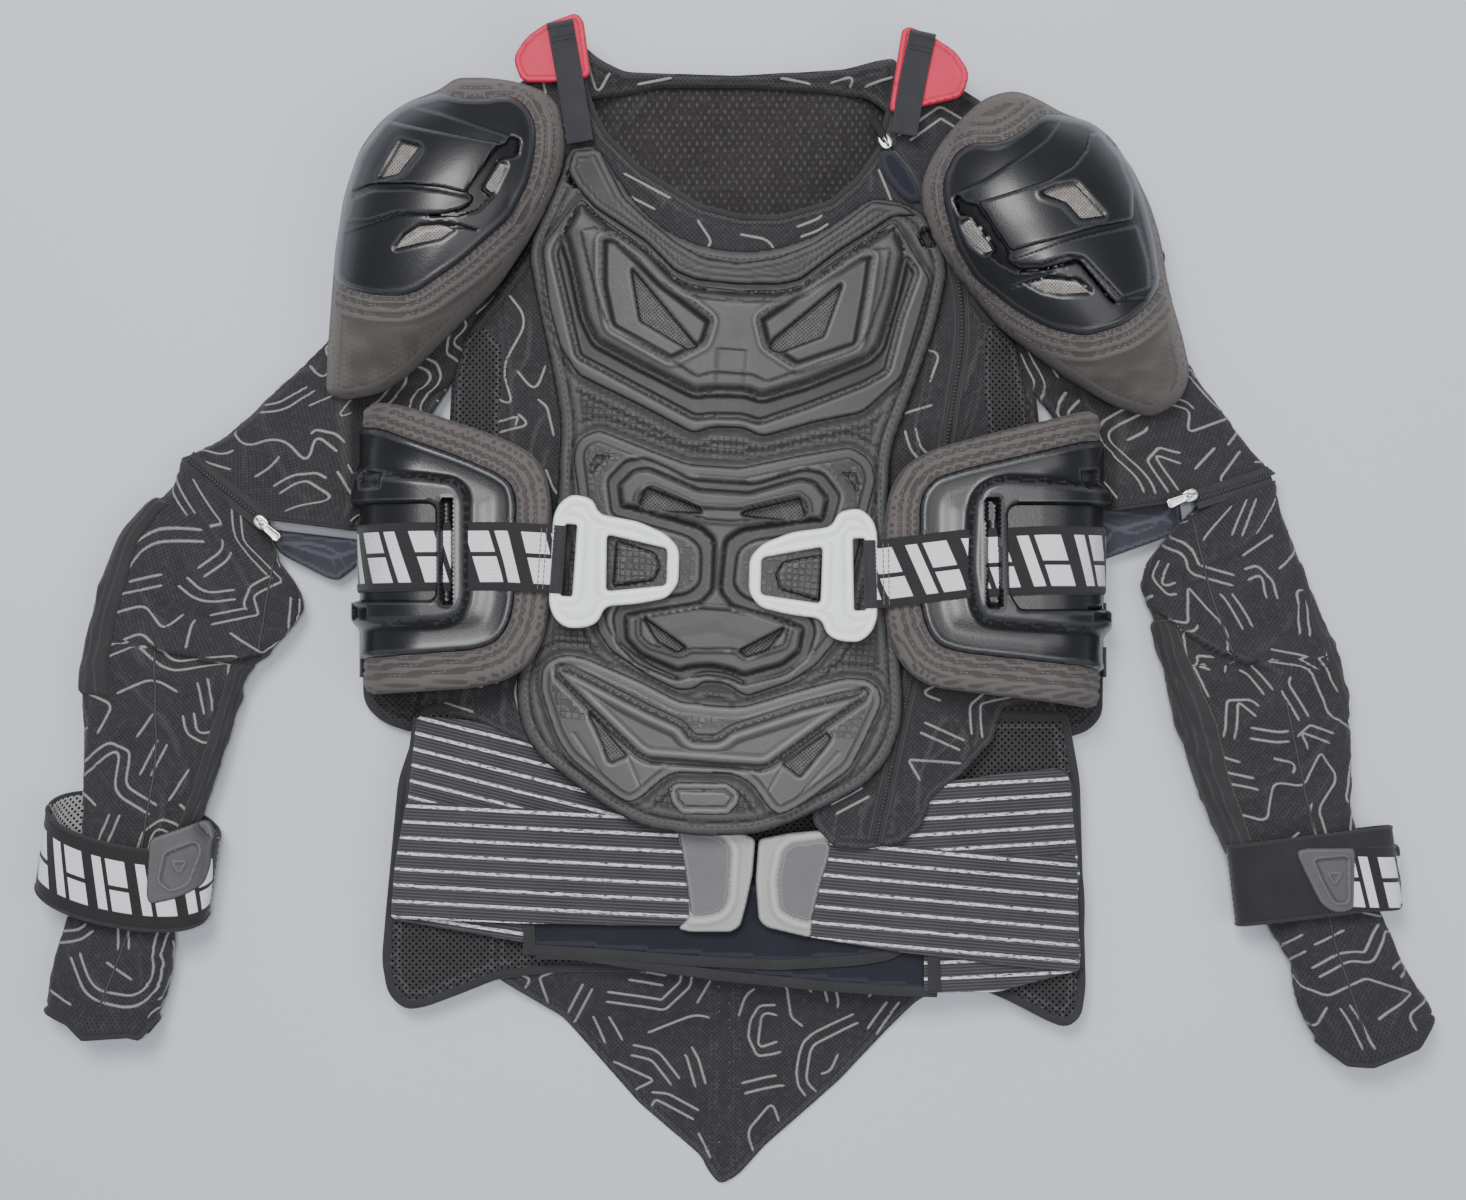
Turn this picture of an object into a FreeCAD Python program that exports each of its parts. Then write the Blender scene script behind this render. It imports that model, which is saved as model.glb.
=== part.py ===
"""Motocross body protector laid flat on its back: a mesh jacket with armour for chest, ribs, shoulders and back.

Millimetres. +X is the wearer's left side, +Y points to the collar, +Z points up out of the chest.
The origin is at the middle of the footprint, on the surface that the jacket lies on.
"""
import FreeCAD, Part
import math
import os
from FreeCAD import Vector

# Driving dimensions ---------------------------------------------------------------------------------------
GAP = 0.3                       # clearance between neighbouring layers
CHEST_CENTRE = (-8.0, 46.7)     # middle of the chest armour in plan
CHEST_TILT = -3.97              # the chest armour lies turned by this many degrees

ARCH_R = 560.0                  # the front arches over the wearer's body with this radius
ARCH_TOP = 56.0                 # height of the front fabric's outer face at the crown
FABRIC = 2.0
CHEST_FOAM = 10.0
PLATE_FLOOR = 2.7               # thin flange of the chest plates
PLATE_RAISE = 9.0               # raised parts of the chest plates

BACK_SHELL = 5.0                # hard back plate, lying on the floor
BACK_FOAM_TOP = 15.0
BACK_FABRIC_TOP = BACK_FOAM_TOP + GAP + FABRIC
LUMBAR_TOP = BACK_FABRIC_TOP + GAP + 4.0

BELT_R = 2200.0
BELT_TOP = 38.0                 # crown of the kidney belt's inner layer
BELT_LAYER = 2.2

GUARD_INNER = 60.0              # height of the rib guard's inner face
GUARD_ROUND = 36.0              # inner radius where it turns down the side
GUARD_FOOT = 22.0               # height of its lower edge, where the webbing hinge is
GUARD_FOAM = 8.0
GUARD_SHELL = 3.0
STRAP_T = 1.6
STRAP_W = 50.0
GUARD_BULGE = 17.0              # outer face of the raised box, above the inner face

SLEEVE_LOW = 3.2
SLEEVE_TOP = 32.0
SLEEVE_WALL = 2.2
CUP_LOW = 38.0                  # the shoulder cups end above the sleeves
CUP_HIGH = 66.0                 # height of a cup's dome
CUP_PAD = 7.0
CUP_SHELL = 3.0
CUP_BLADE = 3.4
CUP_CLEAR = 6.0                 # room beside the chest foam for a cup to lift
ELBOW_PAD = 4.0

SHOULDER_PIVOT = {"l": (-186.0, 236.0), "r": (204.0, 222.0)}
SHOULDER_R = 48.0
ELBOW_PIVOT = {"l": (-374.0, -30.0), "r": (359.0, -42.0)}
ELBOW_R = 57.0
SIGN = {"l": -1, "r": 1}

solids = {}


# Shape tools ----------------------------------------------------------------------------------------------
def rounded_wire(points, radius, z=0.0):
    """A closed outline with its corners rounded as far as its edges allow."""
    corners = []
    count = len(points)
    for i, point in enumerate(points):
        here = Vector(point[0], point[1], z)
        before = Vector(*points[i - 1], z)
        after = Vector(*points[(i + 1) % count], z)
        to_before = (before - here).normalize()
        to_after = (after - here).normalize()
        turn = math.pi - to_before.getAngle(to_after)
        room = 0.45 * min((before - here).Length, (after - here).Length)
        cut = min(radius * math.tan(turn / 2), room)
        if turn < 0.03 or cut < 0.05:
            corners.append((here, None, here))
            continue
        start = here + to_before * cut
        end = here + to_after * cut
        inward = (to_before + to_after).normalize()
        arc_r = cut / math.tan(turn / 2)
        middle = here + inward * (arc_r / math.cos(turn / 2) - arc_r)
        corners.append((start, middle, end))
    edges = []
    for i, (start, middle, end) in enumerate(corners):
        if middle is not None:
            edges.append(Part.Arc(start, middle, end).toShape())
        following = corners[(i + 1) % count][0]
        if (following - end).Length > 1e-4:
            edges.append(Part.LineSegment(end, following).toShape())
    return Part.Wire(edges)


def prism(points, low, high, radius=6.0):
    face = Part.Face(rounded_wire(points, radius, low))
    return face.extrude(Vector(0, 0, high - low))


def box(x0, x1, y0, y1, z0, z1):
    return Part.makeBox(x1 - x0, y1 - y0, z1 - z0, Vector(x0, y0, z0))


def chest(points):
    """Plan points given about the chest armour's own middle, turned and moved to where it lies."""
    turn = math.radians(CHEST_TILT)
    return [(CHEST_CENTRE[0] + u * math.cos(turn) - v * math.sin(turn),
             CHEST_CENTRE[1] + u * math.sin(turn) + v * math.cos(turn)) for u, v in points]


def grown(points, amount):
    """An outline moved outward all round."""
    count = len(points)
    area = sum(points[i - 1][0] * points[i][1] - points[i][0] * points[i - 1][1] for i in range(count))
    turn = 1 if area > 0 else -1
    moved = []
    for i, point in enumerate(points):
        before, after = points[i - 1], points[(i + 1) % count]
        along = Vector(after[0] - before[0], after[1] - before[1], 0).normalize()
        moved.append((point[0] + turn * amount * along.y, point[1] - turn * amount * along.x))
    return moved


def both_sides(half):
    """A symmetric outline from its left half, which runs from the top centre line down to the bottom one."""
    return half + [(-u, v) for u, v in reversed(half) if u]


def tube_shell(radius, crown, inner, outer):
    """The layer between two offsets of a wide arch along Y."""
    start = Vector(0, -420, crown - radius)
    along = Vector(0, 1, 0)
    whole = Part.makeCylinder(radius + outer, 840, start, along)
    return whole.cut(Part.makeCylinder(radius + inner, 840, start, along))


def on_arch(points, inner, outer, radius=6.0):
    return prism(points, -5, 140, radius).common(tube_shell(ARCH_R, ARCH_TOP, inner, outer))


def on_belt(points, inner, outer, radius=5.0):
    return prism(points, -5, 140, radius).common(tube_shell(BELT_R, BELT_TOP, inner, outer))


def keep(name, *shapes):
    """Stores a node's shape, made of closed solids only."""
    found = []
    for shape in shapes:
        found += shape.removeSplitter().Solids
    solids[name] = found[0] if len(found) == 1 else Part.makeCompound(found)


# Jacket ---------------------------------------------------------------------------------------------------
NECKLINE = [(-92, 352), (-86, 322), (-70, 294), (-37, 268), (5, 258), (46, 263), (78, 275), (93, 292), (104, 330)]


def armhole(side, extra):
    x, y = SHOULDER_PIVOT[side]
    return Part.makeCylinder(SHOULDER_R + extra, 130, Vector(x, y, -5))


def jacket():
    """Front, back, tail and shoulder pieces of the mesh jacket."""
    front = [(-214, 190), (-190, 280), (-150, 330)] + NECKLINE + [
        (150, 318), (194, 270), (214, 190), (214, -60), (150, -78), (131, -110), (110, -152), (84, -160),
        (60, -146), (60, -60), (-214, -60)]
    layer = on_arch(front, -FABRIC, 0, 5)
    layer = layer.common(box(-260, 260, -300, 400, BACK_FABRIC_TOP + GAP, 140))
    back = [(-214, 190), (-186, 290), (-150, 338), (-92, 356), (0, 358), (104, 352), (150, 326), (194, 280),
            (214, 190), (214, -250), (-214, -250)]
    sheet = prism(back, BACK_FOAM_TOP + GAP, BACK_FABRIC_TOP, 5)
    yokes = [[(-166, 300), (-150, 318), (-110, 334), (-108, 350), (-148, 334), (-172, 306)],
             [(172, 292), (152, 306), (120, 322), (118, 342), (150, 322), (178, 296)]]
    under = Part.makeCylinder(ARCH_R - FABRIC - GAP, 840, Vector(0, -420, ARCH_TOP - ARCH_R), Vector(0, 1, 0))
    for plan in yokes:
        sheet = sheet.fuse(prism(plan, BACK_FABRIC_TOP - 1, 140, 2).common(under))
    for side in "lr":
        around = sleeve_tube(extended(SLEEVE[side]["upper"], 3), -1.2)
        layer = layer.cut(armhole(side, 1.0)).cut(around)
        sheet = sheet.cut(armhole(side, 1.0)).cut(around)
    keep("jacket_front_panel", layer)
    keep("jacket_back_panel", sheet)

    tail_plan = [(-150, -250.3), (-113, -274), (-89, -297), (-19, -380), (-7, -391), (6, -386), (45, -347),
                 (111, -277), (128, -250.3)]
    profile = [(-250.3, 15.3), (-250.3, 17.3), (-262, 16.6), (-292, 2.6), (-400, 2.2), (-400, 0), (-294, 0),
               (-262, 13)]
    wire = Part.makePolygon([Vector(-260, y, z) for y, z in profile + profile[:1]])
    keep("jacket_tail", Part.Face(wire).extrude(Vector(520, 0, 0)).common(prism(tail_plan, -5, 40, 3)))

    collar = [(-92, 341), (-60, 347), (0, 349), (60, 345), (104, 337), (106, 352), (60, 361), (0, 360), (-60, 363),
              (-95, 354)]
    keep("collar_band", prism(collar, BACK_FABRIC_TOP + GAP, BACK_FABRIC_TOP + 13, 3))


# Chest armour ---------------------------------------------------------------------------------------------
FOAM = [(0, 183), (-27, 186), (-49, 194), (-69, 209), (-89, 234), (-98, 248), (-119, 246), (-122, 229),
        (-132, 205), (-142, 177), (-133, 144), (-120, 100), (-111, 65), (-110, 10), (-120, -62), (-130, -112),
        (-125, -138), (-112, -158), (-68, -186), (-38, -200), (0, -203), (38, -199), (68, -186), (106, -164),
        (123, -143), (130, -116), (122, -50), (110, 20), (109, 61), (121, 100), (134, 146), (139, 180),
        (136, 195), (121, 219), (107, 225), (84, 227), (68, 213), (49, 198), (26, 188)]
UPPER = [(0, 157), (-26, 158), (-40, 162), (-60, 180), (-79, 191), (-95, 201), (-107, 210), (-118, 196),
         (-130, 178), (-123, 140), (-113, 110), (-101, 95), (-60, 78), (-22, 61), (-11, 67), (10, 68), (23, 62),
         (56, 74), (88, 84), (111, 108), (120, 142), (126, 175), (116, 188), (99, 209), (86, 199), (67, 184),
         (41, 162), (28, 158)]
NECK_HALF = [(0, 174), (-24, 176), (-42, 185), (-62, 199), (-76, 210), (-82, 204), (-62, 187), (-40, 170),
             (-26, 162), (0, 161)]
GROOVE_HALF = [(0, 75), (-10, 74), (-22, 71), (-60, 87), (-102, 109), (-112, 147), (-121, 177), (-114, 187),
               (-108, 165), (-99, 130), (-90, 118), (-61, 101), (-22, 87), (-12, 90), (0, 90)]
EYE = [(-90, 184), (-82, 187), (-62, 170), (-46, 160), (-14, 138), (-19, 120), (-41, 107), (-82, 126), (-90, 154)]
EYE_HOLE = [(-68, 163), (-27, 122), (-28, 119), (-56, 131)]
MID_HALF = [(0, 40), (-24, 41), (-50, 50), (-84, 60), (-97, 53), (-101, 42), (-95, 13), (-78, -70), (-68, -85),
            (-45, -98), (-21, -109), (-10, -104), (0, -101)]
TOP_POD_HALF = [(0, 26), (-16, 26), (-50, 38), (-60, 36), (-70, 25), (-66, 8), (-14, -1), (-5, -8), (-5, -40),
                (-11, -48), (-52, -57), (-60, -60), (-57, -77), (-47, -87), (-21, -96), (-14, -93), (0, -91)]
TOP_VENT = [(-50, 23), (-15, 12), (-17, 9), (-51, 8)]
LOW_VENT = [(-46, -62), (-19, -80), (-23, -83), (-36, -76)]
PEG = [(-66, -13), (-40, -19), (-39, -36), (-66, -42)]
LOWER_HALF = [(0, -115), (-21, -114), (-47, -103), (-86, -90), (-101, -90), (-112, -98), (-112, -113), (-102, -138),
              (-93, -152), (-60, -178), (-48, -184), (-39, -179), (-24, -164), (0, -161)]
BAT_HALF = [(0, -139), (-9, -139), (-17, -130), (-39, -122), (-92, -100), (-101, -101), (-78, -122), (-43, -151),
            (-36, -154), (0, -153)]
BAT_VENT = [(-78, -127), (-70, -141), (-62, -158), (-52, -152)]
TAB_HALF = [(0, -167), (-17, -167), (-24, -172), (-22, -181), (-16, -188), (0, -188)]


def mirrored(points):
    return [(-u, v) for u, v in points]


def vented(shape, *holes):
    """Cuts the same slots through both halves of a chest plate."""
    for hole in holes:
        for outline in (hole, mirrored(hole)):
            shape = shape.cut(prism(chest(outline), 20, 140, 1.0))
    return shape


def chest_armour():
    foam_top = GAP + CHEST_FOAM
    floor = foam_top + GAP
    flange = floor + PLATE_FLOOR
    raised = floor + PLATE_RAISE
    lip = on_arch(chest(both_sides(NECK_HALF)), foam_top - 0.5, foam_top + 5.5, 2)
    keep("chest_foam_base", on_arch(chest(FOAM), GAP, foam_top, 8).fuse(lip))

    upper = on_arch(chest(UPPER), floor, raised, 3)
    groove = both_sides(GROOVE_HALF)
    upper = upper.cut(on_arch(chest(groove), flange, raised + 5, 2))
    for eye in (EYE, mirrored(EYE)):
        upper = upper.cut(on_arch(chest(eye), flange, raised + 5, 4))
    keep("chest_plate_upper", vented(upper, EYE_HOLE))

    middle = on_arch(chest(both_sides(MID_HALF)), floor, flange, 4)
    pods = on_arch(chest(both_sides(TOP_POD_HALF)), flange - 0.5, raised + 4, 2)
    pegs = [on_arch(chest(peg), flange - 0.5, floor + 8.5, 2) for peg in (PEG, mirrored(PEG))]
    middle = middle.multiFuse([pods] + pegs)
    keep("chest_plate_middle", vented(middle, TOP_VENT, LOW_VENT))

    lower = on_arch(chest(both_sides(LOWER_HALF)), floor, flange + 2, 4)
    bat = on_arch(chest(both_sides(BAT_HALF)), flange + 1.5, raised - 1, 2)
    keep("chest_plate_lower", vented(lower.fuse(bat), BAT_VENT))
    keep("chest_tab", on_arch(chest(both_sides(TAB_HALF)), floor, floor + 4, 3))


# Rib guards -----------------------------------------------------------------------------------------------
GUARD = {
    "l": {"round": -204.0,
          "pad": [(-262, 133), (-235, 131), (-205, 125), (-155, 108), (-134, 98), (-123, 83), (-119, 60), (-120, 0),
                  (-125, -27), (-133, -42), (-147, -52), (-169, -58), (-262, -65)],
          "shell": [(-262, 118), (-235, 115), (-175, 97), (-155, 87), (-145, 79), (-142, 67), (-143, 0), (-147, -17),
                    (-155, -28), (-169, -33), (-262, -41)],
          "bulge": [(-262, 92), (-190, 84), (-178, 80), (-173, 67), (-173, 0), (-177, -10), (-183, -16),
                    (-262, -22)],
          "strap": (-1.0, 49.0), "bar": (-197.5, -191.5), "slot": -182.0},
    "r": {"round": 202.0,
          "pad": [(262, 128), (232, 124), (178, 112), (130, 99), (112, 88), (103, 72), (99, 45), (99, 0), (103, -27),
                  (112, -45), (128, -57), (165, -62), (262, -76)],
          "shell": [(262, 108), (232, 106), (150, 88), (132, 82), (124, 70), (122, 60), (122, 0), (126, -18),
                    (134, -30), (150, -35), (262, -50)],
          "bulge": [(262, 78), (180, 76), (160, 74), (152, 62), (152, 0), (156, -12), (166, -20), (262, -28)],
          "strap": (-6.0, 44.0), "bar": (169.5, 175.5), "slot": 162.0},
}


def guard_layer(side, inner, outer):
    """A layer of a rib guard: flat over the ribs, then turned down round the wearer's side."""
    turn_x = GUARD[side]["round"]
    sign = SIGN[side]
    reach = -sign * 130.0
    lines = []
    for offset in (inner, outer):
        top = GUARD_INNER + offset
        r = GUARD_ROUND + offset
        slant = r * math.sqrt(0.5)
        lines.append((Vector(turn_x + reach, -100, top), Vector(turn_x, -100, top),
                      Vector(turn_x + sign * slant, -100, GUARD_INNER - GUARD_ROUND + slant),
                      Vector(turn_x + sign * r, -100, GUARD_INNER - GUARD_ROUND),
                      Vector(turn_x + sign * r, -100, GUARD_FOOT)))
    low, high = lines
    edges = [Part.LineSegment(low[0], low[1]).toShape(), Part.Arc(low[1], low[2], low[3]).toShape(),
             Part.LineSegment(low[3], low[4]).toShape(), Part.LineSegment(low[4], high[4]).toShape(),
             Part.LineSegment(high[4], high[3]).toShape(), Part.Arc(high[3], high[2], high[1]).toShape(),
             Part.LineSegment(high[1], high[0]).toShape(), Part.LineSegment(high[0], low[0]).toShape()]
    return Part.Face(Part.Wire(edges)).extrude(Vector(0, 260, 0))


def local_box(side, u0, u1, v0, v1, z0, z1):
    """A box along the chest armour's own axes."""
    plan = chest([(u0, v0), (u1, v0), (u1, v1), (u0, v1)])
    return prism(plan, z0, z1, 0.0)


HINGE_X = {"l": -262.0, "r": 260.0}
HINGE_Z = 27.0
STRAP_LEVEL = GUARD_INNER + GUARD_FOAM + GAP + GUARD_SHELL + GAP
BAR_U = {"l": -105.0, "r": 100.0}    # the strap's bar in the buckle, across from the chest's middle
BAR_V = -27.5
BAR_HEIGHT = STRAP_LEVEL + STRAP_T / 2
BAR_R = 2.2
LOOP_R = 4.2


def along_bar(side, radius, half_length):
    u = BAR_U[side]
    ends = chest([(u, BAR_V - half_length), (u, BAR_V + half_length)])
    start = Vector(*ends[0], BAR_HEIGHT)
    line = Vector(*ends[1], BAR_HEIGHT) - start
    return Part.makeCylinder(radius, line.Length, start, line)


def rib_guard(side):
    facts = GUARD[side]
    sign = SIGN[side]
    shell_low = GUARD_FOAM + GAP
    shell_high = shell_low + GUARD_SHELL
    y0, y1 = facts["strap"]
    keep("rib_pad_" + side, prism(facts["pad"], -5, 140, 18).common(guard_layer(side, 0, GUARD_FOAM)))

    shell = prism(facts["shell"], -5, 140, 8).common(guard_layer(side, shell_low, shell_high))
    bulge = prism(facts["bulge"], -5, 140, 8).common(guard_layer(side, shell_high - 0.5, GUARD_BULGE))
    tunnel = guard_layer(side, shell_high, shell_high + 2 * GAP + STRAP_T)
    tunnel = tunnel.common(box(-270, 270, y0 - 12, y1 + 10, -5, 140))
    x_bar_out, x_bar_in = sorted(facts["bar"], key=abs, reverse=True)
    open_floor = guard_layer(side, shell_high, GUARD_BULGE + 5)
    recess_x = sorted((x_bar_out, sign * 270))
    slot_x = sorted((x_bar_in, facts["slot"]))
    recess = open_floor.common(box(*recess_x, y0 - 4, y1 + 10, 30, 140))
    slot = open_floor.common(box(*slot_x, y0 - 4, y1 + 4, -5, 140))
    shell = shell.fuse(bulge.cut(tunnel).cut(recess).cut(slot))
    for low in (facts["strap"][0] - 16, facts["strap"][1] + 22):
        shell = shell.cut(box(*sorted((sign * 234, sign * 246)), low, low + 8, -5, 140))
    keep("rib_shell_" + side, shell)

    lay = guard_layer(side, shell_high + GAP, shell_high + GAP + STRAP_T)
    outer_run = lay.common(box(*sorted((sign * 160, sign * 270)), y0, y1, 24, 140))
    u_start, u_end = SIGN[side] * 180, BAR_U[side] + SIGN[side] * 3.4
    inner_run = local_box(side, *sorted((u_start, u_end)), BAR_V - STRAP_W / 2 + 3, BAR_V + STRAP_W / 2 - 3,
                          STRAP_LEVEL, STRAP_LEVEL + STRAP_T)
    loop = along_bar(side, LOOP_R, 22).cut(along_bar(side, BAR_R + 0.4, 30))
    strap = outer_run.multiFuse([inner_run.cut(along_bar(side, BAR_R + 0.4, 30)), loop])
    keep("side_strap_" + side, strap)

    wing = {"l": [(-150, 110), (-236, 118), (-246, 100), (-250, -70), (-238, -82), (-212, -90), (-150, -70)],
            "r": [(150, 105), (236, 112), (246, 95), (250, -78), (240, -88), (214, -96), (150, -75)]}[side]
    keep("side_wing_" + side, prism(wing, 5.3, 13.3, 8))


EAR = [(-110, 0), (-107, 9), (-99, 16), (-85, 14), (-80, 4), (-54, 1), (-35, -6), (-26, -15), (-25, -38), (-32, -48),
       (-51, -53), (-72, -56), (-76, -67), (-84, -71), (-97, -72), (-105, -66), (-109, -57)]
BUCKLE_WINDOW = [(-74, -9), (-34, -15.5), (-33, -39.5), (-72, -46)]
STRAP_NOTCH = [(-120, -3), (-98, -3), (-98, -52), (-120, -52)]


def buckle(side):
    """A T-shaped frame whose window drops over a peg of the chest plate; the strap is sewn round its bar."""
    def place(points):
        return chest(points if side == "l" else [(-u - 5, v) for u, v in points])

    low, high = BAR_HEIGHT - 2.5, BAR_HEIGHT + 2.5
    frame = prism(place(EAR), low, high, 5)
    frame = frame.cut(prism(place(BUCKLE_WINDOW), low - 5, high + 5, 3))
    frame = frame.cut(prism(place(STRAP_NOTCH), low - 5, high + 5, 0.5))
    keep("buckle_" + side, frame.fuse(along_bar(side, BAR_R, 27)))


# Shoulder cups --------------------------------------------------------------------------------------------
CUP = {
    "l": {"centre": (-189, 236), "half": (76, 122),
          "pad": [(-196, 347), (-162, 343), (-130, 338), (-116, 322), (-112, 300), (-115, 275), (-127, 245),
                  (-141, 224), (-165, 204), (-195, 167), (-222, 143), (-244, 134), (-268, 136), (-275, 170),
                  (-275, 300), (-240, 325), (-215, 342)],
          "shell": [(-190, 337), (-172, 333), (-140, 333), (-128, 322), (-125, 305), (-130, 275), (-145, 250),
                    (-180, 220), (-205, 206), (-225, 203), (-250, 206), (-272, 213), (-272, 300), (-232, 326),
                    (-208, 337)],
          "blade": [(-210, 329), (-170, 318), (-150, 313), (-150, 306), (-158, 305), (-172, 280), (-158, 276),
                    (-160, 268), (-190, 262), (-210, 262), (-272, 262), (-272, 312)],
          "hole": [(-190, 239), (-172, 243), (-163, 239), (-180, 230), (-200, 227)]},
    "r": {"centre": (206, 222), "half": (78, 128),
          "pad": [(205, 342), (178, 336), (150, 318), (135, 306), (127, 285), (125, 262), (133, 235), (148, 213),
                  (170, 193), (205, 165), (238, 148), (262, 136), (285, 130), (300, 138), (303, 160), (287, 190),
                  (290, 300), (255, 330), (228, 340)],
          "shell": [(205, 330), (190, 318), (176, 308), (154, 305), (142, 292), (138, 270), (145, 240), (162, 218),
                    (190, 192), (215, 178), (235, 175), (262, 186), (285, 205), (290, 285), (255, 325), (222, 334)],
          "blade": [(222, 322), (195, 300), (160, 279), (156, 271), (163, 264), (176, 240), (187, 227), (220, 232),
                    (262, 246), (292, 250), (292, 300), (240, 326)],
          "hole": [(170, 212), (190, 222), (215, 219), (225, 207), (200, 205)]},
}


def dome(side, offset):
    """Solid half ellipsoid whose surface is a shoulder cup's outer face less an offset."""
    (x, y), (a, b) = CUP[side]["centre"], CUP[side]["half"]
    ball = Part.makeSphere(1.0)
    scale = FreeCAD.Matrix()
    scale.scale(Vector(a + offset, b + offset, CUP_HIGH + offset))
    ball = ball.transformGeometry(scale)
    ball.translate(Vector(x, y, CUP_LOW))
    return ball.common(box(-420, 420, -100, 420, CUP_LOW, 200))


def shoulder_cup(side):
    facts = CUP[side]
    stack = CUP_PAD + CUP_SHELL + CUP_BLADE + 2 * GAP
    layers = [-stack, -stack + CUP_PAD, -stack + CUP_PAD + GAP, -CUP_BLADE - GAP, -CUP_BLADE, 0]
    hollow, pad_top, shell_low, shell_top, blade_low, blade_top = [dome(side, o) for o in layers]
    beside_chest = prism(chest(grown(FOAM, CUP_CLEAR)), 0, 160, 8)
    over_front = Part.makeCylinder(ARCH_R + 0.5, 840, Vector(0, -420, ARCH_TOP - ARCH_R), Vector(0, 1, 0))
    pad = pad_top.cut(hollow).common(prism(facts["pad"], 0, 160, 12))
    keep("shoulder_pad_" + side, pad.cut(beside_chest).cut(over_front))
    shell = shell_top.cut(shell_low).common(prism(facts["shell"], 0, 160, 8))
    shell = shell.cut(beside_chest).cut(over_front)
    keep("shoulder_shell_" + side, shell.cut(prism(facts["hole"], 0, 160, 3)))
    keep("shoulder_blade_" + side, blade_top.cut(blade_low).common(prism(facts["blade"], 0, 160, 3)))


# Sleeves --------------------------------------------------------------------------------------------------
# Each station: centre in plan, half width, direction in degrees that the sleeve runs in.
SLEEVE = {
    "l": {"upper": [((-188, 226), 46, 240), ((-232, 165), 52, 234), ((-272, 118), 60, 230), ((-313, 66), 62, 234)],
          "lower": [((-318, 52), 61, 236), ((-350, 10), 60, 238), ((-376, -34), 56, 255), ((-385, -75), 51, 264),
                    ((-396, -150), 42, 262), ((-411, -215), 40, 262), ((-420, -250), 42, 260), ((-431, -283), 31, 255)]},
    "r": {"upper": [((206, 212), 46, 300), ((250, 155), 52, 304), ((286, 108), 60, 302), ((311, 61), 60, 298)],
          "lower": [((318, 46), 62, 296), ((338, 0), 60, 292), ((360, -46), 56, 284), ((368, -90), 50, 278),
                    ((382, -150), 42, 278), ((398, -210), 39, 285), ((418, -262), 40, 290), ((437, -297), 36, 292)]},
}


def sleeve_tube(stations, shrink):
    """A flattened tube through the stations, smaller all round by shrink."""
    wires = []
    mid = (SLEEVE_LOW + SLEEVE_TOP) / 2
    for (x, y), half, heading in stations:
        across = math.radians(heading + 90)
        major = Vector(math.cos(across), math.sin(across), 0)
        a, b = half - shrink, (SLEEVE_TOP - SLEEVE_LOW) / 2 - shrink
        centre = Vector(x, y, mid)
        ellipse = Part.Ellipse(centre + major * a, centre + Vector(0, 0, b), centre)
        wires.append(Part.Wire(ellipse.toShape()))
    return Part.makeLoft(wires, True, True)


def extended(stations, amount):
    """The same stations with both ends moved outward along the sleeve, so that a hollow breaks through."""
    out = list(stations)
    for index, sign in ((0, -1), (-1, 1)):
        (x, y), half, heading = out[index]
        step = math.radians(heading)
        out[index] = ((x + sign * amount * math.cos(step), y + sign * amount * math.sin(step)), half, heading)
    return out


def hollow_sleeve(side, stations):
    """A sleeve left open along the body, where it passes the rib guard."""
    open_side = box(*sorted((SIGN[side] * 264.0, 0)), -400, 140, -5, 60)
    return sleeve_tube(stations, 0).cut(sleeve_tube(extended(stations, 4), SLEEVE_WALL)).cut(open_side)


def side_of_line(pivot, heading, size=400):
    """A slab that holds everything ahead of a line through a pivot, across a heading."""
    x, y = pivot
    slab = Part.makeBox(size, 2 * size, 200, Vector(0, -size, -20))
    slab.rotate(Vector(0, 0, 0), Vector(0, 0, 1), heading)
    slab.translate(Vector(x, y, 0))
    return slab


def sleeve(side):
    upper, lower = SLEEVE[side]["upper"], SLEEVE[side]["lower"]
    tube = hollow_sleeve(side, upper)
    near = Part.makeCylinder(SHOULDER_R, 130, Vector(*SHOULDER_PIVOT[side], -5))
    ahead = side_of_line(SHOULDER_PIVOT[side], upper[0][2])
    keep("upper_sleeve_" + side, tube.common(near.fuse(ahead)))

    tube = hollow_sleeve(side, lower)
    pivot = ELBOW_PIVOT[side]
    heading = lower[2][2]
    ahead = side_of_line(pivot, heading)
    ball = Part.makeCylinder(ELBOW_R, 130, Vector(*pivot, -5))
    keep("forearm_sleeve_" + side, tube.common(ball.fuse(ahead)))
    keep("elbow_sleeve_" + side, tube.cut(ahead).cut(Part.makeCylinder(ELBOW_R + 0.6, 130, Vector(*pivot, -5))))

    pad = sleeve_tube(lower[1:6], -ELBOW_PAD).common(prism(ELBOW_PLAN[side], SLEEVE_LOW, 60, 8))
    keep("elbow_pad_" + side, pad.cut(sleeve_tube(extended(lower[1:6], 2), -GAP)))


ELBOW_PLAN = {"l": [(-404, -40), (-455, -44), (-455, -136), (-428, -136), (-422, -90)],
              "r": [(290, -82), (330, -76), (343, -100), (352, -142), (326, -142), (300, -110)]}


CUFF = {"l": {"centre": (-408, -180), "heading": 262, "half": 59}, "r": {"centre": (392, -186), "heading": 277, "half": 57}}
CUFF_W = 53.0
CUFF_TOP = 44.0
CUFF_T = 2.0


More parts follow.
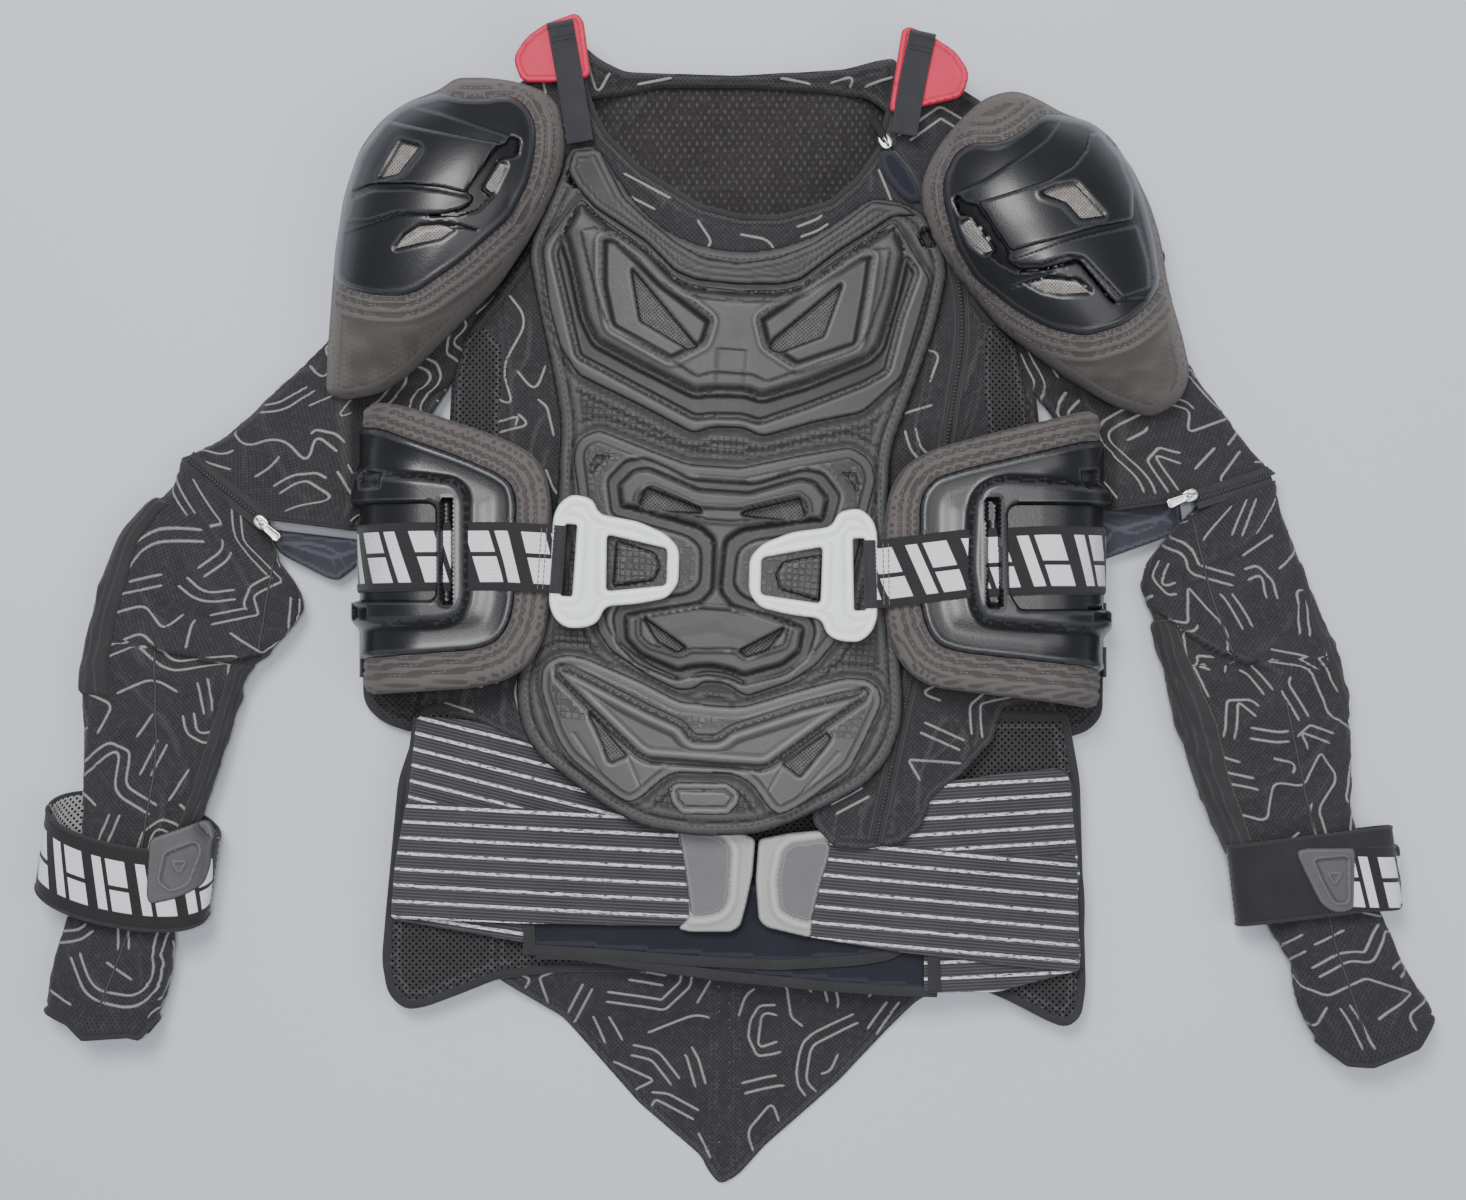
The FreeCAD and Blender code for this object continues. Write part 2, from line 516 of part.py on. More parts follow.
def cuff_ring(side, shrink):
    """A flattened ring round the wrist, running along the forearm."""
    facts = CUFF[side]
    along = math.radians(facts["heading"])
    across = Vector(-math.sin(along), math.cos(along), 0)
    step = Vector(math.cos(along), math.sin(along), 0)
    start = Vector(*facts["centre"], CUFF_TOP / 2) - step * (CUFF_W / 2 + shrink)
    a, b = facts["half"] - shrink, CUFF_TOP / 2 - shrink
    ellipse = Part.Ellipse(start + across * a, start + Vector(0, 0, b), start)
    return Part.Face(Part.Wire(ellipse.toShape())).extrude(step * (CUFF_W + 2 * shrink))


def wrist_strap(side):
    ring = cuff_ring(side, 0).cut(cuff_ring(side, CUFF_T))
    split = CUFF_TOP / 2
    keep("wrist_band_" + side, ring.common(box(-600, 600, -400, 400, -5, split - 0.2)))
    keep("wrist_tab_" + side, ring.common(box(-600, 600, -400, 400, split + 0.2, 80)))


# Zips -----------------------------------------------------------------------------------------------------
ZIP = {"front": {"start": (101.0, 304.0), "heading": 301.0, "level": 48.2, "run": 16.0},
       "sleeve_l": {"start": (-316.0, 52.0), "heading": 138.0, "level": SLEEVE_TOP + GAP, "run": 44.0},
       "sleeve_r": {"start": (306.0, 70.0), "heading": 22.0, "level": SLEEVE_TOP + GAP, "run": 40.0}}
SLIDER_L, SLIDER_W, SLIDER_T = 11.0, 9.0, 3.4


def zip_set(name):
    """Zip tape with two rows of teeth, a slider that runs on it and a puller hinged on the slider."""
    facts = ZIP[name]
    level = facts["level"]
    base = FreeCAD.Placement(Vector(*facts["start"], level), FreeCAD.Rotation(Vector(0, 0, 1), facts["heading"]))
    tape = box(-16, facts["run"] + 14, -9, 9, 0, 0.8)
    teeth = [box(x, x + 1.6, -2.2, 2.2, 0.6, 2.0) for x in range(-14, int(facts["run"]) + 12, 3)]
    tape = tape.multiFuse(teeth)
    block = box(-SLIDER_L / 2, SLIDER_L / 2, -SLIDER_W / 2, SLIDER_W / 2, 2.3, 2.3 + SLIDER_T)
    lug = box(-1.5, 1.5, -1.2, 1.2, 2.3 + SLIDER_T - 0.2, 2.3 + SLIDER_T + 2.6)
    pin_hole = Part.makeCylinder(0.75, 4, Vector(0, -2, 2.3 + SLIDER_T + 1.1), Vector(0, 1, 0))
    slider = block.fuse(lug).cut(pin_hole)
    pin = Part.makeCylinder(0.6, 6, Vector(0, -3, 2.3 + SLIDER_T + 1.1), Vector(0, 1, 0))
    tongue = box(-17, 0.8, -3.4, 3.4, 2.3 + SLIDER_T + 0.4, 2.3 + SLIDER_T + 1.8)
    tongue = tongue.cut(box(-3.2, 3.2, -1.6, 1.6, 0, 30))
    puller = tongue.fuse(pin)
    pieces = [("tape", tape), ("slider", slider), ("puller", puller)]
    if name != "front":
        pieces = [("tape", tape), ("slider", slider.multiFuse([puller, lug]))]
    for node, shape in pieces:
        shape.Placement = base
        keep("%s_zip_%s" % (name, node), shape)


# Neck straps ----------------------------------------------------------------------------------------------
NECK = {"l": {"foot": (-92.0, 304.0), "tip": (-111.0, 391.0), "red": [(-145, 348), (-140, 372), (-126, 383), (-119, 348)]},
        "r": {"foot": (109.0, 312.0), "tip": (126.0, 380.0), "red": [(110, 329), (117, 373), (142, 368), (156, 354), (150, 336)]}}
NECK_LEVEL = 52.0


def neck_strap(side):
    facts = NECK[side]
    (x0, y0), (x1, y1) = facts["foot"], facts["tip"]
    length = math.hypot(x1 - x0, y1 - y0)
    strap = Part.makeBox(length, 18, 1.6, Vector(0, -9, 0))
    fold = Part.makeBox(3, 18, 14, Vector(length - 3, -9, -12.4))
    strap = strap.fuse(fold)
    turn = math.degrees(math.atan2(y1 - y0, x1 - x0))
    strap.Placement = FreeCAD.Placement(Vector(x0, y0, NECK_LEVEL + 5), FreeCAD.Rotation(Vector(0, 0, 1), turn))
    keep("neck_strap_" + side, strap)


# Kidney belt ----------------------------------------------------------------------------------------------
BELT = {
    "inner": {"l": [(-212, -84), (-120, -104), (-40, -128), (20, -200), (20, -240), (-40, -238), (-137, -229),
                    (-229, -213)],
              "r": [(224, -122), (140, -130), (60, -140), (-60, -200), (-60, -243), (0, -250), (60, -255),
                    (128, -262), (232, -256)]},
    "wing": {"l": [(-219, -134), (-150, -137), (-76, -143), (-42, -157), (-36, -168), (-34, -215), (-100, -213),
                   (-229, -203)],
             "r": [(61, -166), (115, -166), (160, -172), (231, -179), (232, -251), (150, -241), (54, -221)]},
    "grip": {"l": [(-50, -158), (8, -158), (9, -180), (3, -212), (0, -219), (-42, -220), (-36, -210), (-43, -180)],
             "r": [(17, -158), (50, -154), (62, -164), (52, -205), (55, -224), (18, -217), (13, -190)]},
}
BELT_EDGE = {"l": -226.0, "r": 228.0}


def kidney_belt():
    wing_low = 2 * (GAP + BELT_LAYER)
    wing_top = wing_low + BELT_LAYER
    keep("belt_elastic_l", on_belt(BELT["inner"]["l"], -BELT_LAYER, 0, 3))
    keep("belt_elastic_r", on_belt(BELT["inner"]["r"], GAP, GAP + BELT_LAYER, 3))
    for side in "lr":
        keep("belt_wing_" + side, on_belt(BELT["wing"][side], wing_low, wing_top, 3))
        keep("belt_grip_" + side, on_belt(BELT["grip"][side], wing_top + GAP, wing_top + GAP + 3.2, 5))
    pad = [(-205, -70), (-222, -120), (-232, -217), (-234, -240), (-225, -262), (-212, -272), (-195, -267),
           (-150, -250), (0, -248), (150, -254), (182, -267), (211, -280), (225, -283), (233, -272), (232, -255),
           (228, -120), (222, -75)]
    lumbar = prism(pad, BACK_FABRIC_TOP + GAP, LUMBAR_TOP, 8)
    below_belt = Part.makeCylinder(BELT_R - BELT_LAYER - GAP, 840, Vector(0, -420, BELT_TOP - BELT_R),
                                   Vector(0, 1, 0))
    for side, sign in SIGN.items():
        edge = sorted((BELT_EDGE[side] - sign * 18, BELT_EDGE[side] - sign * 4))
        lumbar = lumbar.fuse(box(*edge, -200, -136, LUMBAR_TOP - 1, 60).common(below_belt))
    keep("lumbar_pad", lumbar)


# Back armour ----------------------------------------------------------------------------------------------
def back_armour():
    foam = [(-105, 300), (-60, 322), (60, 322), (105, 300), (140, 210), (138, 60), (120, -60), (118, -180),
            (80, -236), (-80, -236), (-118, -180), (-120, -60), (-138, 60), (-140, 210)]
    body = prism(foam, BACK_SHELL + GAP, BACK_FOAM_TOP, 25)
    keep("back_foam", body)
    bands = [("back_plate_top", 312, 140, 92, 122), ("back_plate_middle", 137, -30, 120, 98),
             ("back_plate_lower", -33, -226, 96, 64)]
    for name, top, bottom, wide_top, wide_bottom in bands:
        notch = 16
        plan = [(-wide_top, top - notch), (-wide_top * 0.45, top), (wide_top * 0.45, top), (wide_top, top - notch),
                (wide_bottom, bottom + notch * 0.4), (wide_bottom * 0.5, bottom), (-wide_bottom * 0.5, bottom),
                (-wide_bottom, bottom + notch * 0.4)]
        keep(name, prism(plan, 0, BACK_SHELL, 12))


def hinge_webs():
    """Four short webs sewn to the back wings, each folded round the line that a rib guard swings on."""
    webs = []
    for side, sign in SIGN.items():
        for y in (-52.0, -22.0):
            edge = sign * HINGE_X[side]
            webs.append(box(*sorted((sign * (edge + 1.2), sign * (edge - 1.2))), y, y + 20, 5.3, HINGE_Z + 1.2))
    keep("hinge_webs", *webs)


def build():
    jacket()
    chest_armour()
    kidney_belt()
    back_armour()
    for side in "lr":
        rib_guard(side)
        buckle(side)
        shoulder_cup(side)
        sleeve(side)
        wrist_strap(side)
        neck_strap(side)
    keep("neck_strap_tabs", *[prism(NECK[side]["red"], NECK_LEVEL, NECK_LEVEL + 4, 6) for side in "lr"])
    hinge_webs()
    for name in ZIP:
        zip_set(name)


def export():
    os.makedirs("parts", exist_ok=True)
    for old in os.listdir("parts"):
        os.remove(os.path.join("parts", old))
    for name, shape in solids.items():
        shape.exportStep("parts/%s.step" % name)
    low = Part.makeCompound(list(solids.values())).BoundBox
    print("%d nodes, X %.1f..%.1f, Y %.1f..%.1f, Z %.1f..%.1f" % (
        len(solids), low.XMin, low.XMax, low.YMin, low.YMax, low.ZMin, low.ZMax))


build()
export()
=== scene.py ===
"""Finished model of an off-road body protector jacket, laid flat on its back.

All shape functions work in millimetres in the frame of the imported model; meshes are made in metres.
"""
import math
import bpy
import numpy as np
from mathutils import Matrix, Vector, geometry, kdtree, noise


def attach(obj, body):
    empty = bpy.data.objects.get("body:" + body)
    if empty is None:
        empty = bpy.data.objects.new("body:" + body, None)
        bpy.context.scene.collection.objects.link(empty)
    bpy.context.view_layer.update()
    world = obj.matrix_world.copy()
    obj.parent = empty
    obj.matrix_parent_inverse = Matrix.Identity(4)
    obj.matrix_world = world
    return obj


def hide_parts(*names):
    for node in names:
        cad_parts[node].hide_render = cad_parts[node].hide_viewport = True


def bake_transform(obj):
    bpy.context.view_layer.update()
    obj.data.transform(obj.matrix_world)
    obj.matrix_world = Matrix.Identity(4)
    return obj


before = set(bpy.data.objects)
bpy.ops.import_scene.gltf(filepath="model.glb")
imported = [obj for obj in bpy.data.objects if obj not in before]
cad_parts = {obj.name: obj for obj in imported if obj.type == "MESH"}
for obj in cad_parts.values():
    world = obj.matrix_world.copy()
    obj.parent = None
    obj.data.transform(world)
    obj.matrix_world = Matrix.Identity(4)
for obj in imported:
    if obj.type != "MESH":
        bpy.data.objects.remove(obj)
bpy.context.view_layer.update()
MM = 0.001
SIGN = {"l": -1, "r": 1}

# ---------------------------------------------------------------------------------------------- surfaces
CHEST_CENTRE = (-8.0, 46.7)
CHEST_TURN = math.radians(-3.97)
ARCH_R, ARCH_TOP = 560.0, 56.0
BELT_R, BELT_TOP = 2200.0, 38.0
CUP_LOW = 38.0
GUARD_INNER, GUARD_ROUND = 60.0, 36.0


def pts(points):
    return np.array(points, float)


def mirror(points):
    """The same outline on the other side, kept in the same turning direction."""
    return [(-u, v) for u, v in points][::-1]


def both_sides(half):
    return half + [(-u, v) for u, v in reversed(half) if u]


def chest_plan(p):
    p = pts(p)
    c, s = math.cos(CHEST_TURN), math.sin(CHEST_TURN)
    return np.stack([CHEST_CENTRE[0] + p[:, 0] * c - p[:, 1] * s, CHEST_CENTRE[1] + p[:, 0] * s + p[:, 1] * c], 1)


def arch_height(p, h, radius=ARCH_R, top=ARCH_TOP):
    return top - radius + np.sqrt((radius + h) ** 2 - p[:, 0] ** 2)


def on_arch(p, h):
    return np.column_stack([p, arch_height(p, h)])


def on_chest(p, h):
    """Chest armour: plan points about its own middle, heights above the front fabric."""
    return on_arch(chest_plan(p), h)


def on_belt(p, h):
    return np.column_stack([p, arch_height(p, h, BELT_R, BELT_TOP)])


def on_flat(z):
    return lambda p, h: np.column_stack([p, z + h])


GUARD_TURN = {"l": -204.0, "r": 202.0}


def on_guard(side):
    """Rib guard: first number runs across the ribs and then down the side, second along the body."""
    sign, turn = SIGN[side], GUARD_TURN[side]

    def place(p, h):
        past = np.maximum(sign * (p[:, 0] - turn), 0.0)
        angle = np.minimum(past / (GUARD_ROUND + 8), math.pi / 2)
        drop = np.maximum(past - (GUARD_ROUND + 8) * math.pi / 2, 0.0)
        r = GUARD_ROUND + h
        x = np.where(past > 0, turn + sign * r * np.sin(angle), p[:, 0])
        z = GUARD_INNER - GUARD_ROUND + r * np.cos(angle) - drop
        return np.column_stack([x, p[:, 1], z])
    return place


# ------------------------------------------------------------------------------------------ outline tools
def outline(points, radius=6.0, step=2.0, closed=True):
    """Rounds the corners of an outline and divides it evenly."""
    points = [np.array(p, float) for p in points]
    n = len(points)
    path = []
    for i, here in enumerate(points):
        if not closed and i in (0, n - 1):
            path.append(here)
            continue
        a, b = points[i - 1] - here, points[(i + 1) % n] - here
        la, lb = np.linalg.norm(a), np.linalg.norm(b)
        cut = min(radius, 0.48 * la, 0.48 * lb)
        start, end = here + a / la * cut, here + b / lb * cut
        for t in np.linspace(0, 1, 7):
            path.append((1 - t) ** 2 * start + 2 * t * (1 - t) * here + t * t * end)
    path = np.array(path + (path[:1] if closed else []))
    length = np.concatenate([[0], np.cumsum(np.linalg.norm(np.diff(path, axis=0), axis=1))])
    count = max(4, int(length[-1] / step))
    at = np.linspace(0, length[-1], count + 1)
    if closed:
        at = at[:-1]
    return np.column_stack([np.interp(at, length, path[:, k]) for k in (0, 1)])


def inside_distance(p, loop):
    """Distance from each point to an evenly divided closed loop, positive inside."""
    ahead = np.roll(loop, -1, 0) - loop
    out = np.column_stack([ahead[:, 1], -ahead[:, 0]]) / np.maximum(np.linalg.norm(ahead, axis=1, keepdims=True), 1e-9)
    if (loop[:, 0] * np.roll(loop[:, 1], -1) - np.roll(loop[:, 0], -1) * loop[:, 1]).sum() < 0:
        out = -out
    corner = out + np.roll(out, 1, 0)
    size, found = (loop * loop).sum(1), np.empty(len(p))
    for k in range(0, len(p), 8000):
        q = p[k:k + 8000]
        near = (size[None] - 2 * (q @ loop.T)).argmin(1)
        best, sign = np.full(len(q), np.inf), np.zeros(len(q))
        for i in (near, (near - 1) % len(loop)):
            off = q - loop[i]
            t = np.clip((off * ahead[i]).sum(1) / np.maximum((ahead[i] ** 2).sum(1), 1e-9), 0, 1)
            rest = off - t[:, None] * ahead[i]
            d = np.sqrt((rest ** 2).sum(1))
            end = np.where(t >= 1, (i + 1) % len(loop), i)
            way = np.where(((t <= 0) | (t >= 1))[:, None], corner[end], out[i])
            closer = d < best
            best = np.where(closer, d, best)
            sign = np.where(closer, (rest * way).sum(1), sign)
        found[k:k + 8000] = np.where(sign > 0, -best, best)
    return found


def ramp(d, width):
    t = np.clip(d / width, 0, 1)
    return t * t * (3 - 2 * t)


def roll(d, radius):
    """Quarter-round edge: 0 at the edge, radius from that far in."""
    t = 1 - np.clip(d / radius, 0, 1)
    return radius * np.sqrt(1 - t * t)


def fill(loop, holes=(), creases=(), step=1.6):
    """Even triangles over an outline, with edges along its creases."""
    points, edges = [], []
    for line in [loop, *holes, *creases]:
        start = len(points)
        points += [tuple(q) for q in line]
        edges += [(start + i, start + (i + 1) % len(line)) for i in range(len(line))]
    low, high = loop.min(0), loop.max(0)
    rows = np.arange(low[1], high[1], step * 0.866)
    grid = np.concatenate([np.column_stack([np.arange(low[0] + (i % 2) * step / 2, high[0], step),
                                            np.full(len(np.arange(low[0] + (i % 2) * step / 2, high[0], step)), y)])
                           for i, y in enumerate(rows)])
    keep = inside_distance(grid, loop) > 0.55 * step
    grid = grid[keep]
    for line in [*holes, *creases]:
        grid = grid[np.abs(inside_distance(grid, line)) > 0.5 * step]
    for line in holes:
        grid = grid[inside_distance(grid, line) < 0]
    points += [tuple(q) for q in grid]
    verts, _, faces, *_ = geometry.delaunay_2d_cdt([Vector(q) for q in points], edges, [], 0, 1e-3)
    verts = np.array([tuple(v) for v in verts])
    faces = np.array(faces)
    middle = verts[faces].mean(1)
    good = inside_distance(middle, loop) > 0
    for line in holes:
        good &= inside_distance(middle, line) < 0
    used, faces = np.unique(faces[good], return_inverse=True)
    return verts[used], faces.reshape(-1, 3)


# --------------------------------------------------------------------------------------------- mesh tools
def make(name, verts, faces, body, mat, slot=None, uvw=None, marks=None, smooth=True, stands_for=()):
    """A piece from points in millimetres, riding on a body; one that takes a CAD name is told apart by its ending."""
    name += "_skin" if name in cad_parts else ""
    mesh = bpy.data.meshes.new(name)
    mesh.from_pydata([tuple(v) for v in np.asarray(verts) * MM], [], [tuple(int(i) for i in f) for f in faces])
    mesh.validate()
    mesh.materials.append(mat)
    if smooth:
        mesh.polygons.foreach_set("use_smooth", [True] * len(mesh.polygons))
    data = mesh.attributes.new("uvw", "FLOAT_VECTOR", "POINT")
    data.data.foreach_set("vector", np.asarray(verts if uvw is None else uvw, float).astype("f").ravel())
    for key, values in (marks or {}).items():
        data = mesh.attributes.new(key, "FLOAT", "POINT")
        data.data.foreach_set("value", np.asarray(values, "f"))
    mesh.update()
    obj = bpy.data.objects.new(name, mesh)
    bpy.context.scene.collection.objects.link(obj)
    if body:
        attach(obj, body)
    if stands_for:
        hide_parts(*stands_for)
    return obj


def border(faces):
    """Directed edges that only one face uses."""
    faces = np.asarray(faces)
    a, b = faces.ravel(), np.roll(faces, -1, 1).ravel()
    count = faces.max() + 1
    alone = ~np.isin(a * count + b, b * count + a)
    return np.column_stack([a[alone], b[alone]]).tolist()


def relief(name, place, loop, top, base, body, mat, slot, holes=(), creases=(), step=1.6, closed=True, marks=None,
           stands_for=(), plan=None, edge_wear_and_shading=1.0):
    """A solid over an outline: top(points) and base give heights above the surface that place() puts it on."""
    p, faces = fill(loop, holes, creases, step)
    height = top(p)
    low = base(p) if callable(base) else np.full(len(p), float(base))
    near = np.zeros(len(p))
    count = np.zeros(len(p))
    for k in range(3):
        a, b = faces[:, k], faces[:, (k + 1) % 3]
        for i, j in ((a, b), (b, a)):
            np.add.at(near, i, height[j])
            np.add.at(count, i, 1)
    # Edge mark, convex up and concave down: it drives lighter edges, partly wear and partly painted highlight, and
    # painted shade in hollows.
    edge = np.clip((height - near / np.maximum(count, 1)) * 3.0, -1, 1) * edge_wear_and_shading
    upper = place(p, height)
    n = len(p)
    rim = border(faces)
    out = [list(f) for f in faces]
    extra = {"edge": edge}
    for key, function in (marks or {}).items():
        extra[key] = function(p)
    if closed:
        lower = place(p, low)
        out += [[a + n for a in f[::-1]] for f in faces]
        ring = [i + n for i in range(n)]
    else:
        ids = sorted({a for e in rim for a in e})
        ring = {a: n + k for k, a in enumerate(ids)}
        lower = place(p[ids], low[ids])
    out += [[b, a, ring[a], ring[b]] for a, b in rim]
    verts = np.concatenate([upper, lower])
    flat = p if plan is None else plan(p)
    uvw = np.column_stack([flat, height])
    second = np.column_stack([flat, low]) if closed else np.column_stack([flat[ids], low[ids]])
    for key in extra:
        extra[key] = np.concatenate([extra[key], (extra[key] * 0 if closed else extra[key][ids] * 0)])
    obj = make(name, verts, out, body, mat, slot, np.concatenate([uvw, second]), extra, stands_for=stands_for)
    obj.data.set_sharp_from_angle(angle=math.radians(58))
    return obj


def sweep(path, radius, sides=7, closed=False, flat=1.0):
    """A rod along a line of points: points and faces."""
    path = np.asarray(path, float)
    n = len(path)
    ahead = np.roll(path, -1, 0) - np.roll(path, 1, 0) if closed else np.gradient(path, axis=0)
    ahead /= np.maximum(np.linalg.norm(ahead, axis=1, keepdims=True), 1e-9)
    side = np.cross(ahead, [0, 0, 1.0])
    side /= np.maximum(np.linalg.norm(side, axis=1, keepdims=True), 1e-9)
    up = np.cross(side, ahead)
    turn = np.linspace(0, 2 * math.pi, sides, endpoint=False)
    r = np.broadcast_to(np.asarray(radius, float), (n,))[:, None, None]
    ring = path[:, None] + r * (np.cos(turn)[None, :, None] * side[:, None] + flat * np.sin(turn)[None, :, None] * up[:, None])
    verts = ring.reshape(-1, 3)
    faces = []
    for i in range(n if closed else n - 1):
        j = (i + 1) % n
        for k in range(sides):
            m = (k + 1) % sides
            faces.append([i * sides + k, i * sides + m, j * sides + m, j * sides + k])
    if not closed:
        faces += [list(range(sides)), [(n - 1) * sides + k for k in range(sides)][::-1]]
    return verts, faces


def gather(parts):
    """Several point and face lists as one."""
    verts, faces, total = [], [], 0
    for v, f in parts:
        verts.append(np.asarray(v))
        faces += [[i + total for i in face] for face in f]
        total += len(v)
    return np.concatenate(verts), faces


def stitches(path, pitch=4.2, length=2.8, radius=0.36):
    """A row of short thread loops along a line of points."""
    path = np.asarray(path, float)
    run = np.concatenate([[0], np.cumsum(np.linalg.norm(np.diff(path, axis=0), axis=1))])
    rows = []
    for start in np.arange(0, run[-1] - length, pitch):
        at = start + np.linspace(0, length, 4)
        line = np.column_stack([np.interp(at, run, path[:, k]) for k in range(3)])
        line[[0, -1], 2] -= radius * 1.3
        rows.append(sweep(line, radius, 5))
    return rows


def closed_line(loop):
    return np.concatenate([loop, loop[:1]])


def inset(loop, amount):
    """The loop moved inward; positive amounts shrink it."""
    ahead = np.roll(loop, -1, 0) - np.roll(loop, 1, 0)
    ahead /= np.maximum(np.linalg.norm(ahead, axis=1, keepdims=True), 1e-9)
    turn = np.sign((loop[:, 0] * np.roll(loop[:, 1], -1) - np.roll(loop[:, 0], -1) * loop[:, 1]).sum())
    moved = loop + turn * amount * np.column_stack([-ahead[:, 1], ahead[:, 0]])
    good = inside_distance(moved, loop) > amount * 0.9 if amount > 0 else inside_distance(moved, loop) < amount * 0.9
    return moved[good]


def fuzz(p, size, seed=0.0, octaves=3):
    """Smooth random heights about 0 over plan points."""
    return np.array([noise.fractal(Vector((q[0] / size + seed, q[1] / size - seed, seed * 1.7)), 1.0, 2.0, octaves,
                                   noise_basis="PERLIN_ORIGINAL") for q in p])


def swell(loop, cell=3.0, rounds=2600):
    """Height from 0 to 1 of a skin blown up over an outline, as a function of plan points."""
    low = loop.min(0) - 3 * cell
    count = np.ceil((loop.max(0) + 3 * cell - low) / cell).astype(int) + 1
    gx, gy = np.meshgrid(low[0] + cell * np.arange(count[0]), low[1] + cell * np.arange(count[1]), indexing="ij")
    d = inside_distance(np.column_stack([gx.ravel(), gy.ravel()]), loop).reshape(count)
    core, band = d > cell, (d <= cell) & (d > -2.5 * cell)

    def around(field):
        return (np.roll(field, 1, 0) + np.roll(field, -1, 0) + np.roll(field, 1, 1) + np.roll(field, -1, 1)) / 4

    h = np.maximum(d, 0) * d.max()
    for turn in range(rounds):
        h = np.where(core, around(h) + cell * cell / 4, h)
        if turn % 25 == 0:
            over, under = np.where(core, h, 0), np.where(core, d, 0)
            for _ in range(6):
                over, under = around(over), around(under)
            h = np.where(band, d * over / np.maximum(under, 1e-6), h)
    h /= h.max()

    def height(p):
        at = (np.asarray(p) - low) / cell
        i = np.clip(at.astype(int), 0, count - 2)
        f = np.clip(at - i, 0, 1)
        ix, iy = i[:, 0], i[:, 1]
        fx, fy = f[:, 0], f[:, 1]
        value = (h[ix, iy] * (1 - fx) * (1 - fy) + h[ix + 1, iy] * fx * (1 - fy) + h[ix, iy + 1] * (1 - fx) * fy
                 + h[ix + 1, iy + 1] * fx * fy)
        return np.sqrt(np.clip(value, 0, 1))
    return height


def near_line(p, line):
    """Distance from each plan point to the nearest point of a line."""
    return np.sqrt(((p[:, None] - line[None]) ** 2).sum(2)).min(1)


def turned(heading, origin=(0, 0)):
    """Plan points given along and across a heading in degrees, for stripes and weaves."""
    c, s = math.cos(math.radians(heading)), math.sin(math.radians(heading))

    def plan(p):
        q = p - np.array(origin)
        return np.column_stack([q[:, 0] * c + q[:, 1] * s, -q[:, 0] * s + q[:, 1] * c])
    return plan


def grid_normals(grid, centre=None):
    """Unit normals of rows and columns of points, pointing away from a centre, or upward without one."""
    normal = np.cross(np.gradient(grid, axis=0), np.gradient(grid, axis=1))
    normal /= np.maximum(np.linalg.norm(normal, axis=2, keepdims=True), 1e-9)
    away = normal[..., 2].sum() if centre is None else (normal * (grid - centre)).sum()
    return (normal, True) if away > 0 else (-normal, False)


def skin(name, grid, thick, body, mat, slot, uvw, centre=None, stands_for=(), marks=None):
    """A sheet with thickness under rows and columns of points."""
    normal, right_way = grid_normals(grid, centre)
    rows, columns, _ = grid.shape
    count = rows * columns
    verts = np.concatenate([grid.reshape(-1, 3), (grid - normal * thick).reshape(-1, 3)])
    faces = []
    for i in range(rows - 1):
        for j in range(columns - 1):
            a = i * columns + j
            face = [a, a + columns, a + columns + 1, a + 1]
            faces.append(face if right_way else face[::-1])
    rim = border(faces)
    faces += [[i + count for i in f[::-1]] for f in faces]
    faces += [[b, a, a + count, b + count] for a, b in rim]
    doubled = {key: np.concatenate([v, v]) for key, v in (marks or {}).items()}
    return make(name, verts, faces, body, mat, slot, np.concatenate([uvw, uvw]), doubled, stands_for=stands_for)


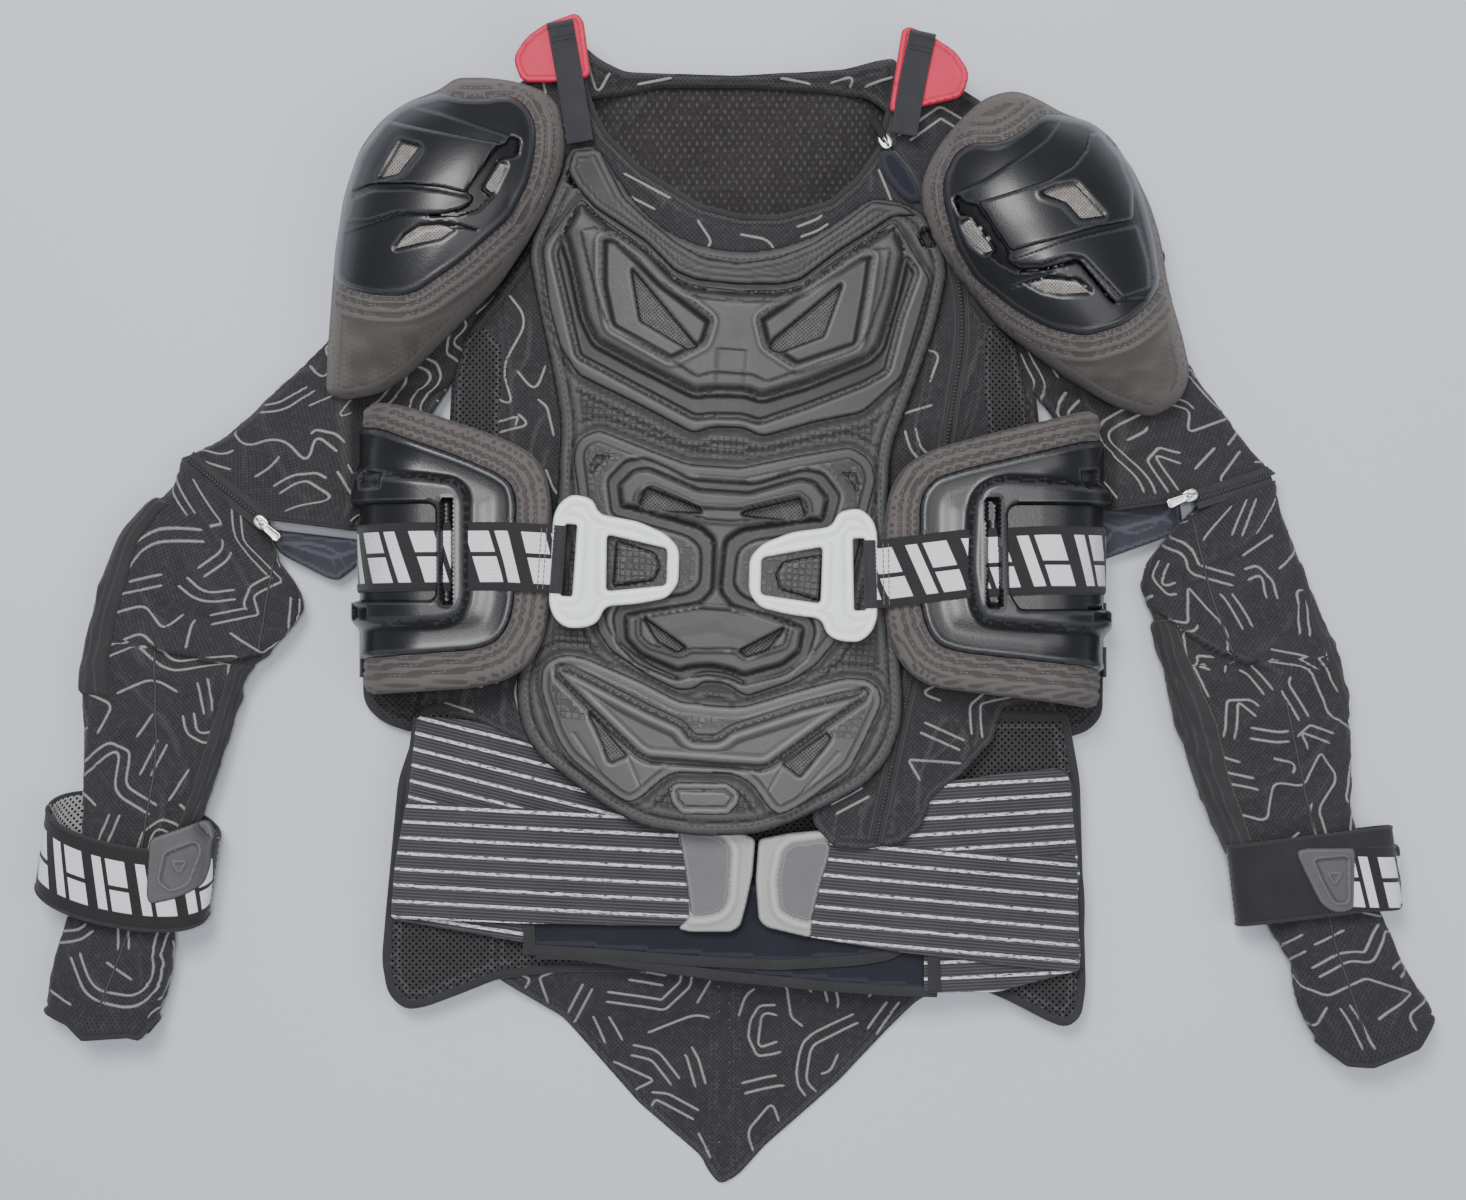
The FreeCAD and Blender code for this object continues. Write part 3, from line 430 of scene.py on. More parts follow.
def meander(inside, low, high, seed, gap=8.0, tries=3200, shortest=21.0):
    """Long winding strokes, some in pairs, that keep a gap from each other: a plain rubber print on stretch cloth."""
    rng = np.random.default_rng(seed)
    cell, margin = 1.5, 20
    size = ((np.array(high) - low) / cell).astype(int) + 2 * margin
    lines = []
    discs, taken = [], []
    for reach in (gap, gap * 0.72):
        span = np.arange(-int(reach / cell), int(reach / cell) + 1)
        discs.append(np.array([(i, j) for i in span for j in span if i * i + j * j <= (reach / cell) ** 2]))
        taken.append(np.zeros(size, bool))

    def free_part(line, grid):
        """The line up to where it leaves the cloth, meets another stroke or comes back on itself."""
        spot = ((line - low) / cell).astype(int) + margin
        good = ((spot >= 0) & (spot < size)).all(1)
        spot = np.clip(spot, 0, size - 1)
        good &= ~grid[spot[:, 0], spot[:, 1]]
        own = np.sqrt(((line[:, None] - line[None]) ** 2).sum(2))
        steps = np.abs(np.arange(len(line))[:, None] - np.arange(len(line))[None])
        good &= ~((own < gap * 0.8) & (steps * 1.5 > gap * 2.2)).any(1)
        for test in (good, None):
            if test is None:
                test = inside(line)
            stops = np.flatnonzero(~test)
            line = line[:stops[0]] if len(stops) else line
            if len(line) * 1.5 < shortest:
                return None
        return line

    for _ in range(tries):
        at = low + (high - low) * rng.random(2)
        heading = math.radians(rng.choice([20, 65, 115, 160, 200, 245, 295, 340]) + rng.uniform(-12, 12))
        turn, points = rng.choice([-1, 1]), [at]
        for _ in range(rng.integers(4, 9)):
            points.append(points[-1] + rng.uniform(14, 42) * np.array([math.cos(heading), math.sin(heading)]))
            heading += turn * math.radians(rng.choice([45, 60, 90, 125]) + rng.uniform(-10, 10))
            turn = turn if rng.random() < 0.35 else -turn
        corner, beside = rng.choice([3.0, 6.0, 12.0]), rng.choice([-1, 1]) * gap * 0.9
        line = free_part(outline(points, corner, 1.5, closed=False), taken[0])
        if line is None:
            continue
        ahead = np.gradient(line, axis=0)
        ahead /= np.maximum(np.linalg.norm(ahead, axis=1, keepdims=True), 1e-9)
        pair = outline((line + beside * np.column_stack([-ahead[:, 1], ahead[:, 0]]))[::4], 3.0, 1.5, closed=False)
        for stroke in (line, free_part(pair, taken[1])):
            if stroke is not None:
                lines.append(stroke)
                spot = ((stroke - low) / cell).astype(int) + margin
                for grid, disc in zip(taken, discs):
                    area = np.clip((spot[:, None] + disc[None]).reshape(-1, 2), 0, size - 1)
                    grid[area[:, 0], area[:, 1]] = True
    return lines


def printed(name, lines, surface, body, slot="mesh_fabric", width=1.15):
    """Strokes laid on a surface, which gives a point and a normal for each plan point."""
    parts = []
    for line in lines:
        ahead = np.gradient(line, axis=0)
        ahead /= np.maximum(np.linalg.norm(ahead, axis=1, keepdims=True), 1e-9)
        side = np.column_stack([-ahead[:, 1], ahead[:, 0]]) * width
        taper = np.minimum(1, (1 + np.minimum(np.arange(len(line)), np.arange(len(line))[::-1])) / 2)[:, None]
        middle, normal = surface(line)
        left, _ = surface(line + side * taper)
        right, _ = surface(line - side * taper)
        ring = np.stack([left + normal * 0.05, middle + normal * 0.42, right + normal * 0.05, middle - normal * 0.6], 1)
        n, faces = len(line), []
        for i in range(n - 1):
            for k in range(4):
                m = (k + 1) % 4
                faces.append([i * 4 + k, i * 4 + m, i * 4 + 4 + m, i * 4 + 4 + k])
        faces += [[3, 2, 1, 0], [n * 4 - 4, n * 4 - 3, n * 4 - 2, n * 4 - 1]]
        parts.append((ring.reshape(-1, 3), faces))
    return make(name, *gather(parts), body, M["print"], slot)


def surface_of(place, top):
    """The point and normal functions of a relief's upper face."""
    def surface(p):
        here = place(p, top(p))
        east, north = (place(p + step, top(p + step)) - here for step in ([0.7, 0.0], [0.0, 0.7]))
        normal = np.cross(east, north)
        return here, normal / np.linalg.norm(normal, axis=1, keepdims=True)
    return surface


def bead(d, centre, width, height):
    """A rounded rib, or with a negative height a groove, that runs at a distance from a line."""
    return height * np.exp(-((d - centre) / width) ** 2)


def sewn_border(e):
    """Ribs and sewn grooves beside the rim of a shell; e is the distance out from it."""
    return (bead(e, 1.6, 0.9, -1.1) + bead(e, 3.6, 1.2, 0.9) + bead(e, 6.6, 0.8, -1.0) + bead(e, 9.2, 1.6, 0.7)
            + bead(e, 12.6, 0.8, -1.1) + bead(e, 15.5, 1.8, 0.4))


def folds(p, along, size, stretch=3.0, seed=0.0):
    """Sharp-crested cloth folds that run along a heading in degrees."""
    c, s = math.cos(math.radians(along)), math.sin(math.radians(along))
    u, v = p[:, 0] * c + p[:, 1] * s, -p[:, 0] * s + p[:, 1] * c
    bend = fuzz(np.column_stack([u / stretch, v]), size * 1.7, seed + 5.0, 2)
    rows = fuzz(np.column_stack([u / stretch, v + bend * size * 0.8]), size, seed, 2)
    return 1 - np.clip(np.abs(rows) * 3.2, 0, 1) ** 0.8


# ---------------------------------------------------------------------------------------------- materials
class Look:
    """A material under construction; sizes in its patterns are millimetres on the piece."""

    def __init__(self, name, rough=0.6, **sockets):
        self.mat = bpy.data.materials.new(name)
        self.mat.use_nodes = True
        self.tree = self.mat.node_tree
        self.shader = self.tree.nodes["Principled BSDF"]
        self.shader.inputs["Roughness"].default_value = rough
        for key, value in sockets.items():
            self.shader.inputs[key.replace("_", " ")].default_value = value
        self.place = self.add("ShaderNodeAttribute", attribute_name="uvw").outputs["Vector"]

    def add(self, kind, inputs=None, **props):
        node = self.tree.nodes.new(kind)
        for key, value in props.items():
            setattr(node, key, value)
        for key, value in (inputs or {}).items():
            if isinstance(value, bpy.types.NodeSocket):
                self.tree.links.new(value, node.inputs[key])
            else:
                node.inputs[key].default_value = value
        return node

    def math(self, op, a, b=0.0, c=0.0):
        return self.add("ShaderNodeMath", {0: a, 1: b, 2: c}, operation=op).outputs[0]

    def vector(self, op, a, b=(0, 0, 0)):
        out = "Value" if op in ("DOT_PRODUCT", "LENGTH", "DISTANCE") else "Vector"
        return self.add("ShaderNodeVectorMath", {0: a, 1: b}, operation=op).outputs[out]

    def part(self, axis, vec=None):
        return self.add("ShaderNodeSeparateXYZ", {0: vec or self.place}).outputs[axis]

    def mark(self, name):
        return self.add("ShaderNodeAttribute", attribute_name=name).outputs["Fac"]

    def noise(self, size, detail=3.0, vec=None, rough=0.55):
        node = self.add("ShaderNodeTexNoise", {"Vector": vec or self.place, "Scale": 1.0 / size, "Detail": detail,
                                               "Roughness": rough})
        return node.outputs["Fac"]

    def cells(self, size, feature="DISTANCE_TO_EDGE", vec=None, random=1.0):
        node = self.add("ShaderNodeTexVoronoi", {"Vector": vec or self.place, "Scale": 1.0 / size,
                                                 "Randomness": random}, feature=feature)
        return node.outputs["Distance"]

    def step(self, value, low, high):
        """0 below low, 1 above high, smooth between; low may be the larger."""
        if low > high:
            return self.math("SUBTRACT", 1.0, self.step(value, high, low))
        node = self.add("ShaderNodeMapRange", {"Value": value, "From Min": low, "From Max": high},
                        interpolation_type="SMOOTHSTEP")
        return node.outputs["Result"]

    def mix(self, fac, a, b):
        node = self.add("ShaderNodeMix", {0: fac, 6: a, 7: b}, data_type="RGBA")
        return node.outputs[2]

    def blend(self, fac, a, b):
        return self.add("ShaderNodeMix", {0: fac, 2: a, 3: b}, data_type="FLOAT").outputs[0]

    def colour(self, socket):
        self.tree.links.new(socket, self.shader.inputs["Base Color"])

    def rough(self, socket):
        self.tree.links.new(socket, self.shader.inputs["Roughness"])

    def bump(self, *layers):
        """Layers of (height in millimetres, strength)."""
        normal = None
        for height, strength in layers:
            inputs = {"Height": height, "Strength": strength, "Distance": MM}
            if normal is not None:
                inputs["Normal"] = normal
            normal = self.add("ShaderNodeBump", inputs).outputs["Normal"]
        self.tree.links.new(normal, self.shader.inputs["Normal"])
        return self.mat

    def wave(self, coordinate, pitch):
        """0 to 1 and back along a coordinate, once per pitch."""
        return self.math("PINGPONG", self.math("DIVIDE", coordinate, pitch / 2), 1.0)

    def grid_holes(self, pitch, size, vec=None):
        """1 inside round holes on a staggered grid."""
        scaled = self.vector("MULTIPLY", vec or self.place, (1 / pitch, 1 / pitch, 0))
        found = None
        for shift in (0.0, 0.5):
            moved = self.vector("ADD", scaled, (shift, shift, 0))
            cell = self.vector("SUBTRACT", self.vector("FRACTION", moved), (0.5, 0.5, 0))
            d = self.vector("LENGTH", cell)
            one = self.step(d, size / pitch * 0.62, size / pitch * 0.38)
            found = one if found is None else self.math("MAXIMUM", found, one)
        return found


def rgb(r, g=None, b=None):
    return (r, r if g is None else g, r if b is None else b, 1.0)


def mesh_cloth(name, base=0.03, tint=(1.0, 0.985, 1.06), pitch=3.2, hole=0.5, dashes=False):
    """Stretch mesh: fine knit with staggered pinholes, or rows of short pale dashes."""
    k = Look(name, 0.88, Sheen_Weight=0.25, Sheen_Roughness=0.5, Specular_IOR_Level=0.25)
    k.shader.inputs["Sheen Tint"].default_value = rgb(0.5, 0.48, 0.5)
    knit = k.math("MULTIPLY", k.wave(k.part(0), 0.9), k.wave(k.part(1), 0.7))
    ribs = k.wave(k.part(0), 1.9)
    tone = k.mix(k.noise(38, 4), rgb(*(base * 0.7 * c for c in tint)), rgb(*(base * 1.4 * c for c in tint)))
    tone = k.mix(k.math("MULTIPLY", k.step(k.noise(4.0, 4, rough=0.7), 0.45, 0.7), 0.35), tone, rgb(*(base * 2.6 * c for c in tint)))
    tone = k.mix(k.math("MULTIPLY", knit, 0.35), tone, rgb(*(base * 2.0 * c for c in tint)))
    # Painted highlight: convex crests of folds and edges are lightened.
    tone = k.mix(k.math("MULTIPLY", k.step(k.mark("edge"), 0.05, 0.5), 0.5), tone, rgb(base * 2.6))
    layers = [(knit, 0.25), (ribs, 0.12), (k.noise(5, 3), 0.5)]
    dot = k.grid_holes(pitch, pitch * 0.36, k.vector("MULTIPLY", k.place, (1.0, 0.62, 1.0)) if dashes else None)
    if dashes:
        dot = k.math("MULTIPLY", dot, k.step(k.noise(3.0, 2), 0.35, 0.55))
        tone = k.mix(k.math("MULTIPLY", dot, 0.9), tone, rgb(base * 3.4, base * 3.2, base * 3.0))
        layers.append((dot, 0.3))
    else:
        tone = k.mix(k.math("MULTIPLY", dot, hole), tone, rgb(base * 0.12))
        layers.append((k.math("SUBTRACT", 1.0, dot), 0.45))
    k.colour(tone)
    return k.bump(*layers)


def moulded(name, base=0.03, rough=0.5, grain=0.9, scales=False, coat=0.0, tint=(1, 1, 1), edge_highlight_and_wear=2.2, grain_bump=0.25):
    """Moulded rubber or plastic: fine grain, lighter edges that are partly wear and partly painted highlight, painted
    shade in hollows and marked areas, scuffs and, where marked, small scales.
    """
    k = Look(name, rough, Coat_Weight=coat, Coat_Roughness=0.22, Specular_IOR_Level=0.45)
    dust = k.noise(46, 5, rough=0.65)
    fine = k.noise(grain, 2)
    tone = k.mix(dust, rgb(*(base * 0.78 * c for c in tint)), rgb(*(base * 1.3 * c for c in tint)))
    # Lighter convex edges: partly wear, partly painted highlight standing in for the bevel highlights.
    rubbed_and_highlit = k.math("MULTIPLY", k.step(k.mark("edge"), 0.05, 0.55), k.blend(k.noise(7, 4), 0.35, 1.0))
    tone = k.mix(rubbed_and_highlit, tone, rgb(*(base * edge_highlight_and_wear * c for c in tint)))
    # Painted shade: concave places are darkened.
    sunk = k.step(k.mark("edge"), -0.04, -0.5)
    tone = k.mix(k.math("MULTIPLY", sunk, 0.6), tone, rgb(base * 0.3))
    # Painted shade: where the dark mark is set, the colour goes near black in place of shade in channels, holes,
    # recesses and slots.
    tone = k.mix(k.math("MULTIPLY", k.mark("dark"), 0.9), tone, rgb(0.0008))
    layers = [(fine, grain_bump)]
    if scales:
        zone = k.mark("scales")
        cell = k.cells(4.2, random=0.25)
        groove = k.step(cell, 0.10, 0.02)
        # Painted shade: the grooves between the scales are darkened.
        tone = k.mix(k.math("MULTIPLY", k.math("MULTIPLY", groove, zone), 0.75), tone, rgb(base * 0.25))
        layers.append((k.math("MULTIPLY", k.step(cell, 0.0, 0.3), zone), 0.6))
    k.colour(tone)
    k.rough(k.blend(k.noise(20, 5, rough=0.7), rough * 0.82, min(1.0, rough * 1.25)))
    scratch = k.noise(1.0, 2, vec=k.vector("MULTIPLY", k.place, (0.5, 0.06, 0.2)))
    layers.append((k.step(scratch, 0.66, 0.74), 0.05))
    return k.bump(*layers)


def padded_cloth(name, base=0.02, tint=(1.08, 1.0, 0.95), fuzz_size=0.7, holes=False):
    """Neoprene or knitted cover over foam."""
    k = Look(name, 0.95, Sheen_Weight=0.35, Sheen_Roughness=0.45, Specular_IOR_Level=0.2)
    k.shader.inputs["Sheen Tint"].default_value = rgb(0.45, 0.42, 0.4)
    cloud = k.noise(30, 5)
    tone = k.mix(cloud, rgb(*(base * 0.7 * c for c in tint)), rgb(*(base * 1.45 * c for c in tint)))
    weave = k.math("MULTIPLY", k.wave(k.part(0), 0.8), k.wave(k.part(1), 0.8))
    tone = k.mix(k.math("MULTIPLY", weave, 0.35), tone, rgb(base * 2.4))
    # Lighter convex edges: partly wear, partly painted highlight.
    rubbed_and_highlit = k.math("MULTIPLY", k.step(k.mark("edge"), 0.04, 0.5), 0.55)
    tone = k.mix(rubbed_and_highlit, tone, rgb(*(base * 2.6 * c for c in tint)))
    layers = [(weave, 0.3), (k.noise(fuzz_size, 2), 0.3), (k.noise(9, 3), 0.5)]
    if holes:
        hole = k.grid_holes(4.6, 1.7)
        tone = k.mix(hole, tone, rgb(0.001))
        layers.append((k.math("SUBTRACT", 1.0, hole), 0.7))
    k.colour(tone)
    return k.bump(*layers)


def striped_elastic(name):
    """Ribbed belt elastic with thin broken silver threads along it."""
    k = Look(name, 0.8, Sheen_Weight=0.15, Specular_IOR_Level=0.35)
    u, v = k.part(0), k.part(1)
    rib = k.wave(v, 2.1)
    cross = k.wave(u, 1.1)
    tone = k.mix(k.noise(25, 4), rgb(0.016, 0.016, 0.018), rgb(0.06, 0.059, 0.063))
    tone = k.mix(k.math("MULTIPLY", k.math("POWER", rib, 2.5), 0.8), tone, rgb(0.13, 0.128, 0.135))
    away = k.math("ABSOLUTE", k.math("SUBTRACT", k.math("PINGPONG", v, 5.35), 0.0))
    wobble = k.math("MULTIPLY", k.math("SUBTRACT", k.noise(7, 2), 0.5), 0.9)
    thread = k.step(k.math("ADD", away, wobble), 1.3, 0.7)
    broken = k.step(k.noise(2.0, 3, vec=k.vector("MULTIPLY", k.place, (0.45, 2.0, 0))), 0.36, 0.52)
    thread = k.math("MULTIPLY", thread, broken)
    tone = k.mix(thread, tone, rgb(0.80, 0.79, 0.84))
    k.colour(tone)
    return k.bump((rib, 0.7), (cross, 0.3), (thread, 0.25), (k.noise(12, 3), 0.4))


def webbing(name, base=0.012, blocks=None, tint=(1, 1, 1.05)):
    """Woven strap, with plain slanted pale blocks printed along it if blocks gives their pitch."""
    k = Look(name, 0.7, Sheen_Weight=0.15, Specular_IOR_Level=0.4)
    u, v = k.part(0), k.part(1)
    weave = k.math("MULTIPLY", k.wave(k.math("ADD", u, v), 1.3), k.wave(k.math("SUBTRACT", u, v), 1.3))
    tone = k.mix(k.noise(14, 4), rgb(*(base * 0.7 * c for c in tint)), rgb(*(base * 1.6 * c for c in tint)))
    tone = k.mix(k.math("MULTIPLY", weave, 0.5), tone, rgb(*(base * 3 * c for c in tint)))
    layers = [(weave, 0.45), (k.wave(v, 2.4), 0.25)]
    if blocks:
        slant = k.math("ADD", u, k.math("MULTIPLY", v, 0.30))
        one = k.math("FLOORED_MODULO", slant, blocks)
        block = k.step(k.math("ABSOLUTE", k.math("SUBTRACT", one, blocks * 0.30)), blocks * 0.225, blocks * 0.21)
        thin = k.step(k.math("ABSOLUTE", k.math("SUBTRACT", one, blocks * 0.73)), blocks * 0.115, blocks * 0.10)
        split = k.step(k.math("ABSOLUTE", k.math("SUBTRACT", v, 1.5)), 1.3, 1.7)
        block = k.math("MAXIMUM", k.math("MULTIPLY", block, split), thin)
        block = k.math("MULTIPLY", block, k.step(k.math("ABSOLUTE", v), 17.0, 16.5))
        crack = k.step(k.noise(1.6, 4, rough=0.7), 0.30, 0.36)
        block = k.math("MULTIPLY", block, crack)
        tone = k.mix(block, tone, rgb(0.78, 0.78, 0.8))
        layers.append((block, 0.15))
    k.colour(tone)
    return k.bump(*layers)


def plain(name, colour, rough=0.5, grain=1.2, bump=0.2, worn_and_highlit=1.35, **sockets):
    """Simple material with fine grain and uneven tone."""
    k = Look(name, rough, **sockets)
    tone = k.mix(k.noise(24, 5), rgb(*(c * 0.85 for c in colour)), rgb(*(min(1.0, c * 1.12) for c in colour)))
    # Lighter convex edges: partly wear, partly painted highlight.
    tone = k.mix(k.step(k.mark("edge"), 0.05, 0.5), tone, rgb(*(min(1.0, c * worn_and_highlit) for c in colour)))
    # Painted shade: concave places are darkened.
    tone = k.mix(k.math("MULTIPLY", k.step(k.mark("edge"), -0.05, -0.5), 0.5), tone, rgb(*(c * 0.5 for c in colour)))
    k.colour(tone)
    k.rough(k.blend(k.noise(9, 4), rough * 0.85, min(1.0, rough * 1.2)))
    return k.bump((k.noise(grain, 3), bump))


M = {
    "mesh": mesh_cloth("mesh_cloth_main"),
    "mesh_plain": mesh_cloth("mesh_cloth_plain", base=0.024, pitch=4.2, hole=0.7),
    "mesh_dotted": mesh_cloth("mesh_cloth_dotted", base=0.021, tint=(1.08, 0.98, 0.98), pitch=5.4, dashes=True),
    "print": plain("rubber_print", (0.25, 0.247, 0.25), 0.6, grain=1.6, bump=0.5, worn_and_highlit=1.0),
    "liner": padded_cloth("grey_liner", base=0.26, tint=(1, 1, 1.02), holes=True),
    "elbow": padded_cloth("ribbed_cover", base=0.034, tint=(1, 0.99, 1.05)),
    "loop_dark": padded_cloth("dark_loop_pile", base=0.026, tint=(1, 1, 1.12), fuzz_size=1.2),
    "wrist_print": webbing("wrist_elastic", base=0.010, blocks=30.0),
    "tab_rubber": plain("wrist_rubber", (0.075, 0.074, 0.077), 0.55, grain=0.7, bump=0.3),
    "mesh_inner": padded_cloth("inner_mesh", base=0.036, tint=(1, 0.99, 1.06), holes=True),
    "foam": padded_cloth("foam_cover", base=0.056, tint=(1.14, 1.02, 0.98)),
    "binding": padded_cloth("binding_tape", base=0.034, tint=(1, 0.99, 1.08), fuzz_size=0.5),
    "lining": padded_cloth("slate_lining", base=0.044, tint=(0.97, 0.96, 1.25)),
    "loop_pile": padded_cloth("navy_loop_pile", base=0.020, tint=(0.92, 0.96, 1.4), fuzz_size=1.3),
    "rubber": moulded("chest_rubber", base=0.036, rough=0.62, scales=True, grain=0.8),
    "plate": moulded("chest_plate", base=0.048, rough=0.45, scales=True, grain=0.7),
    # Lighter copy of the chest plate: painted highlight in place of the sheen that the lower plate and tab catch.
    "plate_low_highlit": moulded("chest_plate_low", base=0.072, rough=0.42, scales=True, grain=0.7),
    "shell": moulded("gloss_shell", base=0.010, rough=0.34, coat=0.25, grain=1.1, edge_highlight_and_wear=4.5, grain_bump=0.12, tint=(0.96, 0.98, 1.1)),
    "slot": moulded("slot_black", base=0.003, rough=0.7),
    "back_plate": moulded("back_plate", base=0.02, rough=0.45, grain=1.0),
    "vent": mesh_cloth("vent_mesh", base=0.2, tint=(1.08, 1.0, 0.94), pitch=2.4, hole=0.8),
    "grille": mesh_cloth("grille_mesh", base=0.085, tint=(1.04, 1.0, 0.98), pitch=2.6, hole=0.9),
    "white": plain("buckle_white", (0.84, 0.85, 0.86), 0.38, grain=0.9, bump=0.06, worn_and_highlit=1.2, Subsurface_Weight=0.05),
    "belt": striped_elastic("belt_elastic"),
    "grip": plain("grip_grey", (0.36, 0.355, 0.355), 0.5, grain=0.7, bump=0.25, worn_and_highlit=1.2),
    "grip_dark": plain("grip_dark_grey", (0.135, 0.134, 0.14), 0.6, grain=0.6, bump=0.3),
    "band": webbing("printed_webbing", blocks=36.0),
    "strap": webbing("plain_webbing", base=0.022, tint=(1, 1, 1.15)),
    "red": plain("red_tab", (0.62, 0.012, 0.06), 0.6, grain=0.8, bump=0.3, worn_and_highlit=1.15, Sheen_Weight=0.1),
    "metal": plain("zip_metal", (0.62, 0.62, 0.6), 0.32, grain=2.0, bump=0.1, Metallic=1.0),
    "teeth": plain("zip_teeth", (0.03, 0.03, 0.031), 0.45, grain=0.9, bump=0.2),
    "tape": webbing("zip_tape", base=0.022),
    "thread": plain("thread_grey", (0.15, 0.147, 0.147), 0.8, grain=0.5, bump=0.4),
    "thread_dark": plain("thread_dark", (0.05, 0.05, 0.052), 0.8, grain=0.5, bump=0.4),
}


# ------------------------------------------------------------------------------------------ chest armour
FOAM = [(0, 183), (-27, 186), (-49, 194), (-69, 209), (-89, 234), (-98, 248), (-119, 246), (-122, 229),
    (-132, 205),
        (-142, 177), (-133, 144), (-120, 100), (-111, 65), (-110, 10), (-120, -62), (-130, -112), (-125, -138),
        (-112, -158), (-68, -186), (-38, -200), (0, -203), (38, -199), (68, -186), (106, -164), (123, -143),
        (130, -116), (122, -50), (110, 20), (109, 61), (121, 100), (134, 146), (139, 180), (136, 195),
            (121, 219),
        (107, 225), (84, 227), (68, 213), (49, 198), (26, 188)]
UPPER = [(0, 157), (-26, 158), (-40, 162), (-60, 180), (-79, 191), (-95, 201), (-107, 212), (-118, 198),
    (-131, 178),
         (-124, 140), (-114, 112), (-101, 95), (-60, 78), (-22, 61), (-11, 66), (10, 67), (23, 62),
             (56, 74), (88, 83),
         (112, 108), (120, 142), (127, 175), (117, 188), (100, 211), (86, 200), (67, 185), (41, 163), (28, 159)]
GROOVE = [(-123, 175), (-114, 146), (-102, 107), (-60, 88), (-22, 71), (-12, 73), (9, 74), (20, 71), (51, 84),
          (87, 101), (102, 111), (109, 148), (118, 179), (109, 188), (104, 158), (97, 127), (90, 118), (50, 98),
          (21, 87), (10, 90), (-14, 89), (-23, 87), (-61, 103), (-91, 117), (-100, 133), (-111, 171),
              (-118, 186)]
INNER = [(-117, 188), (-111, 171), (-100, 133), (-91, 117), (-61, 103), (-23, 87), (-14, 89), (10, 90),
    (21, 87),
         (50, 98), (90, 118), (97, 127), (104, 158), (109, 189), (100, 207), (86, 198), (67, 183), (41, 161.5),
         (28, 157.5), (0, 155.5), (-26, 156.5), (-40, 160.5), (-60, 178.5), (-79, 189.5), (-95, 199.5),
             (-107, 209)]
RIDGE = [(-106, 190), (-98, 164), (-88, 136), (-81, 125), (-49, 112), (-22, 97), (-13, 101), (14, 101),
    (23, 97),
         (49, 108), (80, 123), (88, 134), (96, 163), (99, 192), (86, 190), (67, 176), (44, 156), (28, 151),
             (0, 149),
         (-26, 150), (-44, 155), (-60, 170), (-79, 182), (-92, 192)]
EYE = {"l": [(-92, 185), (-83, 188), (-64, 173), (-50, 160), (-14, 136), (-18, 119), (-40, 106), (-82, 126),
    (-90, 154)],
       "r": [(88, 187), (79, 187), (60, 173), (41, 160), (14, 139), (20, 120), (42, 108), (82, 125), (86, 160)]}
EYE_HOLE = {"l": [(-70, 166), (-24, 118), (-29, 116), (-54, 129), (-62, 133)],
            "r": [(68, 166), (26, 126), (24, 120), (30, 118), (58, 131)]}
MID = [(-10, -106), (-20, -108), (-41, -100), (-67, -85), (-77, -72), (-95, 13), (-101, 43), (-97, 54),
    (-85, 60),
       (-51, 49), (-24, 41), (10, 41), (49, 52), (82, 60), (95, 53), (100, 41), (95, 13), (81, -68), (69, -85),
       (53, -97), (24, -109), (10, -101), (-4, -101)]
PODS_HALF = [(0, 26), (-16, 26), (-50, 38), (-60, 36), (-70, 25), (-67, 9), (-61, 9), (-14, -1), (-5, -8),
    (-4, -40),
             (-11, -48), (-50, -57), (-60, -60), (-58, -77), (-47, -87), (-21, -96), (-14, -93), (0, -91)]
SURROUND_HALF = [(0, 33), (-20, 33), (-52, 45), (-66, 43), (-79, 28), (-74, 3), (-22, -8), (-14, -14),
    (-13, -36),
                 (-20, -42), (-64, -51), (-69, -62), (-65, -80), (-50, -94), (-22, -103), (-14, -100), (0, -98)]
TOP_PANEL = [(-56, 20), (-47, 26), (-15, 14), (11, 15), (49, 27), (56, 22), (58, 13), (54, 10), (8, 4), (-9, 4),
             (-57, 12)]
LOW_PANEL = [(-50, -60), (-11, -51), (10, -51), (51, -58), (48, -74), (22, -84), (15, -79), (-15, -81),
    (-20, -85),
             (-42, -80), (-49, -74)]
MID_VENTS = [[(-50, 23), (-15, 12), (-13, 10), (-50, 9), (-54, 13)], [(-46, -62), (-18, -79), (-23, -82),
    (-36, -76)]]
PEG = [(-68, -12), (-42, -18), (-37, -27), (-41, -37), (-68, -43)]
CORNER_NOTCH = [(-86, 45), (-91, 35), (-88, 27), (-79, 40), (-70, 43)]
LOWER = [(-47, -103), (-86, -90), (-101, -90), (-112, -98), (-112, -114), (-100, -143), (-90, -157),
    (-56, -181),
         (-48, -184), (-41, -181), (-26, -166), (-19, -162), (19, -160), (31, -165), (45, -182), (52, -185),
         (66, -177), (96, -152), (105, -131), (114, -107), (112, -98), (104, -92), (88, -92), (56, -103),
             (24, -115),
         (11, -116), (-19, -115)]
BAT = [(-101, -99), (-91, -100), (-39, -122), (-17, -130), (-9, -139), (8, -138), (16, -131), (61, -113),
    (103, -100),
       (101, -105), (78, -123), (56, -141), (43, -152), (37, -154), (-37, -154), (-44, -151), (-79, -122),
       (-100, -104)]
BAT_VENTS = {"l": [(-78, -127), (-70, -141), (-62, -158), (-52, -153)], "r": [(79, -129), (81, -133),
    (63, -158), (52, -151)]}
TAB = [(-23, -172), (-17, -168), (16, -166), (25, -172), (24, -179), (18, -187), (-13, -189), (-20, -182)]
FLOOR = 10.6


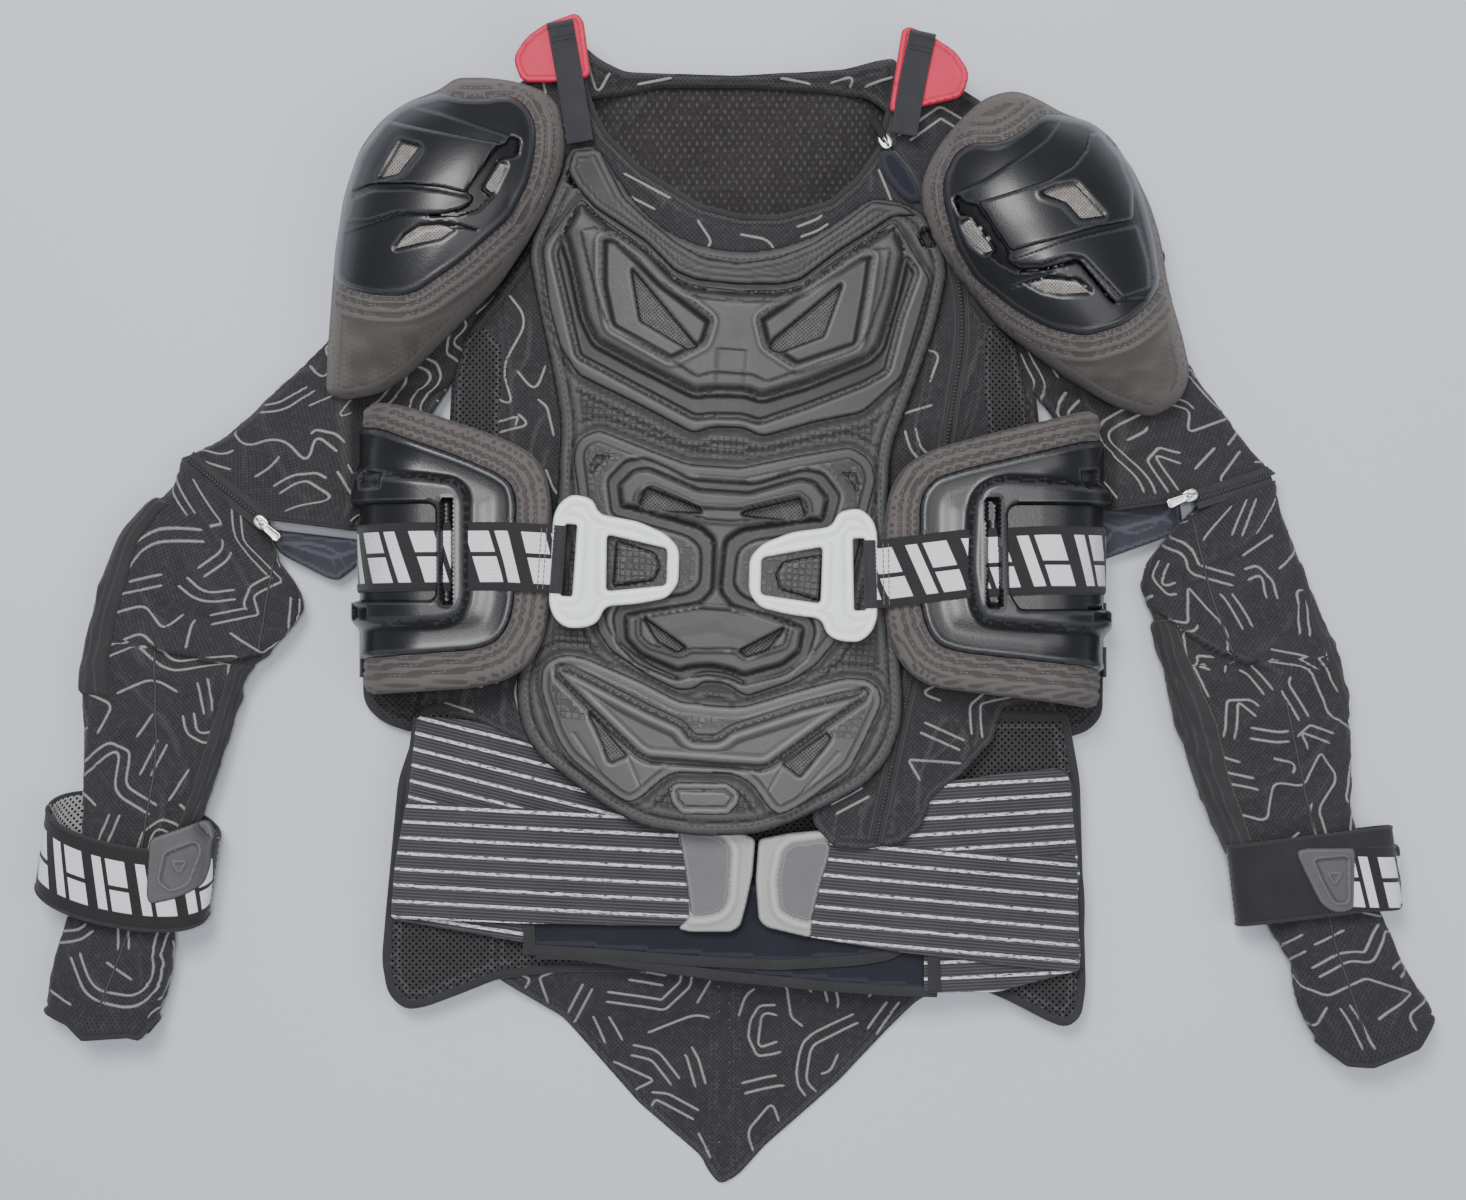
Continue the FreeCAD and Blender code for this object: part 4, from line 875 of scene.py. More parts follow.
def chest_armour():
    foam = outline(FOAM, 12, 2.2)
    upper, mid, lower = outline(UPPER, 5, 1.6), outline(MID, 5, 1.6), outline(LOWER, 6, 1.6)
    tab = outline(TAB, 2, 1.2)
    groove, inner, ridge = outline(GROOVE, 4, 1.5), outline(INNER, 4, 1.5), outline(RIDGE, 4, 1.5)
    eyes = {s: outline(EYE[s], 4, 1.5) for s in "lr"}
    holes = {s: outline(EYE_HOLE[s], 1.5, 1.2) for s in "lr"}
    rim = inset(foam, 9.0)

    round_holes = [(-111, 226), (124, 203)]

    def foam_top(p):
        d = inside_distance(p, foam)
        body = 4.8 + roll(d, 5.5)
        seam = np.abs(d - 9.0)
        body -= 1.2 * np.exp(-(seam / 1.1) ** 2)
        body += 0.5 * np.exp(-((d - 13.5) / 2.0) ** 2)
        for plate in (upper, mid, lower):
            out = -inside_distance(p, plate)
            body -= 1.0 * np.exp(-((out - 3.0) / 1.6) ** 2)
            body -= 0.8 * np.exp(-((out - 9.5) / 1.0) ** 2) * (d > 12)
        for centre in round_holes:
            r = np.linalg.norm(p - centre, axis=1)
            body += bead(r, 8.6, 1.2, 0.5) - 6.5 * ramp(7.2 - r, 1.6)
        return body

    def scale_zone(p):
        d = inside_distance(p, foam)
        free = np.ones(len(p))
        for plate in (upper, mid, lower):
            free *= ramp(-inside_distance(p, plate) - 4.5, 2.0)
        return ramp(d - 14.5, 2.0) * free

    # Painted shade inside the round holes through the foam.
    soft = relief("chest_foam", on_chest, foam, foam_top, 0.4, "jacket", M["rubber"], "foam", creases=[rim], step=2.3,
                  marks={"scales": scale_zone, "dark": lambda p: sum(
                      ramp(7.0 - np.linalg.norm(p - c, axis=1), 1.0) for c in round_holes)},
                  stands_for=["chest_foam_base"])
    line = closed_line(inset(foam, 6.2))
    rows = stitches(on_chest(line, np.full(len(line), 10.35)), 4.4, 3.0, 0.4)
    line = closed_line(inset(foam, 11.4))
    rows += stitches(on_chest(line, np.full(len(line), 10.5)), 4.4, 3.0, 0.35)
    make("chest_foam_stitching", *gather(rows), "jacket", M["thread_dark"], "foam")

    def upper_top(p):
        d = inside_distance(p, upper)
        h = FLOOR + 0.4 + roll(d, 3.4)
        neck = ramp(p[:, 1] - 150 - 0.0022 * p[:, 0] ** 2 * 1.6, 26)
        gr = inside_distance(p, groove)
        inn = inside_distance(p, inner)
        h += 2.4 * ramp(-gr - 0.2, 3.2) * (inn < 0)
        h -= 3.2 * ramp(gr, 3.6)
        h += 6.8 * ramp(inn, 6.5) * (1 - 0.42 * neck)
        h += 1.5 * ramp(inside_distance(p, ridge), 2.6) * (1 - 0.5 * neck)
        for s in "lr":
            e = inside_distance(p, eyes[s])
            h -= 5.4 * ramp(e, 5.5) * (1 - 0.3 * neck)
            h += 0.9 * np.exp(-((e + 2.4) / 1.6) ** 2)
            h -= 2.4 * ramp(inside_distance(p, holes[s]) + 2.6, 2.6)
        lobe = np.exp(-(((np.abs(p[:, 0] + 4) - 104) / 13) ** 2 + ((p[:, 1] - 196) / 14) ** 2))
        h += 2.2 * lobe
        centre = ramp(np.abs(p[:, 0] + 1) - 7, 5)
        h -= 1.1 * (1 - centre) * ramp(inside_distance(p, inner), 2.0) * (p[:, 1] < 118)
        return np.maximum(h, FLOOR + 0.4)

    def upper_painted_shade(p):
        """Painted shade: the channel round the raised middle and the cavities are darkened as if in deep shade."""
        channel = ramp(inside_distance(p, groove) - 0.5, 2.5) * ramp(-inside_distance(p, inner) - 0.5, 2.0)
        cavity = sum(ramp(inside_distance(p, eyes[s]), 3) * ramp(5.5 - inside_distance(p, eyes[s]), 2.5) for s in "lr")
        return 0.62 * channel + 0.5 * cavity

    relief("chest_plate_upper", on_chest, upper, upper_top, FLOOR, "jacket", M["plate"], "armour_plate",
           holes=[holes[s] for s in "lr"], creases=[groove, inner, eyes["l"], eyes["r"], ridge], step=1.35, closed=False,
           marks={"dark": upper_painted_shade}, stands_for=["chest_plate_upper"])

    lip = outline([(0, 175), (-24, 177), (-42, 186), (-62, 200), (-78, 213), (-90, 232), (-97, 245),
        (-115, 243),
                   (-118, 229), (-110, 218), (-98, 206), (-79, 195), (-62, 185), (-42, 167), (-27, 162),
                       (0, 161),
                   (28, 163), (41, 167), (66, 189), (86, 204), (99, 214), (112, 216), (120, 214), (106, 222),
                   (85, 223), (66, 206), (48, 192), (26, 181)], 4, 1.8)

    def lip_top(p):
        d = inside_distance(p, lip)
        return 10.2 + roll(d, 3.4) * 0.9 - 0.7 * np.exp(-((d - 5.0) / 0.8) ** 2)

    relief("chest_neck_lip", on_chest, lip, lip_top, 9.5, "jacket", M["rubber"], "foam", step=1.9, closed=False,
           marks={"scales": lambda p: np.zeros(len(p))})

    pods, surround = outline(both_sides(PODS_HALF), 3.5, 1.4), outline(both_sides(SURROUND_HALF), 5, 1.6)
    panels = [outline(TOP_PANEL, 2.5, 1.3), outline(LOW_PANEL, 3, 1.3)]
    vents = [outline(v, 1.2, 1.1) for one in MID_VENTS for v in (one, mirror(one))]
    pegs = [outline(v, 3, 1.3) for v in (PEG, mirror(PEG))]
    notches = [outline(v, 2, 1.3) for v in (CORNER_NOTCH, mirror(CORNER_NOTCH))]

    def mid_top(p):
        h = FLOOR + 0.3 + roll(inside_distance(p, mid), 3.0)
        h += 1.3 * ramp(inside_distance(p, mid) - 6.5, 2.4)
        s = inside_distance(p, surround)
        h -= 2.8 * ramp(s, 3.0)
        d = inside_distance(p, pods)
        h += 9.4 * ramp(d, 4.6) - 0.6 * ramp(d - 14, 12)
        for panel in panels:
            e = inside_distance(p, panel)
            h += 1.0 * np.exp(-((e - 0.2) / 1.3) ** 2) - 1.3 * ramp(e, 2.2)
        for v in vents:
            h -= 3.6 * ramp(inside_distance(p, v) + 2.4, 2.8)
        for v in pegs:
            h += 5.0 * ramp(inside_distance(p, v), 2.6)
        for v in notches:
            h -= 2.2 * ramp(inside_distance(p, v), 2.2)
        return np.maximum(h, FLOOR + 0.3)

    # Painted shade in the sunk channel round the pods.
    relief("chest_plate_middle", on_chest, mid, mid_top, FLOOR, "jacket", M["plate"], "armour_plate", holes=vents,
           creases=[pods, surround, *panels, *pegs, *notches], step=1.35, closed=False,
           marks={"scales": lambda p: 0.9 * ramp(-inside_distance(p, surround) - 1.0, 1.5)
                  * ramp(inside_distance(p, mid) - 7.5, 1.5),
                  "dark": lambda p: 0.5 * ramp(inside_distance(p, surround) - 1, 2) * ramp(-inside_distance(p, pods) - 0.5, 2)},
           stands_for=["chest_plate_middle"])

    bat = outline(BAT, 4, 1.5)
    bat_vents = [outline(BAT_VENTS[s], 2, 1.2) for s in "lr"]
    seam = outline([(-110, -104), (-90, -97), (-40, -118), (-16, -126), (14, -127), (60, -110), (108, -98),
        (112, -104),
                    (62, -117), (16, -134), (9, -142), (-10, -143), (-18, -134), (-40, -126),
                        (-90, -104)], 3, 1.6)

    def lower_top(p):
        d = inside_distance(p, lower)
        h = FLOOR + 0.4 + roll(d, 3.2) + 1.2 * ramp(d - 5, 3)
        b = inside_distance(p, bat)
        h += 4.6 * ramp(b, 4.0) - 2.2 * ramp(b - 5.0, 5.0)
        h -= 1.6 * np.exp(-((b + 2.4) / 1.4) ** 2)
        for v in bat_vents:
            h -= 3.0 * ramp(inside_distance(p, v) + 3.0, 3.0)
        fan = np.abs(np.mod(np.degrees(np.arctan2(p[:, 1] + 250, p[:, 0])) - 90, 11) - 5.5)
        h -= 0.6 * np.exp(-(fan / 0.5) ** 2) * ramp(-b - 3, 2) * ramp(d - 5, 3) * (p[:, 1] < -140)
        return np.maximum(h, FLOOR + 0.4)

    # Painted shade in the groove round the raised bat shape.
    relief("chest_plate_lower", on_chest, lower, lower_top, FLOOR, "jacket", M["plate_low_highlit"], "armour_plate", holes=bat_vents,
           creases=[bat], step=1.4, closed=False,
           marks={"scales": lambda p: 0.9 * ramp(-inside_distance(p, bat) - 4.0, 1.5)
                  * ramp(inside_distance(p, lower) - 6.5, 1.5) * (p[:, 1] > -132),
                  "dark": lambda p: 0.45 * bead(inside_distance(p, bat), -2.6, 1.8, 1.0)},
           stands_for=["chest_plate_lower"])
    inner_tab = inset(tab, 3.2)
    relief("chest_tab", on_chest, tab, lambda p: FLOOR + 0.2 + roll(inside_distance(p, tab), 2.0)
           - 1.0 * ramp(inside_distance(p, inner_tab), 1.6) + 1.6 * ramp(inside_distance(p, inner_tab) - 2.2, 1.6),
           FLOOR - 1, "jacket", M["plate_low_highlit"], "armour_plate", step=1.2, closed=False, marks={"scales": lambda p: np.zeros(len(p))},
           stands_for=["chest_tab"])

    for name, loop in (("upper", upper), ("middle", mid), ("lower", lower)):
        small = inset(loop, 7.0)
        relief("vent_mesh_" + name, on_chest, small, lambda p: np.full(len(p), FLOOR + 0.15), FLOOR - 0.8, "jacket",
               M["grille"], "foam", step=5.0, closed=False)


chest_armour()

# ------------------------------------------------------------------------------------------ shoulder cups
CAMERA_TOP, PLAN_LEVEL = 1645.0, 45.0
CUPS = {
    "l": {
        "pad": [(-195, 340), (-185, 348), (-162, 348), (-142, 345), (-125, 339), (-115, 327), (-111, 307),
            (-113, 287), (-122, 263), (-135, 240), (-155, 210), (-182, 183), (-215, 150), (-235, 137),
                (-259, 133), (-271, 137), (-270, 167), (-267, 207), (-265, 233), (-259, 270), (-249, 300),
                    (-235, 319), (-219, 331)],
        "shell": [(-194, 338), (-183, 335), (-169, 334), (-149, 337), (-137, 330), (-131, 317), (-131, 300),
            (-135, 280), (-147, 255), (-181, 225), (-210, 205), (-222, 202), (-242, 203), (-259, 208),
                (-266, 215), (-265, 233), (-258, 272), (-249, 298), (-234, 319), (-219, 331)],
        "terrace": [(-269, 360), (-217, 331), (-195, 325), (-150, 310), (-141, 307), (-145, 293),
            (-155, 292), (-166, 273), (-158, 269), (-170, 257), (-185, 254), (-222, 256), (-249, 247),
                (-269, 240), (-275, 320)],
        "blade": [(-231, 320), (-209, 315), (-179, 309), (-152, 304), (-157, 301), (-178, 271), (-195, 275),
            (-215, 277), (-241, 277), (-255, 271), (-256, 280), (-249, 298)],
        "tongue": [(-255, 268), (-241, 274), (-215, 275), (-195, 273), (-177, 269), (-172, 266),
            (-179, 260), (-192, 257), (-209, 257), (-222, 258), (-242, 252), (-259, 251)],
        "recess": [(-150, 310), (-141, 307), (-143, 295), (-150, 293), (-155, 293), (-167, 273),
            (-160, 269), (-170, 259), (-182, 255), (-199, 255), (-219, 257), (-199, 257), (-181, 261),
                (-173, 267), (-179, 272), (-158, 303), (-151, 304)],
        "vents": [[(-221, 305), (-209, 302), (-223, 284), (-235, 281)], [(-155, 291), (-151, 290),
            (-160, 271), (-165, 275)],
                  [(-225, 234), (-218, 243), (-209, 249), (-195, 250), (-186, 247), (-195, 241), (-209, 238)]],
        "lip": [(-225, 236), (-219, 245), (-209, 251), (-195, 253), (-182, 251), (-163, 245), (-182, 247),
            (-195, 248), (-207, 246), (-217, 240)]},
    "r": {
        "pad": [(126, 280), (126, 260), (133, 240), (146, 219), (178, 180), (218, 150), (251, 130),
            (278, 121), (298, 132), (305, 150), (299, 177), (290, 207), (285, 240), (278, 263), (265, 290),
                (241, 317), (218, 325), (205, 333), (188, 340), (168, 335), (151, 320), (135, 300)],
        "shell": [(140, 263), (139, 280), (148, 299), (159, 305), (178, 305), (193, 313), (206, 324),
            (219, 323), (238, 319), (253, 307), (266, 287), (275, 263), (281, 237), (285, 210), (278, 197),
                (261, 183), (235, 175), (211, 180), (190, 191), (161, 213), (148, 235)],
        "terrace": [(148, 271), (168, 280), (191, 295), (208, 307), (218, 321), (245, 330), (285, 300),
            (298, 240), (278, 200), (253, 198), (230, 225), (208, 217), (188, 215), (177, 223), (168, 229),
                (175, 233), (157, 255), (150, 257)],
        "blade": [(163, 265), (185, 272), (208, 279), (226, 289), (235, 300), (237, 311), (245, 311),
            (258, 295), (267, 273), (267, 253), (241, 248), (218, 241), (185, 232)],
        "tongue": [(184, 227), (218, 239), (241, 245), (270, 251), (278, 225), (279, 207), (259, 200),
            (233, 228), (223, 229), (205, 223), (191, 223)],
        "recess": [(146, 267), (150, 271), (155, 265), (163, 264), (185, 231), (183, 227), (191, 221),
            (208, 222), (230, 228), (257, 196), (251, 198), (230, 224), (208, 219), (188, 217), (178, 223),
                (170, 229), (175, 233), (157, 256), (151, 255)],
        "vents": [[(206, 271), (215, 275), (228, 277), (247, 256), (232, 254), (222, 265)], [(153, 251),
            (158, 254), (173, 233), (168, 231), (159, 238)],
                  [(197, 211), (209, 214), (229, 212), (238, 205), (219, 204), (207, 206)]],
        "lip": [(177, 206), (197, 213), (211, 217), (231, 215), (241, 206), (231, 211), (211, 214),
            (198, 211)]},
}


def cup_place(p, z):
    """Cup outlines are taken at one level, so points above it draw in a little towards the middle."""
    return np.column_stack([p * ((CAMERA_TOP - z) / (CAMERA_TOP - PLAN_LEVEL))[:, None], z])


def shoulder_cup(side):
    facts = CUPS[side]
    body = "shoulder_cup_" + side
    pad, shell, blade = outline(facts["pad"], 9, 2.0), outline(facts["shell"], 8, 1.5), outline(facts["blade"], 3, 1.3)
    terrace, tongue, recess = (outline(facts[k], 3, 1.4) for k in ("terrace", "tongue", "recess"))
    lip = outline(facts["lip"], 2, 1.2)
    vents = [outline(v, 1.6, 1.1) for v in facts["vents"]]
    dome = swell(pad)

    def foot(p):
        return np.maximum(CUP_LOW - 1.0, arch_height(p, 1.0))

    def pad_height(p):
        low = foot(p)
        d = inside_distance(p, pad)
        e = -inside_distance(p, shell)
        h = low + roll(d, 6.0) + (96.0 - 6.0 - low) * dome(p)
        h += sewn_border(e) * ramp(d - 1.5, 2.0) + bead(d, 3.4, 0.9, -0.8) + bead(d, 5.6, 1.1, 0.4)
        h -= 3.6 * ramp(-e - 2.5, 4)
        soft = ramp(e - 20, 14)
        return h + soft * 2.2 * fuzz(p, 34, 3.0 if side == "l" else 8.0, 2)

    def shell_height(p):
        low = foot(p)
        d = inside_distance(p, shell)
        h = low + 6.0 + (96.0 - 6.0 - low) * dome(p) + roll(d, 3.2) - 0.6
        h += bead(d, 3.8, 1.0, 0.5)
        h += 1.3 * ramp(inside_distance(p, terrace), 1.8)
        h += 1.5 * ramp(inside_distance(p, tongue), 2.2)
        h -= 4.2 * ramp(inside_distance(p, recess) + 0.3, 1.3)
        h -= 1.8 * ramp(inside_distance(p, lip), 1.0)
        for v in vents:
            out = -inside_distance(p, v)
            h -= 1.6 * ramp(3.2 - out, 3.2)
        return h

    def blade_height(p):
        d = inside_distance(p, blade)
        h = shell_height(p) + 0.4 + roll(d, 2.4) * 1.05
        out = -inside_distance(p, vents[0])
        return h + bead(out, 3.4, 1.2, 0.5)

    soft = relief("shoulder_pad_" + side, cup_place, pad, pad_height, lambda p: np.maximum(foot(p), pad_height(p) - 7.5), body,
                  M["foam"], "foam", creases=[shell], step=2.2, stands_for=["shoulder_pad_" + side])
    in_blade = [v for v in vents if inside_distance(v.mean(0)[None], blade)[0] > 0]
    # Painted shade in the sunk recess of the shell.
    relief("shoulder_shell_" + side, cup_place, shell, shell_height, lambda p: shell_height(p) - 3.0, body, M["shell"],
           "gloss_shell", holes=vents, creases=[recess, tongue], step=1.35,
           marks={"dark": lambda p: ramp(inside_distance(p, recess) + 0.2, 1.0)},
           stands_for=["shoulder_shell_" + side])
    relief("shoulder_blade_" + side, cup_place, blade, blade_height, lambda p: shell_height(p) - 0.5, body, M["shell"],
           "gloss_shell", holes=in_blade, step=1.35, stands_for=["shoulder_blade_" + side])
    for i, v in enumerate(vents):
        area = outline(inset(v, -2.2), 2, 1.6)
        relief("shoulder_vent_%s_%d" % (side, i), cup_place, area, lambda p: shell_height(p) - 1.6 + roll(inside_distance(p, area), 1.5) * 0.5,
               lambda p: shell_height(p) - 3.4, body, M["vent"], "foam", step=1.8)
    rows = []
    for gap in (1.6, 6.6, 12.6):
        ring = inset(shell, -gap)
        ring = ring[inside_distance(ring, pad) > 4]
        jumps = np.linalg.norm(np.diff(ring, axis=0), axis=1)
        for run in np.split(ring, np.where(jumps > 6)[0] + 1):
            if len(run) > 6:
                rows += stitches(cup_place(run, pad_height(run) + 0.3), 3.6, 2.5, 0.38)
    make("shoulder_stitching_" + side, *gather(rows), body, M["thread"], "foam")


for side in "lr":
    shoulder_cup(side)

# --------------------------------------------------------------------------------------------- rib guards
GUARD_SHELL_TOP, GUARD_BOX_TOP, STRAP_BASE, STRAP_T = 11.4, 17.0, 11.7, 1.6
GUARD_END = {"l": -274.0, "r": 272.0}
GUARDS = {
    "l": {
        "pad": [(-274, 132), (-235, 131), (-205, 125), (-155, 108), (-134, 98), (-123, 84), (-119, 60),
            (-120, 0),
                (-125, -27), (-133, -42), (-147, -52), (-169, -58), (-235, -62), (-274, -64)],
        "shell": [(-274, 117), (-235, 114), (-175, 93), (-155, 84), (-145, 77), (-142, 66), (-143, 0),
            (-147, -17),
                  (-155, -28), (-169, -33), (-274, -41)],
        "box": [(-290, 90), (-235, 84), (-196, 80), (-181, 78), (-174, 68), (-174, 0), (-179, -11),
            (-190, -15), (-290, -18)],
        "recess": [(-300, 63), (-198, 63), (-195, 60), (-195, 3), (-198, 0), (-300, 0)],
        "slot": [(-190, 66), (-184, 66), (-184, -2), (-190, -2)], "gate": -164.0,
        "windows": [[(-246, 86), (-229, 84), (-229, 74), (-246, 75)], [(-258, -4), (-240, -4), (-240, -13),
            (-258, -13)]],
        "strap": (-1.0, 49.0), "lie": (27.0, 28.4, 28.6), "bar_u": -105.0, "tilt": 0.0},
    "r": {
        "pad": [(272, 128), (232, 124), (178, 112), (130, 99), (112, 88), (103, 72), (99, 45), (99, 0),
            (103, -27),
                (112, -45), (128, -57), (165, -62), (232, -70), (272, -74)],
        "shell": [(272, 108), (232, 105), (150, 86), (132, 80), (124, 70), (122, 60), (122, 0), (126, -18),
            (134, -30),
                  (150, -35), (232, -44), (272, -50)],
        "box": [(290, 76), (232, 76), (178, 80), (164, 76), (156, 64), (154, 20), (158, -6), (164, -14),
            (178, -16),
                (290, -24)],
        "recess": [(300, 62), (184, 62), (180, 58), (182, 4), (188, -6), (300, -6)],
        "slot": [(166, 66), (173, 66), (175, -4), (167, -4)], "gate": 143.0,
        "windows": [[(230, 85), (248, 86), (248, 75), (230, 74)], [(236, -5), (256, -5), (256, -14),
            (236, -14)]],
        "strap": (-6.0, 44.0), "lie": (26.0, 26.0, 23.5), "bar_u": 100.0, "tilt": 5.0},
}
BUCKLE = [(-110, 0), (-107, 9), (-99, 16), (-85, 14), (-80, 4), (-54, 1), (-35, -6), (-26, -15), (-25, -38),
    (-32, -48),
          (-51, -53), (-72, -56), (-76, -67), (-84, -71), (-97, -72), (-105, -66), (-109, -57)]
BUCKLE_WINDOW = [(-74, -9), (-34, -15.5), (-33, -39.5), (-72, -46)]
BUCKLE_NOTCH = [(-101.5, -4), (-94, -4), (-94, -51), (-101.5, -51)]
BUCKLE_LEVEL, BUCKLE_T, BAR_MID = 69.9, 5.0, -27.5


def buckle_plan(side, points):
    """Buckle points in the jacket's plan; each buckle sits a little turned on its peg."""
    peg = np.array([-2.5 + SIGN[side] * 50.5, -28.0])
    a = math.radians(GUARDS[side]["tilt"])
    off = pts(points) - peg
    return chest_plan(peg + np.column_stack([off[:, 0] * math.cos(a) - off[:, 1] * math.sin(a),
                                             off[:, 0] * math.sin(a) + off[:, 1] * math.cos(a)]))


def strap_path(side):
    """Plan points of the side strap's middle line, from the guard's outer end to the buckle bar."""
    facts, sign = GUARDS[side], SIGN[side]
    ends = buckle_plan(side, [(facts["bar_u"] + sign * 8, BAR_MID), (facts["bar_u"], BAR_MID)])
    return np.array([(GUARD_END[side] + sign * 1.5, facts["lie"][0]), (sign * 205, facts["lie"][1]),
                     (sign * 150, facts["lie"][2]), *ends])


def strap_pocket(side):
    """Where the shell is cut low for the side strap, from the gate inwards."""
    facts, sign = GUARDS[side], SIGN[side]
    path = strap_path(side)
    along = (path[-1] - path[2]) / np.linalg.norm(path[-1] - path[2])
    across = np.array([-along[1], along[0]]) * ((facts["strap"][1] - facts["strap"][0]) / 2 - 1.5)
    start = path[2] + along * ((facts["gate"] - path[2][0]) / along[0])
    end = start + along * 70
    return outline([start + across, end + across, end - across, start - across], 0.8, 1.4)


def rib_guard(side):
    facts = GUARDS[side]
    sign = SIGN[side]
    body = "rib_guard_" + side
    place = on_guard(side)
    pad, shell, box = outline(facts["pad"], 16, 2.2), outline(facts["shell"], 8, 1.8), outline(facts["box"], 7, 2.0)
    recess, slot = outline(facts["recess"], 3, 1.6), outline(facts["slot"], 1.5, 1.3)
    windows = [outline(w, 1.5, 1.3) for w in facts["windows"]]
    pocket = strap_pocket(side)

    def pad_height(p):
        d = inside_distance(p, pad)
        e = -inside_distance(p, shell)
        h = 2.6 + roll(d, 6.0) + sewn_border(e) * ramp(d - 2, 2.0) + bead(d, 4.4, 0.8, -0.8)
        return h + 0.5 * fuzz(p, 30, 2.0, 2) * ramp(d, 8)

    def shell_height(p):
        d = inside_distance(p, shell)
        h = GUARD_SHELL_TOP - 3.0 + roll(d, 3.0) + bead(d, 4.0, 1.2, 0.5)
        b = inside_distance(p, box)
        front = ramp(sign * (p[:, 0] - (facts["gate"] + sign * -12)), 24)
        h += (GUARD_BOX_TOP - GUARD_SHELL_TOP) * ramp(b + 4, 9) * (0.35 + 0.65 * front)
        h -= bead(d, 13.0, 7.0, 1.0) * ramp(-b, 4)
        floor = GUARD_SHELL_TOP - 0.1
        r = inside_distance(p, recess)
        h = np.where(r > -2.2, h - (h - floor) * ramp(r + 2.2, 2.2), h)
        s = inside_distance(p, slot)
        h = np.where(s > -0.6, h - (h - floor) * ramp(s + 0.6, 1.2), h)
        h += bead(s, -1.6, 0.8, 0.5) * (r < -0.4)
        h -= np.maximum(h - floor, 0) * ramp(inside_distance(p, pocket) + 0.9, 0.9)
        for w in windows:
            h -= 2.4 * ramp(inside_distance(p, w) + 0.6, 1.2)
        return h

    # Painted shade in the strap slot and the window recesses.
    def dark(p):
        found = ramp(inside_distance(p, slot) + 0.4, 0.8)
        for w in windows:
            found = np.maximum(found, 0.8 * ramp(inside_distance(p, w), 0.8))
        return found

    soft = relief("rib_pad_" + side, place, pad, pad_height, 0.0, body, M["foam"], "foam", creases=[shell], step=2.6,
                  stands_for=["rib_pad_" + side])
    relief("rib_shell_" + side, place, shell, shell_height, GUARD_SHELL_TOP - 3.1, body, M["shell"], "gloss_shell",
           creases=[box, recess, slot, pocket, *windows], step=1.7, marks={"dark": dark}, stands_for=["rib_shell_" + side])
    rows = []
    for gap in (1.6, 6.6, 12.6):
        ring = inset(shell, -gap)
        ring = ring[inside_distance(ring, pad) > 3]
        jumps = np.linalg.norm(np.diff(ring, axis=0), axis=1)
        for run in np.split(ring, np.where(jumps > 6)[0] + 1):
            if len(run) > 6:
                rows += stitches(place(run, pad_height(run) + 0.3), 3.8, 2.6, 0.38)
    make("rib_stitching_" + side, *gather(rows), body, M["thread"], "foam")
    side_strap(side, place)


def ribbon(name, place, path, width, low, thick, body, mat, slot, stands_for=(), step=2.0, shift=0.0):
    """A flat strap whose middle follows plan points; low(points) or a number is its under face."""
    path = np.asarray(path, float)
    run = np.concatenate([[0], np.cumsum(np.linalg.norm(np.diff(path, axis=0), axis=1))])
    at = np.linspace(0, run[-1], max(3, int(run[-1] / step)))
    line = np.column_stack([np.interp(at, run, path[:, k]) for k in (0, 1)])
    ahead = np.gradient(line, axis=0)
    ahead /= np.linalg.norm(ahead, axis=1, keepdims=True)
    across = np.column_stack([-ahead[:, 1], ahead[:, 0]])
    offsets = np.linspace(-width / 2, width / 2, max(5, int(width / step)))
    grid = line[:, None] + across[:, None] * offsets[None, :, None]
    p = grid.reshape(-1, 2)
    flat = np.column_stack([np.repeat(at + shift, len(offsets)), np.tile(offsets, len(at))])
    base = low(p) if callable(low) else np.full(len(p), float(low))
    edge = roll(width / 2 - np.abs(flat[:, 1]), thick * 0.5) - thick * 0.5
    upper, lower = place(p, base + thick + edge), place(p, base - edge)
    n, m = len(at), len(offsets)
    faces = []
    for i in range(n - 1):
        for j in range(m - 1):
            a = i * m + j
            faces.append([a, a + m, a + m + 1, a + 1])
    rim = border(faces)
    count = n * m
    faces += [[i + count for i in f[::-1]] for f in faces]
    faces += [[b, a, a + count, b + count] for a, b in rim]
    uvw = np.column_stack([np.concatenate([flat, flat]), np.repeat([1.0, 0.0], count)])
    return make(name, np.concatenate([upper, lower]), faces, body, mat, slot, uvw, stands_for=stands_for)


